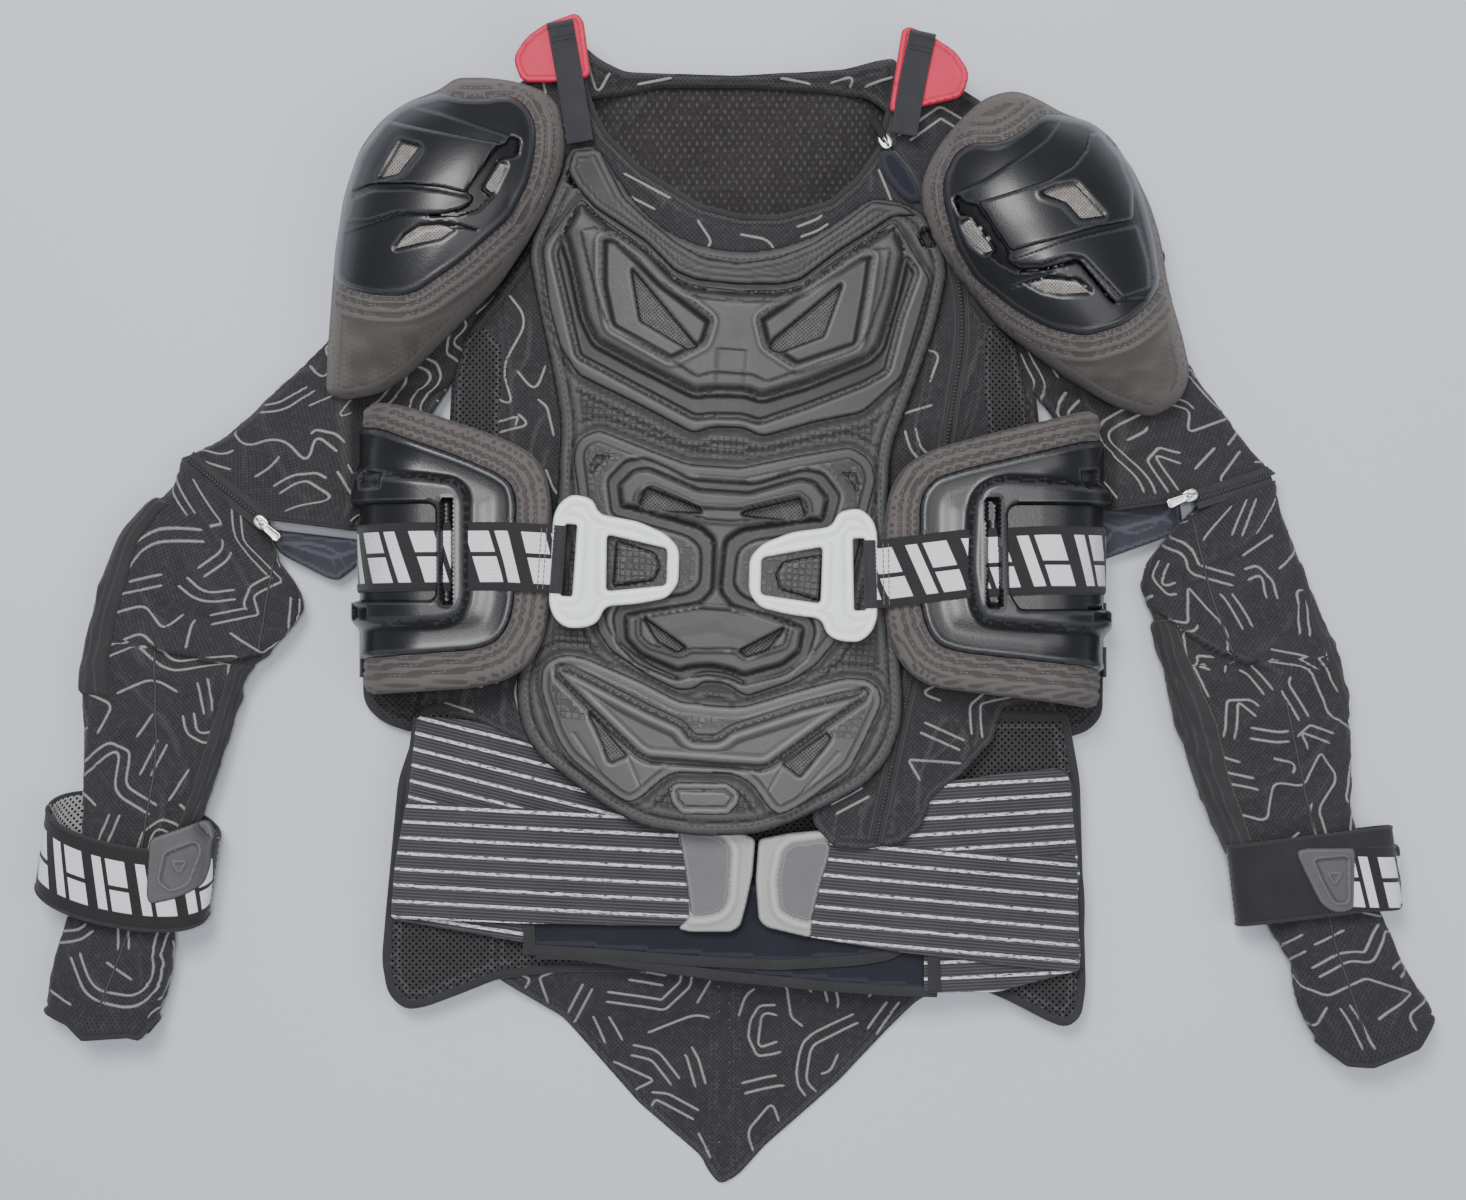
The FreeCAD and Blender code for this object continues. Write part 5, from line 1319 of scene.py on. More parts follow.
def side_strap(side, place):
    facts = GUARDS[side]
    sign = SIGN[side]
    body = "rib_guard_" + side
    path = strap_path(side)
    width = facts["strap"][1] - facts["strap"][0]

    def level(p):
        """Lies on the shell at one level; the seam that makes it double near the buckle is not modelled."""
        return np.full(len(p), STRAP_BASE - 0.2)

    ribbon("side_strap_" + side, place, path, width - 5, level, STRAP_T, body, M["band"], "webbing",
           stands_for=["side_strap_" + side], shift=6.0 if side == "l" else 20.0)
    bar = buckle_plan(side, [(facts["bar_u"], BAR_MID - 22.3), (facts["bar_u"], BAR_MID + 22.3)])
    across = np.diff(buckle_plan(side, [(facts["bar_u"], BAR_MID), (facts["bar_u"] + 1, BAR_MID)]), axis=0)[0]
    ring = []
    for angle in np.linspace(0, 2 * math.pi, 26, endpoint=False):
        for radius in (4.2, 2.7):
            for end in bar:
                ring.append([*(end + across * radius * math.cos(angle)), BUCKLE_LEVEL + 2.5 + radius * math.sin(angle)])
    count = len(ring)
    faces = []
    for i in range(0, count, 4):
        j = (i + 4) % count
        faces += [[i, i + 1, j + 1, j], [i + 3, i + 2, j + 2, j + 3], [i + 2, i, j, j + 2], [i + 1, i + 3, j + 3, j + 1]]
    make("strap_loop_" + side, ring, faces, body, M["strap"], "webbing").data.set_sharp_from_angle(angle=0.9)
    rows = []
    for offset in (8.5, 12.0):
        line = buckle_plan(side, [(facts["bar_u"] + sign * offset, v) for v in np.linspace(BAR_MID - 20, BAR_MID + 20, 24)])
        rows += stitches(place(line, np.full(24, STRAP_BASE + STRAP_T + 0.1)), 3.4, 2.4, 0.35)
    make("strap_stitching_" + side, *gather(rows), body, M["thread"], "webbing")


def buckle(side):
    def mine(points):
        return points if side == "l" else [(-u - 5, v) for u, v in points][::-1]

    frame_line = outline(mine(BUCKLE), 5, 1.5)
    holes = [outline(mine(BUCKLE_WINDOW), 3, 1.4), outline(mine(BUCKLE_NOTCH), 1.0, 1.4)]
    bar_u = GUARDS[side]["bar_u"]

    def top(p):
        d = inside_distance(p, frame_line)
        for hole in holes:
            d = np.minimum(d, -inside_distance(p, hole))
        h = BUCKLE_T - 2.0 + roll(d, 2.0)
        return h - bead(d, 6.2, 1.6, 0.5)

    def bottom(p):
        d = inside_distance(p, frame_line)
        for hole in holes:
            d = np.minimum(d, -inside_distance(p, hole))
        return 1.2 - roll(d, 1.2)

    def place(p, h):
        return np.column_stack([buckle_plan(side, p), BUCKLE_LEVEL + h])

    relief("buckle_" + side, place, frame_line, top, bottom, "buckle_" + side, M["white"], "buckle_white", holes=holes,
           step=1.5, stands_for=["buckle_" + side])
    ends = buckle_plan(side, [(bar_u, BAR_MID - 25), (bar_u, BAR_MID + 25)])
    line = np.column_stack([np.linspace(ends[0], ends[1], 12), np.full(12, BUCKLE_LEVEL + 2.5)])
    make("buckle_bar_" + side, *sweep(line, 2.2, 14), "buckle_" + side, M["white"], "buckle_white")


for side in "lr":
    rib_guard(side)
    buckle(side)

# -------------------------------------------------------------------------------- belt, lumbar pad and tail
BELT_LAYER, LUMBAR_BASE, LUMBAR_TOP = 2.2, 17.5, 21.6


BANDS = {
    "belt_band_l": ([(-213, -78), (-175, -81), (-129, -95), (-89, -117), (-49, -143), (-9, -157),
        (-9, -180), (-221, -167), (-219, -133)],
                    -13.5, (-212, -90), -2.0, "jacket"),
    "belt_band_r": ([(128, -124), (178, -117), (219, -113), (227, -120), (230, -157), (234, -187),
        (231, -203), (98, -200), (98, -133)],
                    3.0, (220, -131), 0.4, "jacket"),
    "belt_band_low_l": ([(-225, -193), (-135, -200), (-133, -231), (-175, -224),
        (-229, -216)], -8.0, (-226, -212), -2.2, "jacket"),
    "belt_band_low_r": ([(128, -220), (234, -227), (234, -249), (178, -263),
        (128, -263)], 2.0, (130, -243), 0.4, "jacket"),
    "belt_wing_l": ([(-219, -135), (-142, -139), (-62, -145), (-31, -148), (-27, -180), (-27, -217),
        (-62, -217), (-142, -216), (-230, -214), (-227, -177)],
                    -2.6, (-219, -138), 5.0, "belt_wing_l"),
    "belt_wing_r": ([(49, -155), (85, -161), (138, -167), (178, -171), (218, -172), (227, -167),
        (231, -175), (233, -250), (178, -244), (111, -235), (47, -224)], -5.5, (54, -161), 5.0, "belt_wing_r"),
}
GRIPS = {
    "l": ([(-38, -151), (-22, -153), (6, -155), (15, -159), (13, -183), (9, -202), (5, -217), (-1, -221),
        (-29, -221), (-37, -219), (-29, -211), (-31, -179), (-35, -164)],
          [(-37, -152), (-22, -154), (-7, -158), (-1, -166), (-3, -199), (-7, -207), (-14, -210),
              (-28, -211), (-31, -187), (-34, -167)]),
    "r": ([(17, -159), (38, -155), (63, -153), (65, -164), (60, -179), (53, -204), (52, -225), (43, -223),
        (22, -218), (17, -213), (15, -187)],
          [(31, -176), (33, -167), (39, -162), (64, -159), (65, -168), (59, -187), (52, -215), (38, -211),
              (31, -206), (29, -187)]),
}


def stripes_lie(p, seed):
    """Elastic never lies quite flat."""
    return 0.7 * fuzz(p, 60, seed, 2)


def kidney_belt():
    stands = {"belt_band_l": ["belt_elastic_l"], "belt_band_r": ["belt_elastic_r"], "belt_wing_l": ["belt_wing_l"],
              "belt_wing_r": ["belt_wing_r"]}
    for number, (name, (points, heading, origin, low, body)) in enumerate(BANDS.items()):
        loop = outline(points, 4, 2.2)
        plan = turned(heading, origin)

        def top(p, loop=loop, low=low, number=number, plan=plan):
            v = plan(p)[:, 1]
            d = inside_distance(p, loop)
            rib = 0.22 * np.cos(v / 10.7 * 2 * math.pi)
            return low + 1.0 + roll(d, 1.2) + rib * ramp(d, 3) + stripes_lie(p, number)

        band = relief(name, on_belt, loop, top, lambda p, low=low, number=number: low + stripes_lie(p, number) * 0.8,
                      body, M["belt"], "belt_elastic", step=2.4, stands_for=stands.get(name, []), plan=plan)
    panels = [("belt_lining_l", [(-142, -187), (-9, -187), (111, -203), (117, -225), (108, -235),
        (85, -240), (31, -243), (-29, -239), (-82, -235), (-142, -232)], -1.4),
              ("belt_lining_r", [(-115, -200), (-9, -200), (138, -210), (138, -263), (111, -261),
                  (58, -256), (-2, -250), (-55, -243), (-102, -237)], -2.6)]
    for name, points, low in panels:
        loop = outline(points, 12, 2.4)
        lining = relief(name, on_belt, loop, lambda p: low + roll(inside_distance(p, loop), 1.4) + 0.5 * fuzz(p, 26, 4.0, 3),
                        low - 0.8, "jacket", M["loop_pile"], "lining", step=2.8)
    bindings = [("l", [(-141, -234), (-82, -237), (-29, -241), (31, -244), (85, -241), (107, -237),
        (117, -229)], 7.0, 0.4),
                ("r", [(-132, -237), (-102, -238), (-55, -245), (-2, -252), (58, -258), (111, -262),
                    (137, -263)], 7.0, -0.9),
                ("l_end", [(-137, -215), (-136, -235)], 8.0, 0.6), ("r_end", [(134, -229),
                    (135, -262)], 9.0, 2.9),
                ("l_edge", [(-213, -79), (-217, -107), (-219, -135), (-227, -177), (-229, -214)], 5.0, -3.6),
                ("r_edge", [(222, -115), (228, -127), (231, -167), (235, -200), (234, -248)], 5.0, -1.6)]
    for name, path, width, low in bindings:
        line = outline(path, 10, 4.0, closed=False)
        ribbon("belt_binding_" + name, on_belt, line, width, low, 1.7, "jacket", M["binding"], "lining", step=1.6)
    for side, (points, inner_points) in GRIPS.items():
        loop, panel = outline(points, 3, 1.4), outline(inner_points, 4, 1.4)
        low = 2 * (0.3 + BELT_LAYER) + BELT_LAYER + 0.3

        def grip(p, loop=loop, panel=panel, low=low):
            d, e = inside_distance(p, loop), inside_distance(p, panel)
            return low + roll(d, 2.4) + bead(e, -3.2, 2.2, 1.1) - 1.5 * ramp(e + 1.0, 1.4)

        relief("belt_grip_" + side, on_belt, loop, grip, low - 0.4, "belt_wing_" + side, M["grip"], "belt_grip",
               creases=[panel], step=1.6, stands_for=["belt_grip_" + side])
        relief("belt_grip_panel_" + side, on_belt, panel, lambda p, low=low, panel=panel: low + 0.7 + 0.6 * roll(
               inside_distance(p, panel), 1.6), low, "belt_wing_" + side,
               M["grip_dark"], "belt_grip", step=1.6)


LUMBAR = [(-205, -70), (-222, -120), (-230, -205), (-233, -240), (-229, -262), (-218, -272), (-205, -270),
    (-186, -263),
          (-156, -251), (-120, -247), (0, -246), (150, -252), (182, -265), (211, -280), (222, -284),
              (231, -277),
          (234, -258), (230, -120), (222, -75)]


def lumbar_pad():
    loop = outline(pts(LUMBAR) * 1.016, 8, 2.6)
    quilt = [outline([(s * 150, -60), (s * 155, -150),
        (s * 160, -250)], 10, 3.0, closed=False) for s in (-1, 1)]

    def top(p):
        d = inside_distance(p, loop)
        h = roll(d, 4.2) * 0.95 - bead(d, 6.5, 1.0, 1.0)
        for line in quilt:
            near = near_line(p, line)
            h -= bead(near, 0, 1.4, 1.0)
        return h + 0.4 * fuzz(p, 18, 6.0, 3)

    pad = relief("lumbar_pad", on_flat(LUMBAR_BASE), loop, top, 0.0, "jacket", M["mesh_inner"], "mesh_fabric", step=3.2,
                 stands_for=["lumbar_pad"])
    edge = inset(loop, 2.2)
    line = np.column_stack([edge, np.full(len(edge), LUMBAR_BASE + 2.6)])
    make("lumbar_binding", *sweep(line, 3.2, 10, closed=True, flat=0.75), "jacket", M["binding"], "lining")
    for side, sign in SIGN.items():
        rows = []
        for y in np.linspace(-84 if side == "l" else -122, -208 if side == "l" else -248, 30):
            edge_x = {"l": -214 - 12 * ramp(np.array([-y - 90]), 120)[0], "r": 226 + 4 * ramp(np.array([-y - 120]), 100)[0]}[side]
            high = arch_height(np.array([[edge_x, y]]), -BELT_LAYER, BELT_R, BELT_TOP)[0]
            t = np.linspace(0, 1, 9)
            out = edge_x - sign * 5 + sign * 5.5 * np.sin(t * math.pi)
            rows.append(np.column_stack([out, np.full(9, y), LUMBAR_TOP - 0.8 + (high - LUMBAR_TOP + 1.6) * t]))
        grid = np.array(rows)
        skin("belt_gusset_" + side, grid, 1.4, "jacket", M["mesh_plain"], "lining", grid.reshape(-1, 3)[:, [1, 2, 0]],
             centre=np.array([0, -150, 20]))


TAIL = [(-170, -241), (-156, -251), (-114, -278), (-63, -336), (-21, -372), (-17, -381), (-9, -391),
    (3, -385), (21, -365), (70, -322), (123, -266), (148, -253), (131, -240), (-149, -240)]


def tail_level(p):
    """The tail drops from the lumbar pad to the floor just below it."""
    return 2.0 + 13.6 * ramp(p[:, 1] + 298, 44)


def jacket_tail():
    loop = outline(pts(TAIL) * 1.022, 5, 2.0)
    strip = [outline([(x, -244), (x + 1, -330), (x - 1, -384)], 30, 3.0, closed=False) for x in (-14, 2)]

    def place(p, h):
        wave = 2.4 * folds(p, 78, 55, 3.0, 4.0) * ramp(inside_distance(p, loop) + 6, 30)
        return np.column_stack([p, tail_level(p) + wave + h])

    def top(p):
        d = inside_distance(p, loop)
        h = 0.6 + roll(d, 1.2) + bead(d, 6.0, 0.8, -0.5)
        for line in strip:
            near = near_line(p, line)
            h -= bead(near, 0, 0.9, 0.8)
        return h + 0.5 * fuzz(p, 14, 3.0, 3)

    tail = relief("jacket_tail", place, loop, top, -0.4, "jacket", M["mesh"], "mesh_fabric", step=2.0,
                  stands_for=["jacket_tail"])
    strip_free = lambda p: (inside_distance(p, loop) > 3) & (np.abs(p[:, 0] + 6) > 9) & (p[:, 1] < -238)
    lines = meander(strip_free, loop.min(0), loop.max(0), 11)
    printed("tail_print", lines, surface_of(place, top), "jacket")
    dots = []
    for x in (-9.5, -2.5):
        for y in np.arange(-250, -372, -6.0):
            at = np.array([[x, y]])
            centre = place(at, np.array([1.5]))[0]
            ring = [centre + [0.8 * math.cos(a), 0.8 * math.sin(a), 0.0] for a in np.linspace(0, 2 * math.pi, 7)[:-1]]
            dots.append((np.array(ring + [centre + [0, 0, 0.5]]), [[i, (i + 1) % 6, 6] for i in range(6)]))
    make("tail_seam_dots", *gather(dots), "jacket", M["thread"], "mesh_fabric")
    rows = []
    for gap in (4.0, 7.0):
        line = inset(loop, gap)
        rows += stitches(place(closed_line(line), np.full(len(line) + 1, 1.9)), 3.6, 2.5, 0.3)
    make("tail_stitching", *gather(rows), "jacket", M["thread_dark"], "mesh_fabric")


kidney_belt()
lumbar_pad()
jacket_tail()

# ------------------------------------------------------------------------------------- jacket and collar
FRONT = [(-155, 336), (-142, 347), (-125, 357), (-103, 365), (-98, 339), (-93, 324), (-85, 309), (-62, 285),
    (-22, 260), (5, 253), (31, 253), (65, 263), (83, 279), (98, 300), (104, 327), (109, 359), (128, 353),
        (151, 344), (171, 333), (178, 313), (151, 280), (138, 257), (145, 227), (168, 197), (190, 173),
            (198, 137), (202, 107), (209, 27), (211, -69), (182, -72), (175, -93), (153, -117), (133, -131),
                (126, -151), (112, -162), (86, -166), (67, -164), (53, -148), (49, -107), (-62, -67),
                    (-115, -105), (-142, -94), (-173, -81), (-202, -77), (-202, -27), (-192, 53),
                        (-189, 120), (-187, 153), (-179, 180), (-155, 207), (-135, 233), (-125, 267),
                            (-123, 300), (-135, 323)]
BACK = [(-157, 335), (-125, 357), (-100, 368), (-75, 356), (1, 354), (78, 357), (108, 360), (151, 344),
    (171, 333), (188, 267), (201, 180), (209, 107), (219, 27), (219, -117), (218, -200), (-215, -200),
        (-213, -79), (-202, 27), (-193, 107), (-189, 180), (-155, 267)]
COLLAR = [(-102, 371), (-89, 361), (-72, 355), (-35, 354), (1, 353), (45, 355), (78, 357), (109, 361),
    (111, 344), (106, 325), (90, 338), (65, 343), (5, 346), (-49, 346), (-81, 340), (-98, 336)]
BELT_LIFT = 3.6


def front_level(p, h):
    """The front fabric: over the chest, and riding up on the belt where it overlaps it."""
    over_belt = arch_height(p, BELT_LIFT, BELT_R, BELT_TOP)
    low = ramp(-p[:, 1] - 84, 16) * ramp(p[:, 0] - 20, 20)
    z = arch_height(p, 0.0)
    return z + np.maximum(over_belt - z, 0) * low + h


def on_front(p, h):
    return np.column_stack([p, front_level(p, h)])


FRONT_ZIP = [(105, 300), (128, 263), (150, 225), (155, 180), (147, 133), (139, 80), (128, 0), (117, -60),
    (109, -93), (102, -127), (94, -161)]
FRONT_SEAMS = [[(-123, 225), (-121, 180), (-118, 133), (-111, 99)], [(-155, 200), (-151, 160),
    (-157, 107)], [(168, 187), (163, 133), (151, 100)],
               [(135, 207), (131, 147), (121, 100)], [(-175, -60), (-172, -81)], [(-152, -60), (-142, -93)]]


def front_panel():
    loop = outline(FRONT, 4, 2.4)
    zip_line = outline(FRONT_ZIP, 30, 3.0, closed=False)
    seams = [outline(s, 20, 3.0, closed=False) for s in FRONT_SEAMS]
    foam = outline(chest_plan(FOAM), 10, 4.0)

    def top(p):
        d = inside_distance(p, loop)
        free = ramp(-inside_distance(p, foam) - 3, 12) * ramp(d + 1, 10)
        lower = ramp(-p[:, 1] - 40, 30)
        h = -1.2 + roll(d, 1.2) + bead(d, 5.5, 0.8, -0.5)
        h += free * (2.6 * (folds(p, 84, 40, 3.5, 2.0) - 0.35) + 1.8 * lower * (folds(p, 60, 26, 2.5, 7.0) - 0.3))
        for seam in seams:
            h -= bead(near_line(p, seam), 0, 1.0, 0.9)
        h -= bead(near_line(p, zip_line), 0, 7.0, 1.2) * free
        return h + free * 0.3 * fuzz(p, 9, 3.0, 2)

    panel = relief("jacket_front_panel", on_front, loop, top, lambda p: top(p) - 1.6, "jacket", M["mesh"], "mesh_fabric",
                   step=2.4, stands_for=["jacket_front_panel"])
    clear = lambda p: ((inside_distance(p, loop) > 5) & (inside_distance(p, foam) < 1) & (near_line(p, zip_line) > 10)
                       & ~((np.abs(p[:, 0]) > 165) & (p[:, 1] > 100) & (p[:, 1] < 186)))
    lines = meander(clear, loop.min(0), loop.max(0), 5)
    printed("front_print", lines, surface_of(on_front, top), "jacket")
    for side, points in (("l", [(-181, 176), (-167, 185), (-155, 170), (-157, 105), (-187, 105), (-188, 137)]),
                         ("r", [(171, 188), (191, 171), (198, 135), (201, 105), (173, 105), (168, 147)])):
        area = outline(points, 4, 2.0)
        piece = relief("side_mesh_" + side, on_front, area, lambda p: top(p) + 0.5 + roll(inside_distance(p, area), 0.8) - 0.4,
                       lambda p: top(p) - 0.4, "jacket", M["mesh_inner"], "mesh_fabric", step=2.2)
    for number, run in enumerate((zip_line[zip_line[:, 1] > 92], zip_line[zip_line[:, 1] < -46])):
        level = lambda p: np.maximum(top(p), -1.5) + 0.3
        ribbon("front_tape_%d" % number, on_front, run, 13, level, 0.9, "jacket", M["tape"], "zip_tape", step=2.0,
               stands_for=["front_zip_tape"] if number == 0 else [])
        for offset in (-4.6, 4.6):
            ahead = np.gradient(run, axis=0)
            ahead /= np.linalg.norm(ahead, axis=1, keepdims=True)
            beside = run + offset * np.column_stack([-ahead[:, 1], ahead[:, 0]])
            cord = sweep(on_front(beside, level(beside) + 1.1), 0.7, 6)
            make("front_tape_cord_%d_%s" % (number, "in" if offset > 0 else "out"), *cord, "jacket", M["thread_dark"], "zip_tape")
        make("front_teeth_%d" % number, *gather(teeth_along(on_front(run, level(run) + 1.0))), "jacket", M["teeth"], "zip_tape")
    rows = []
    for seam in seams:
        for offset in (-1.6, 1.6):
            ahead = np.gradient(seam, axis=0)
            ahead /= np.linalg.norm(ahead, axis=1, keepdims=True)
            line = seam + offset * np.column_stack([-ahead[:, 1], ahead[:, 0]])
            rows += stitches(on_front(line, top(line) + 0.35), 3.4, 2.4, 0.3)
    hem = inset(loop, 4.4)
    jumps = np.linalg.norm(np.diff(hem, axis=0), axis=1)
    for run in np.split(hem, np.where(jumps > 6)[0] + 1):
        if len(run) > 6:
            rows += stitches(on_front(run, top(run) + 0.35), 3.4, 2.4, 0.3)
    make("front_stitching", *gather(rows), "jacket", M["thread_dark"], "mesh_fabric")
    neck = loop[(loop[:, 1] > 250) & (loop[:, 0] > -100) & (loop[:, 0] < 105) & (inside_distance(loop, outline(
        [(-115, 387), (-89, 300), (5, 240), (85, 267), (118, 387)], 4, 4)) > -14)]
    neck = neck[np.argsort(neck[:, 0])]
    make("neck_binding", *sweep(on_front(neck, top(neck) + 0.4), 2.1, 9, flat=0.8), "jacket", M["binding"], "lining")


def teeth_along(line, pitch=2.4, long=1.3, wide=4.0, high=1.0):
    """Zip teeth: small blocks across a line of points."""
    run = np.concatenate([[0], np.cumsum(np.linalg.norm(np.diff(line, axis=0), axis=1))])
    blocks = []
    for start in np.arange(1.0, run[-1] - 1, pitch):
        a, b = (np.array([np.interp(at, run, line[:, k]) for k in range(3)]) for at in (start, start + long))
        ahead = (b - a) / max(np.linalg.norm(b - a), 1e-6)
        side = np.cross([0, 0, 1.0], ahead) * wide / 2
        up = np.array([0, 0, high])
        low = [a - side, b - side * 0.8, b + side * 0.8, a + side]
        corners = low + [q * 1.0 + up - (q - (a + b) / 2) * 0.25 for q in low]
        blocks.append((np.array(corners), [[3, 2, 1, 0], [4, 5, 6, 7], [0, 1, 5, 4], [1, 2, 6, 5], [2, 3, 7, 6], [3, 0, 4, 7]]))
    return blocks


def back_panel():
    loop = outline(BACK, 5, 3.4)

    def top(p):
        d = inside_distance(p, loop)
        return roll(d, 1.4) + 0.8 * (folds(p, 10, 70, 2.5, 3.0) - 0.4) * ramp(d, 20) + 0.25 * fuzz(p, 12, 1.0, 2)

    panel = relief("jacket_back_panel", on_flat(15.6), loop, top, lambda p: top(p) - 1.4, "jacket", M["mesh_dotted"],
                   "mesh_fabric", step=3.2, stands_for=["jacket_back_panel"])
    collar = outline(COLLAR, 5, 2.0)

    def rise(p):
        """The collar stands up towards its free edge."""
        return 17.6 + 13 * ramp(p[:, 1] - 336, 24) + 14 * ramp(np.abs(p[:, 0]) - 70, 30)

    def band(p):
        d = inside_distance(p, collar)
        return rise(p) + roll(d, 2.4) + bead(d, 6.0, 0.9, -0.7) + 1.2 * (folds(p, 5, 30, 2.5, 6.0) - 0.3)

    lines = meander(lambda p: inside_distance(p, collar) > 3, collar.min(0), collar.max(0), 3)
    printed("collar_print", lines, surface_of(lambda p, h: np.column_stack([p, h]), band), "jacket")
    piece = relief("collar_band", lambda p, h: np.column_stack([p, h]), collar, band, lambda p: rise(p) - 1.0, "jacket",
                   M["mesh"], "mesh_fabric", step=2.0, stands_for=["collar_band"])
    low, high = loop[(loop[:, 1] < 190) & (loop[:, 1] > -60) & (loop[:, 0] < 0)], loop[(loop[:, 1] < 190) & (loop[:, 1] > -60) & (loop[:, 0] > 0)]
    for side, run in (("l", low), ("r", high)):
        run = run[np.argsort(run[:, 1])]
        front_edge = front_level(run, -1.5)
        sign = SIGN[side]
        t = np.linspace(0, 1, 10)
        grid = np.stack([np.column_stack([run[:, 0] - sign * 4 + sign * 5 * math.sin(a * math.pi) - sign * 4 * a, run[:, 1],
                                          16.4 + (front_edge - 16.4) * a]) for a in t], 1)
        skin("side_gusset_" + side, grid, 1.4, "jacket", M["mesh_plain"], "mesh_fabric", grid.reshape(-1, 3)[:, [1, 2, 0]],
             centre=np.array([0, 60, 30]))


def neck_straps():
    facts = {"l": ([(-101, 303), (-107, 340), (-114, 379)], [(-146, 359), (-137, 373), (-124, 382),
        (-104, 389), (-99, 384), (-94, 346), (-117, 343), (-140, 343)]),
             "r": ([(113, 308), (118, 340), (125, 372)], [(112, 378), (117, 380), (133, 373), (148, 363),
                 (157, 349), (152, 333), (126, 327), (103, 322)])}
    for side, (path, tab) in facts.items():
        line = outline(path, 40, 2.0, closed=False)
        run = np.concatenate([[0], np.cumsum(np.linalg.norm(np.diff(line, axis=0), axis=1))])
        length = run[-1]

        def place(p, h, line=line, length=length):
            foot = np.linalg.norm(p - line[0], axis=1)
            return np.column_stack([p, 57.2 - 3.5 * np.exp(-foot / 16) + 0.6 * np.sin(foot / length * 6) + h])

        ribbon("neck_strap_" + side, place, line, 17.5, 0.0, 1.5, "neck_strap_" + side, M["strap"], "webbing",
               stands_for=["neck_strap_" + side], step=1.6)
        tip, ahead = line[-1], (line[-1] - line[-4]) / np.linalg.norm(line[-1] - line[-4])
        across = np.array([-ahead[1], ahead[0]])
        bend = []
        for angle in np.linspace(0, math.pi, 12):
            centre = tip + ahead * (5.0 * math.sin(angle) - 0.4)
            z = 53.9 + 5.0 * math.cos(angle)
            bend.append([[*(centre + across * w), z] for w in np.linspace(8.75, -8.75, 9)])
        for back in (4, 8, 12, 16):
            bend.append([[*(tip - ahead * back + across * w), 48.9] for w in np.linspace(8.75, -8.75, 9)])
        grid = np.array(bend)
        skin("neck_strap_fold_" + side, grid, 1.5, "neck_strap_" + side, M["strap"], "webbing",
             np.column_stack([np.repeat(np.arange(len(bend)) * 2.0, 9), np.tile(np.linspace(-8.75, 8.75, 9), len(bend)),
                              np.zeros(9 * len(bend))]), centre=np.array([*(tip - ahead * 8), 53.9]))
        loop = outline(tab, 6, 1.4)

        def top(p, loop=loop):
            d = inside_distance(p, loop)
            return roll(d, 1.8) * 1.1 + 1.4 - 0.9 * ramp(d - 2.4, 1.2) + 0.15 * fuzz(p, 5, 2.0, 2)

        relief("red_tab_" + side, on_flat(52.2), loop, top, 0.0, "jacket", M["red"], "red_tab", step=1.5,
               stands_for=["neck_strap_tabs"] if side == "l" else [])
        rows = []
        for back in (6.0, 9.0):
            across_line = [tip - ahead * back + across * w for w in np.linspace(-7.5, 7.5, 16)]
            rows += stitches(np.column_stack([across_line, np.full(16, 59.1)]), 3.0, 2.1, 0.32)
        make("neck_strap_stitching_" + side, *gather(rows), "neck_strap_" + side, M["thread_dark"], "webbing")
    pull = [(96, 297), (106, 301), (117, 289), (125, 275), (126, 264), (117, 264), (106, 273), (98, 285)]
    loop = outline(pull, 6, 1.6)
    relief("front_zip_garage", on_front, loop, lambda p: 1.5 + roll(inside_distance(p, loop), 4.5) * 1.1, 0.4, "jacket",
           M["loop_pile"], "lining", step=1.6)


WINGS = {"l": [(-212, 110), (-238, 118), (-247, 100), (-251, 20), (-250, -70), (-238, -82), (-214, -90),
    (-206, -70)],
         "r": [(212, 106), (237, 112), (247, 95), (251, 20), (250, -78), (241, -88), (215, -96), (206, -70)]}
FOAM_HALF = [(0, 322), (-60, 322), (-105, 300), (-140, 210), (-138, 60), (-120, -60), (-118, -180),
    (-80, -236), (0, -236)]
BACK_BANDS = [("back_plate_top", 312, 140, 92, 122), ("back_plate_middle", 137, -30, 120, 98),
    ("back_plate_lower", -33, -226, 96, 64)]


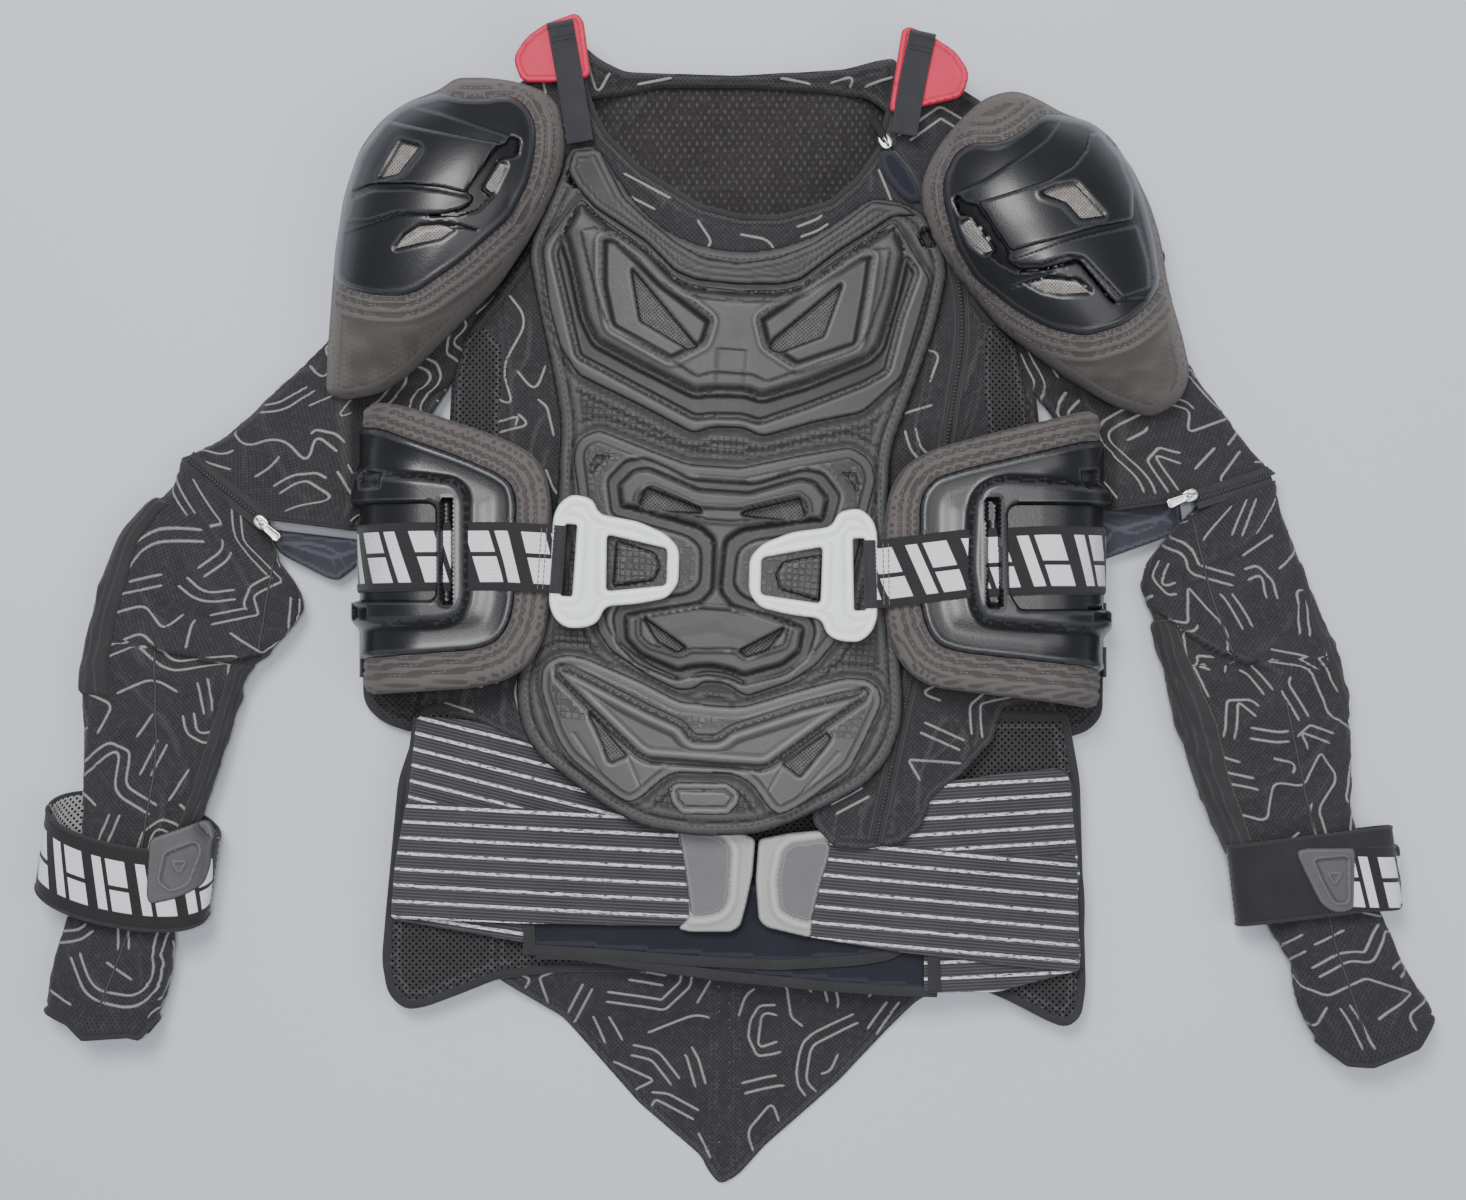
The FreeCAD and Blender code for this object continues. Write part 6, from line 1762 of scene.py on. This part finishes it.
def back_armour():
    """Foam and three ribbed plates on the underside, and the flaps that the rib guards are sewn to."""
    for side, sign in SIGN.items():
        wing = outline(WINGS[side], 9, 2.4)
        piece = relief("side_wing_" + side, on_flat(5.3), wing, lambda p: 2.5 + roll(inside_distance(p, wing), 5.0)
                       + 0.5 * fuzz(p, 16, 3.0, 3) - bead(inside_distance(p, wing), 7.0, 0.9, 0.9), 0.0, "jacket",
                       M["mesh_plain"], "mesh_fabric", step=2.6, stands_for=["side_wing_" + side])
        edge = inset(wing, 1.2)
        make("side_wing_binding_" + side, *sweep(np.column_stack([edge, np.full(len(edge), 8.6)]), 3.0, 9, closed=True, flat=0.9),
             "jacket", M["binding"], "lining")
        for number, y in enumerate((-52.0, -22.0)):
            t, rows = np.linspace(0, 1, 14), []
            for at in np.linspace(y, y + 20, 9):
                rows.append(np.column_stack([sign * (250.4 + 2.6 * np.sin(t * math.pi)), np.full(14, at), 6 + 21 * t]))
            grid = np.array(rows)
            skin("side_tab_%s_%d" % (side, number), grid, 1.3, "jacket", M["binding"], "webbing",
                 grid.reshape(-1, 3)[:, [2, 1, 0]], centre=np.array([0, 0, 17]),
                 stands_for=["hinge_webs"] if side == "l" and number == 0 else [])
    foam = outline(both_sides(FOAM_HALF)[:-1], 25, 3.2)

    def under(p):
        d = inside_distance(p, foam)
        return 8.4 - roll(d, 6.0) - 2.4 + 0.5 * fuzz(p, 20, 2.0, 2)

    piece = relief("back_foam", on_flat(5.3), foam, lambda p: 4.6 + roll(inside_distance(p, foam), 5.0), under, "jacket",
                   M["foam"], "foam", step=4.0, stands_for=["back_foam"])
    for name, top_y, low_y, wide_top, wide_low in BACK_BANDS:
        half = [(0, top_y), (-wide_top * 0.45, top_y), (-wide_top, top_y - 16), (-wide_low, low_y + 6.4),
            (-wide_low * 0.5, low_y), (0, low_y)]
        loop = outline(both_sides(half)[:-1], 12, 2.4)
        ridge = [outline([(s * wide_top * 0.55, top_y - 22),
            (s * wide_low * 0.5, low_y + 16)], 5, 3, closed=False) for s in (-1, 1)]

        def outer(p, loop=loop, ridge=ridge):
            d = inside_distance(p, loop)
            h = roll(d, 2.4) + bead(d, 5.5, 1.4, -0.8) + 1.0 * ramp(d - 9, 4)
            for line in ridge:
                h -= bead(near_line(p, line), 0, 2.2, 1.2)
            return h + 0.6 * np.cos(p[:, 1] / 11) * ramp(d - 12, 6) * ramp(40 - np.abs(p[:, 0]), 6)

        plate = relief(name, lambda p, h: np.column_stack([p, 5.0 - h]), loop, outer, 0.0, "jacket", M["back_plate"],
                       "gloss_shell", step=2.6, stands_for=[name])
        plate.data.flip_normals()


def slider(name, start, heading, level, body, pull_body, stands_for, colour):
    """Zip slider with a bridge, and a pull tab with a slot."""
    c, s = math.cos(math.radians(heading)), math.sin(math.radians(heading))

    def at(z):
        def place(p, h):
            return np.column_stack([start[0] + p[:, 0] * c - p[:, 1] * s, start[1] + p[:, 0] * s + p[:, 1] * c, level + z + h])
        return place

    shape = outline([(-5.5, -3.2), (-2, -4.6), (3, -4.4), (5.5, -2.2), (5.5, 2.2), (3, 4.4), (-2, 4.6),
        (-5.5, 3.2)], 1.6, 0.7)
    for part, low, thick in (("under", 0.4, 1.2), ("upper", 2.9, 2.8)):
        relief("%s_%s" % (name, part), at(low), shape, lambda p: thick - 1.2 + roll(inside_distance(p, shape), 1.2), 0.0, body,
               M["metal"], "zip_metal", step=0.7, stands_for=[stands_for[0]] if part == "upper" else [])
    t = np.linspace(0, math.pi, 14)
    bridge = at(5.2)(np.column_stack([3.6 * np.cos(t), np.zeros(14)]), 2.6 * np.sin(t))
    make(name + "_bridge", *sweep(bridge, 0.8, 8), body, M["metal"], "zip_metal")
    tab = outline([(-17, -2.4), (-15, -3.4), (-4, -2.6), (0.8, -1.8), (0.8, 1.8), (-4, 2.6), (-15, 3.4),
        (-17, 2.4)], 1.4, 0.6)
    hole = outline([(-3.0, -1.2), (-0.6, -1.0), (-0.6, 1.0), (-3.0, 1.2)], 0.6, 0.5)
    relief(name + "_pull", at(6.2), tab, lambda p: 0.9 + roll(inside_distance(p, tab), 0.6) - 0.4 * ramp(inside_distance(p, tab) - 1.1, 0.5)
           * (p[:, 0] < -5), 0.0, pull_body, colour, "zip_metal", holes=[hole], step=0.6, stands_for=stands_for[1:])


front_panel()
back_panel()
neck_straps()
back_armour()
slider("front_zip", (101.0, 304.0), 301.0, 48.2, "front_slider", "front_puller", ["front_zip_slider", "front_zip_puller"], M["slot"])
slider("sleeve_zip_l", (-316.0, 52.0), 138.0, 32.3, "sleeve_slider_l", "sleeve_slider_l", ["sleeve_l_zip_slider"], M["metal"])
slider("sleeve_zip_r", (306.0, 70.0), 22.0, 32.3, "sleeve_slider_r", "sleeve_slider_r", ["sleeve_r_zip_slider"], M["metal"])

# --------------------------------------------------------------------------------- sleeves and wrist straps
SLEEVE_LOW, SLEEVE_HIGH = 3.2, 32.0
SLEEVES = {
    "l": {
        "upper": [[(-227, 243), (-152, 220)], [(-254, 192), (-174, 177)], [(-275, 167),
            (-189, 143)], [(-314, 132), (-262, 117), (-214, 107)],
                  [(-341, 109), (-289, 80), (-230, 67)], [(-367, 95), (-314, 55), (-251, 47)]],
        "lower": [[(-368, 94), (-314, 51)], [(-377, 71), (-307, 29)], [(-389, 63), (-290, 9)], [(-407, 43),
            (-286, -5)],
                  [(-418, 16), (-295, -20)], [(-427, -12), (-312, -37)], [(-433, -37),
                      (-327, -48)], [(-435, -60), (-332, -70)],
                  [(-433, -87), (-339, -95)], [(-435, -120), (-347, -119)], [(-435, -153),
                      (-362, -155)], [(-437, -187), (-374, -195)],
                  [(-446, -217), (-374, -227)], [(-455, -243), (-377, -250)], [(-458, -267), (-382, -273)],
                  [(-459, -274), (-442, -281), (-432, -291), (-402, -289), (-395, -291), (-389, -284),
                      (-385, -279)]],
        "elbow": [(-384, -33), (-346, -42), (-322, -37)], "pivot": (-374, -30), "shoulder": ((-210, 198),
            (-262, 128)),
        "bend": ((-352, 4), (-386, -72)), "seams": [[(-314, 47), (-309, 27), (-314, 0),
            (-319, -33)], [(-389, -33), (-387, -107), (-395, -153), (-405, -220), (-425, -273)]],
        "lining": [(-314, 48), (-245, 40), (-251, 27), (-268, 13), (-276, 15), (-309, 32)],
        "line": [(-367, 95), (-314, 52)]},
    "r": {
        "upper": [[(288, 233), (171, 213)], [(297, 173), (186, 177)], [(310, 147), (201, 140)], [(326, 127),
            (278, 117), (223, 113)],
                  [(345, 103), (298, 87), (237, 87)], [(362, 85), (311, 68), (244, 59)]],
        "lower": [[(362, 79), (310, 61)], [(367, 57), (295, 48)], [(375, 33), (278, 27)], [(383, 10), (273, 8)],
                  [(391, -8), (283, -15)], [(403, -37), (290, -45)], [(411, -70), (298, -77)], [(413, -107),
                      (310, -117)],
                  [(414, -147), (329, -159)], [(418, -177), (342, -190)], [(431, -205),
                      (359, -219)], [(443, -233), (373, -241)],
                  [(459, -259), (377, -270)], [(466, -273), (385, -287)],
                  [(467, -279), (455, -297), (425, -309), (408, -308), (391, -295)]],
        "elbow": [(287, -8), (318, -32), (352, -44)], "pivot": (359, -42), "shoulder": ((222, 188), (268, 120)),
        "bend": ((342, -6), (368, -82)), "seams": [[(309, 57), (315, 27), (326, -13),
            (337, -40)], [(371, -67), (391, -160), (401, -220), (425, -293)]],
        "lining": [(238, 61), (303, 71), (306, 47), (265, 32), (245, 25), (242, 40)],
        "line": [(310, 67), (362, 84)]},
}
AROUND = 104
SLEEVE_SPREAD = 1.012


def along_line(points, t):
    points = pts(points)
    run = np.concatenate([[0], np.cumsum(np.linalg.norm(np.diff(points, axis=0), axis=1))])
    return np.column_stack([np.interp(t * run[-1], run, points[:, k]) for k in (0, 1)])


def flat_tube(stations, step=2.4, square=0.72, soften=6):
    """Rows of points round a sleeve that lies flat; the seam is underneath. Also the lift round it."""
    angle = np.linspace(-math.pi / 2, 1.5 * math.pi, AROUND)
    c, s = np.cos(angle), np.sin(angle)
    t = 0.5 - 0.5 * np.sign(c) * np.abs(c) ** 0.92
    lift = np.sign(s) * np.abs(s) ** square
    lines = np.array([along_line(q, t) for q in stations])
    middle = lines.mean(1)
    run = np.concatenate([[0], np.cumsum(np.linalg.norm(np.diff(middle, axis=0), axis=1))])
    at = np.linspace(0, run[-1], int(run[-1] / step) + 1)
    plan = np.array([[np.interp(at, run, lines[:, j, k]) for k in (0, 1)] for j in range(AROUND)]).transpose(2, 0, 1)
    for _ in range(soften):
        plan[1:-1] = (plan[:-2] + 2 * plan[1:-1] + plan[2:]) / 4
    return plan, at, lift


def sleeve_piece(name, side, stations, body, stands_for, shift=0.0, fold=None, shape=None):
    plan, at, lift = flat_tube([pts(q) * SLEEVE_SPREAD for q in stations])
    rows = len(at)
    flat = plan.reshape(-1, 2)
    up = np.tile(lift, rows)
    half = (SLEEVE_HIGH - SLEEVE_LOW) / 2
    along = np.repeat(at, AROUND)
    turn = np.tile(np.linspace(0, 2 * math.pi, AROUND), rows)
    ring = np.column_stack([np.cos(turn) * 40 + along * 0.35, np.sin(turn) * 40 + along])
    puff = 3.2 * (folds(ring, 62 if side == "l" else 118, 34, 3.0, 3.0 + shift) - 0.42)
    puff += 1.8 * (folds(ring, 100 if side == "l" else 80, 20, 2.4, 8.0 + shift) - 0.4) + 0.5 * fuzz(ring, 9, 2.0 + shift, 2)
    rim = np.minimum(along, at[-1] - along)
    puff *= 0.35 + 0.65 * ramp(rim, 22)
    puff += bead(rim, 2.5, 2.2, 1.3) + bead(rim, 7.5, 1.0, -0.8)
    if fold is not None:
        line = outline(fold, 20, 2.0, closed=False)
        near = np.sqrt(((flat[:, None] - line[None]) ** 2).sum(2))
        index = near.argmin(1)
        ahead = np.gradient(line, axis=0)[index]
        off = flat - line[index]
        d = near.min(1) * np.sign(ahead[:, 0] * off[:, 1] - ahead[:, 1] * off[:, 0])
        top_side = ramp(up - 0.15, 0.5)
        puff += np.where(d > 0, 6.0 * np.exp(-d / 15.0), -4.5 * np.exp(d / 12.0)) * top_side
        puff += bead(d, 26, 5, -1.6) * top_side + bead(d, -16, 6, 2.4) * top_side
    if shape is not None:
        puff += shape(flat, up)
    z = (SLEEVE_LOW + SLEEVE_HIGH) / 2 + half * up + puff * up
    centre = plan.mean(1)[np.repeat(np.arange(rows), AROUND)]
    out = flat - centre
    out /= np.maximum(np.linalg.norm(out, axis=1, keepdims=True), 1)
    flat = flat + out * (np.minimum(puff, 3.0) * (1 - np.abs(up)))[:, None] * 0.8
    z = np.maximum(z, 1.4 + 0.3 * np.abs(puff))
    grid = np.column_stack([flat, z]).reshape(rows, AROUND, 3)
    steps = np.linalg.norm(np.diff(grid, axis=1), axis=2)
    run = np.concatenate([np.zeros((rows, 1)), steps.cumsum(1)], 1)
    run -= run[:, [AROUND // 2]]
    # Edge mark from curvature: the mesh cloth lightens the crests with it as a painted highlight.
    edge = np.clip(-np.gradient(np.gradient(grid[..., 2], axis=1), axis=1) * 0.5, -0.2, 0.4)
    middle = grid.mean(1, keepdims=True)
    obj = skin(name, grid, 1.5, body, M["mesh"], "mesh_fabric", np.column_stack([along, run.ravel(), 0 * along]), centre=middle,
               stands_for=stands_for, marks={"edge": edge.ravel()})
    return obj, Tube(grid, at, run)


class Tube:
    """A sleeve's surface, read by distance along it and distance round it from its top line."""

    def __init__(self, grid, at, run):
        self.grid, self.at, self.run = grid, at, run
        self.normal, _ = grid_normals(grid, grid.mean(1, keepdims=True))

    def by_column(self, row, column):
        """Point and normal at fractional rows and columns."""
        row, column = np.clip(row, 0, len(self.at) - 1.001), np.clip(column, 0, AROUND - 1.001)
        i, j = row.astype(int), column.astype(int)
        f, g = (row - i)[:, None], (column - j)[:, None]
        out = []
        for field in (self.grid, self.normal):
            out.append((field[i, j] * (1 - f) + field[i + 1, j] * f) * (1 - g)
                       + (field[i, j + 1] * (1 - f) + field[i + 1, j + 1] * f) * g)
        return out

    def surface(self, p):
        row = np.interp(p[:, 0], self.at, np.arange(len(self.at)))
        near = np.round(row).astype(int)
        column = np.array([np.interp(v, self.run[k], np.arange(AROUND)) for k, v in zip(near, p[:, 1])])
        return self.by_column(row, column)

    def inside(self, p):
        near = np.round(np.interp(p[:, 0], self.at, np.arange(len(self.at)))).astype(int)
        reach = self.run[near]
        return (p[:, 0] > 5) & (p[:, 0] < self.at[-1] - 6) & (p[:, 1] > reach[:, 0] + 4) & (p[:, 1] < reach[:, -1] - 4)

    def row_near(self, point, column):
        return int(np.linalg.norm(self.grid[:, column, :2] - np.array(point), axis=1).argmin())


def on_top(points):
    """Puts plan points on the upper face of a cloud of points."""
    high = points[points[:, 2] > 14]
    tree = kdtree.KDTree(len(high))
    for k, q in enumerate(high):
        tree.insert((q[0], q[1], 0), k)
    tree.balance()

    def place(p, h):
        z = np.empty(len(p))
        for k, q in enumerate(p):
            found = tree.find_n((q[0], q[1], 0), 5)
            w = np.array([1 / (d * d + 0.5) for _, _, d in found])
            z[k] = (np.array([high[i, 2] for _, i, _ in found]) * w).sum() / w.sum()
        return np.column_stack([p, z + h])
    return place


def bent(obj, side, which):
    facts = SLEEVES[side]
    if which == "upper":
        (a, b), ends = facts["shoulder"], ("jacket", "sleeve_" + side)
    else:
        (a, b), ends = facts["bend"], ("sleeve_" + side, "forearm_" + side)
    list(ends)
    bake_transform(obj)
    return obj


def sleeve(side):
    facts = SLEEVES[side]

    def clear_guard(flat, up):
        """The sleeve lies beside the rib guard, so its inner edge stays low there."""
        close = ramp(262 - np.abs(flat[:, 0]), 14) * ramp(146 - flat[:, 1], 10)
        return -9.0 * close * ramp(up, 0.4)

    upper, upper_tube = sleeve_piece("upper_sleeve_" + side, side, facts["upper"], None, ["upper_sleeve_" + side],
                                     shape=clear_guard)
    lower, lower_tube = sleeve_piece("lower_sleeve_" + side, side, facts["lower"], None,
                                     ["elbow_sleeve_" + side, "forearm_sleeve_" + side], shift=5.0, fold=facts["elbow"])
    for part, tube, which, seed in ((upper, upper_tube, "upper", 21), (lower, lower_tube, "lower", 22)):
        bent(part, side, which)
        low = np.array([0, tube.run.min()])
        lines = meander(tube.inside, low, np.array([tube.at[-1], tube.run.max()]), seed + SIGN[side])
        bent(printed("%s_sleeve_print_%s" % (which, side), lines, tube.surface, None), side, which)
    on_lower, on_upper = on_top(lower_tube.grid.reshape(-1, 3)), on_top(upper_tube.grid.reshape(-1, 3))
    for number, path in enumerate(facts["seams"]):
        line = outline(path, 20, 2.6, closed=False)
        beads = [sweep(on_lower(line, np.full(len(line), 0.3)), 0.9, 6, flat=0.5)]
        for offset in (-2.2, 2.2):
            beads += stitches(on_lower(line + [offset, 0], np.full(len(line), 0.35)), 3.6, 2.5, 0.3)
        bent(make("sleeve_seam_%s_%d" % (side, number), *gather(beads), None, M["thread_dark"], "mesh_fabric"), side, "lower")
    for name, tube, last, which, radius in (("cuff", lower_tube, -1, "lower", 1.9),
        ("hem", upper_tube, -1, "upper", 1.1),
                                            ("top", lower_tube, 0, "lower", 1.1)):
        rim = tube.grid[last][:-1]
        bent(make("sleeve_binding_%s_%s" % (name, side), *sweep(rim, radius, 9, closed=True, flat=0.9), None, M["binding"], "lining"),
             side, which)
    loop = outline(facts["lining"], 6, 2.2)
    lining = relief("sleeve_lining_" + side, on_flat(13.0), loop, lambda p: 1.6 * roll(inside_distance(p, loop), 2.0) / 2.0
                    + 7.0 * ramp(inside_distance(p, loop), 30) + 1.6 * (folds(p, 20 if side == "l" else -10, 30, 3, 2) - 0.4), 0.0,
                    None, M["lining"], "lining", step=2.2)
    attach(lining, "sleeve_" + side)
    line = outline(facts["line"], 5, 2.0, closed=False)
    level = np.maximum(on_lower(line, np.zeros(len(line)))[:, 2], on_upper(line, np.zeros(len(line)))[:, 2]) + 0.4
    level = np.convolve(np.pad(level, 6, mode="edge"), np.ones(13) / 13, "valid")

    def zip_level(p, h):
        near = np.array([np.linalg.norm(line - q, axis=1).argmin() for q in p])
        return np.column_stack([p, level[near] + h])

    ribbon("sleeve_tape_" + side, zip_level, line, 13, -0.4, 0.9, "sleeve_" + side, M["tape"], "zip_tape", step=2.0,
           stands_for=["sleeve_%s_zip_tape" % side])
    make("sleeve_teeth_" + side, *gather(teeth_along(zip_level(line, np.full(len(line), 0.5)))), "sleeve_" + side, M["teeth"], "zip_tape")
    return lower_tube


STRIPS = {
    "elbow_pad_l": {"edge": 0.0, "from": [(-382, 65), (-436, -63)], "wide": (8, 15, 20), "high": 3.0},
    "elbow_pad_r": {"edge": math.pi, "from": [(283, -13), (337, -171)], "wide": (10, 22, 14), "high": 3.0},
    "forearm_strip_l": {"edge": math.pi, "from": [(-322, -41), (-367, -149)], "wide": (9, 11, 9), "high": 1.0},
    "forearm_strip_r": {"edge": 0.0, "from": [(378, 27), (413, -80)], "wide": (3, 9, 5), "high": 1.0}}


def edge_strip(name, side, tube):
    """Ribbed strip along one edge of the sleeve: from its upper face round to below its edge."""
    facts = STRIPS[name]
    edge_column = int((facts["edge"] + math.pi / 2) / (2 * math.pi) * (AROUND - 1))
    first, last = (tube.row_near(q, edge_column) for q in pts(facts["from"]) * SLEEVE_SPREAD)
    rows, count = (last - first) + 1, 26
    grid = []
    for i in range(rows):
        f = i / (rows - 1)
        row = tube.grid[first + i]
        across = np.linalg.norm(row[AROUND // 4, :2] - row[AROUND * 3 // 4, :2])
        wide = np.interp(f, [0, 0.45, 1], facts["wide"])
        top = math.acos(max(0.0, 1 - 2 * wide / across) ** 1.08)
        angle = facts["edge"] + (1 if facts["edge"] == 0 else -1) * np.linspace(top, -0.95, count)
        point, normal = tube.by_column(np.full(count, first + i, float),
            (angle + math.pi / 2) / (2 * math.pi) * (AROUND - 1))
        end = min(i, rows - 1 - i) * 2.4
        inward = np.minimum(np.arange(count), count - 1 - np.arange(count)) * 2.0
        swell_up = 0.6 + roll(np.minimum(inward, end), facts["high"]) * 0.75
        ribs = 0.55 * np.cos(np.arange(count) * 2 * math.pi / 3.0) * ramp(np.minimum(inward, np.full(count, end)) - 1, 3)
        grid.append(point + normal * (swell_up + ribs)[:, None])
    grid = np.array(grid)
    grid[..., 2] = np.maximum(grid[..., 2], 0.8)
    s = np.repeat(np.arange(rows) * 2.4, count)
    uvw = np.column_stack([s, np.tile(np.arange(count) * 2.0, rows), np.zeros(len(s))])
    centre = tube.grid[first:last + 1].mean(1, keepdims=True)
    # Painted highlight: the rib crests are lightened through the edge mark.
    bump = np.tile(np.cos(np.arange(count) * 2 * math.pi / 3.0) * 0.35, rows)
    pad = name.startswith("elbow_pad")
    obj = skin(name, grid, 2.6, None, M["elbow"], "foam", uvw, centre=centre, stands_for=[name] if pad else [],
               marks={"edge": bump})
    bent(obj, side, "lower")


WRIST = {
    "l": {"centre": (-408.5, -176), "heading": 262.0, "half": 59.0, "tilt": 15.0, "skew": 3.0},
    "r": {"centre": (392.0, -186), "heading": 277.0, "half": 56.0, "tilt": -2.0, "skew": 0.0}}


def wrist_ring(side, angles, rows, grow=0.0, widths=(-26.5, 26.5)):
    facts = WRIST[side]
    a = math.radians(facts["heading"])
    step, across = np.array([math.cos(a), math.sin(a)]), np.array([-math.sin(a), math.cos(a)])
    grid = []
    for w in np.linspace(*widths, rows):
        c, s = np.cos(angles), np.sin(angles)
        reach = (facts["half"] + grow) * np.sign(c) * np.abs(c) ** 0.94
        along = w + facts["tilt"] * s + facts["skew"] * c
        plan = np.array(facts["centre"]) + along[:, None] * step + reach[:, None] * across
        z = 22.6 + (21.4 + grow) * np.sign(s) * np.abs(s) ** 0.72
        grid.append(np.column_stack([plan, z]))
    return np.array(grid)


def wrist_strap(side):
    """Strap round the wrist: lower half on the forearm, upper half on the tab that peels open."""
    facts = WRIST[side]
    for name, start, end, body, stands in (("wrist_band", math.pi, 2 * math.pi, "forearm_" + side, "wrist_band_" + side),
                                           ("wrist_tab", 0.0, math.pi, "wrist_tab_" + side, "wrist_tab_" + side)):
        count = 84
        angles = np.linspace(start + 0.01, end - 0.01, count)
        grid = wrist_ring(side, angles, 16)
        run = np.concatenate([[0], np.cumsum(np.linalg.norm(np.diff(grid[8], axis=0), axis=1))])
        u = np.tile(run, 16)
        v = np.repeat(np.linspace(-26.5, 26.5, 16), count)
        if name == "wrist_tab":
            look = M["wrist_print"] if side == "l" else M["loop_dark"]
        else:
            look = M["liner"]
        skin(name + "_" + side, grid, 1.9, body, look, "webbing", np.column_stack([u, v, np.zeros(len(u))]),
             centre=np.array([*facts["centre"], 22.0]), stands_for=[stands])
    if side == "l":
        inside = wrist_ring(side, np.linspace(math.pi * 1.02, math.pi * 1.98, 60), 16, grow=-2.4, widths=(-25.5, 25.5))
        flat = np.repeat(np.arange(16) * 3.4, 60)
        skin("wrist_liner_" + side, inside, 0.6, "forearm_" + side, M["liner"], "lining",
             np.column_stack([np.tile(np.arange(60) * 2.0, 16), flat, np.zeros(len(flat))]), centre=np.array([*facts["centre"], 22.0]))
    for edge in (-1, 1):
        full = wrist_ring(side, np.linspace(0.03, math.pi - 0.03, 90), 2, grow=-0.9, widths=(edge * 26.2, edge * 26.2))[0]
        make("wrist_edge_%s_%d" % (side, edge + 1), *sweep(full, 1.5, 8), "wrist_tab_" + side, M["binding"], "webbing")
        full = wrist_ring(side, np.linspace(math.pi + 0.03, 2 * math.pi - 0.03, 90), 2, grow=-0.9, widths=(edge * 26.2, edge * 26.2))[0]
        make("wrist_edge_low_%s_%d" % (side, edge + 1), *sweep(full, 1.5, 8), "forearm_" + side, M["binding"], "webbing")
    wrist_plate(side)


PLATE = {
    "l": ([(-389, -159), (-354, -147), (-349, -157), (-351, -179), (-355, -191), (-370, -199), (-389, -203),
        (-391, -197)],
          [(-378, -169), (-359, -162), (-357, -168), (-365, -189), (-375, -193), (-382, -187)]),
    "r": ([(375, -167), (381, -165), (414, -165), (415, -168), (414, -207), (401, -209), (392, -204),
        (385, -191), (376, -172)],
          [(387, -173), (409, -171), (409, -201), (401, -201), (395, -191)])}


def wrist_plate(side):
    """Moulded tab that closes the strap, with a plain sunk triangle."""
    ring = wrist_ring(side, np.linspace(0.0, math.pi, 240), 40).reshape(-1, 3)
    loop, panel = outline(PLATE[side][0], 5, 1.5), outline(PLATE[side][1], 3, 1.5)
    middle = panel.mean(0)
    small = outline([middle + 5.4 * np.array([math.cos(a), math.sin(a)]) for a in np.radians([30, 150, 270])], 2.5, 0.9)
    place = on_top(ring)

    def top(p):
        d, e, f = inside_distance(p, loop), inside_distance(p, panel), inside_distance(p, small)
        return 0.5 + roll(d, 2.2) + bead(e, -1.2, 0.8, 0.5) - 0.9 * ramp(e + 0.4, 0.8) + bead(f, 0, 0.8, 0.7)

    relief("wrist_plate_" + side, place, loop, top, -1.0, "wrist_tab_" + side, M["tab_rubber"], "belt_grip", step=1.2,
           creases=[panel])
    if side == "r":
        patch = outline([(409, -166), (447, -164), (450, -167), (451, -203), (449, -208), (411, -208)], 4, 2.0)
        relief("wrist_print_r", place, patch, lambda p: 0.3 + roll(inside_distance(p, patch), 1.2), -1.0, "wrist_tab_r",
               M["wrist_print"], "webbing", step=2.0, plan=turned(-3.0, (402, -187)))


for side in "lr":
    tube = sleeve(side)
    for strip in ("elbow_pad_", "forearm_strip_"):
        edge_strip(strip + side, side, tube)
    wrist_strap(side)


# ------------------------------------------------------------------------------------------------- stage
def studio():
    """Pale floor, soft overhead light and a camera straight above."""
    floor = make("studio_floor", [(-30000, -30000, 0), (30000, -30000, 0), (30000, 30000, 0),
        (-30000, 30000, 0)], [[0, 1, 2, 3]],
                 None, floor_look())
    lamps = [("key", (-0.5, 1.1, 2.4), 1.0, 52), ("fill", (1.2, -0.4, 2.1), 1.4, 14),
        ("top", (0.0, 0.05, 2.6), 0.4, 24)]
    for name, place, size, power in lamps:
        lamp = bpy.data.lights.new(name, "AREA")
        lamp.size = size
        lamp.energy = power
        obj = bpy.data.objects.new(name, lamp)
        obj.location = place
        obj.rotation_euler = (-Vector(place)).to_track_quat("-Z", "Y").to_euler()
        bpy.context.scene.collection.objects.link(obj)
    world = bpy.data.worlds.new("studio")
    world.use_nodes = True
    world.node_tree.nodes["Background"].inputs[0].default_value = (0.86, 0.9, 1.0, 1)
    world.node_tree.nodes["Background"].inputs[1].default_value = 0.32
    bpy.context.scene.world = world
    lens = bpy.data.cameras.new("camera")
    lens.sensor_width = 36.0
    lens.lens = 59.0
    camera = bpy.data.objects.new("camera", lens)
    camera.location = (0, 0, 1.6 + 0.045)
    bpy.context.scene.collection.objects.link(camera)
    bpy.context.scene.camera = camera


def floor_look():
    k = Look("pale_floor", 0.85)
    k.colour(k.mix(k.noise(400, 2), rgb(0.60, 0.63, 0.68), rgb(0.64, 0.67, 0.72)))
    return k.bump((k.noise(2.0, 2), 0.1))


studio()
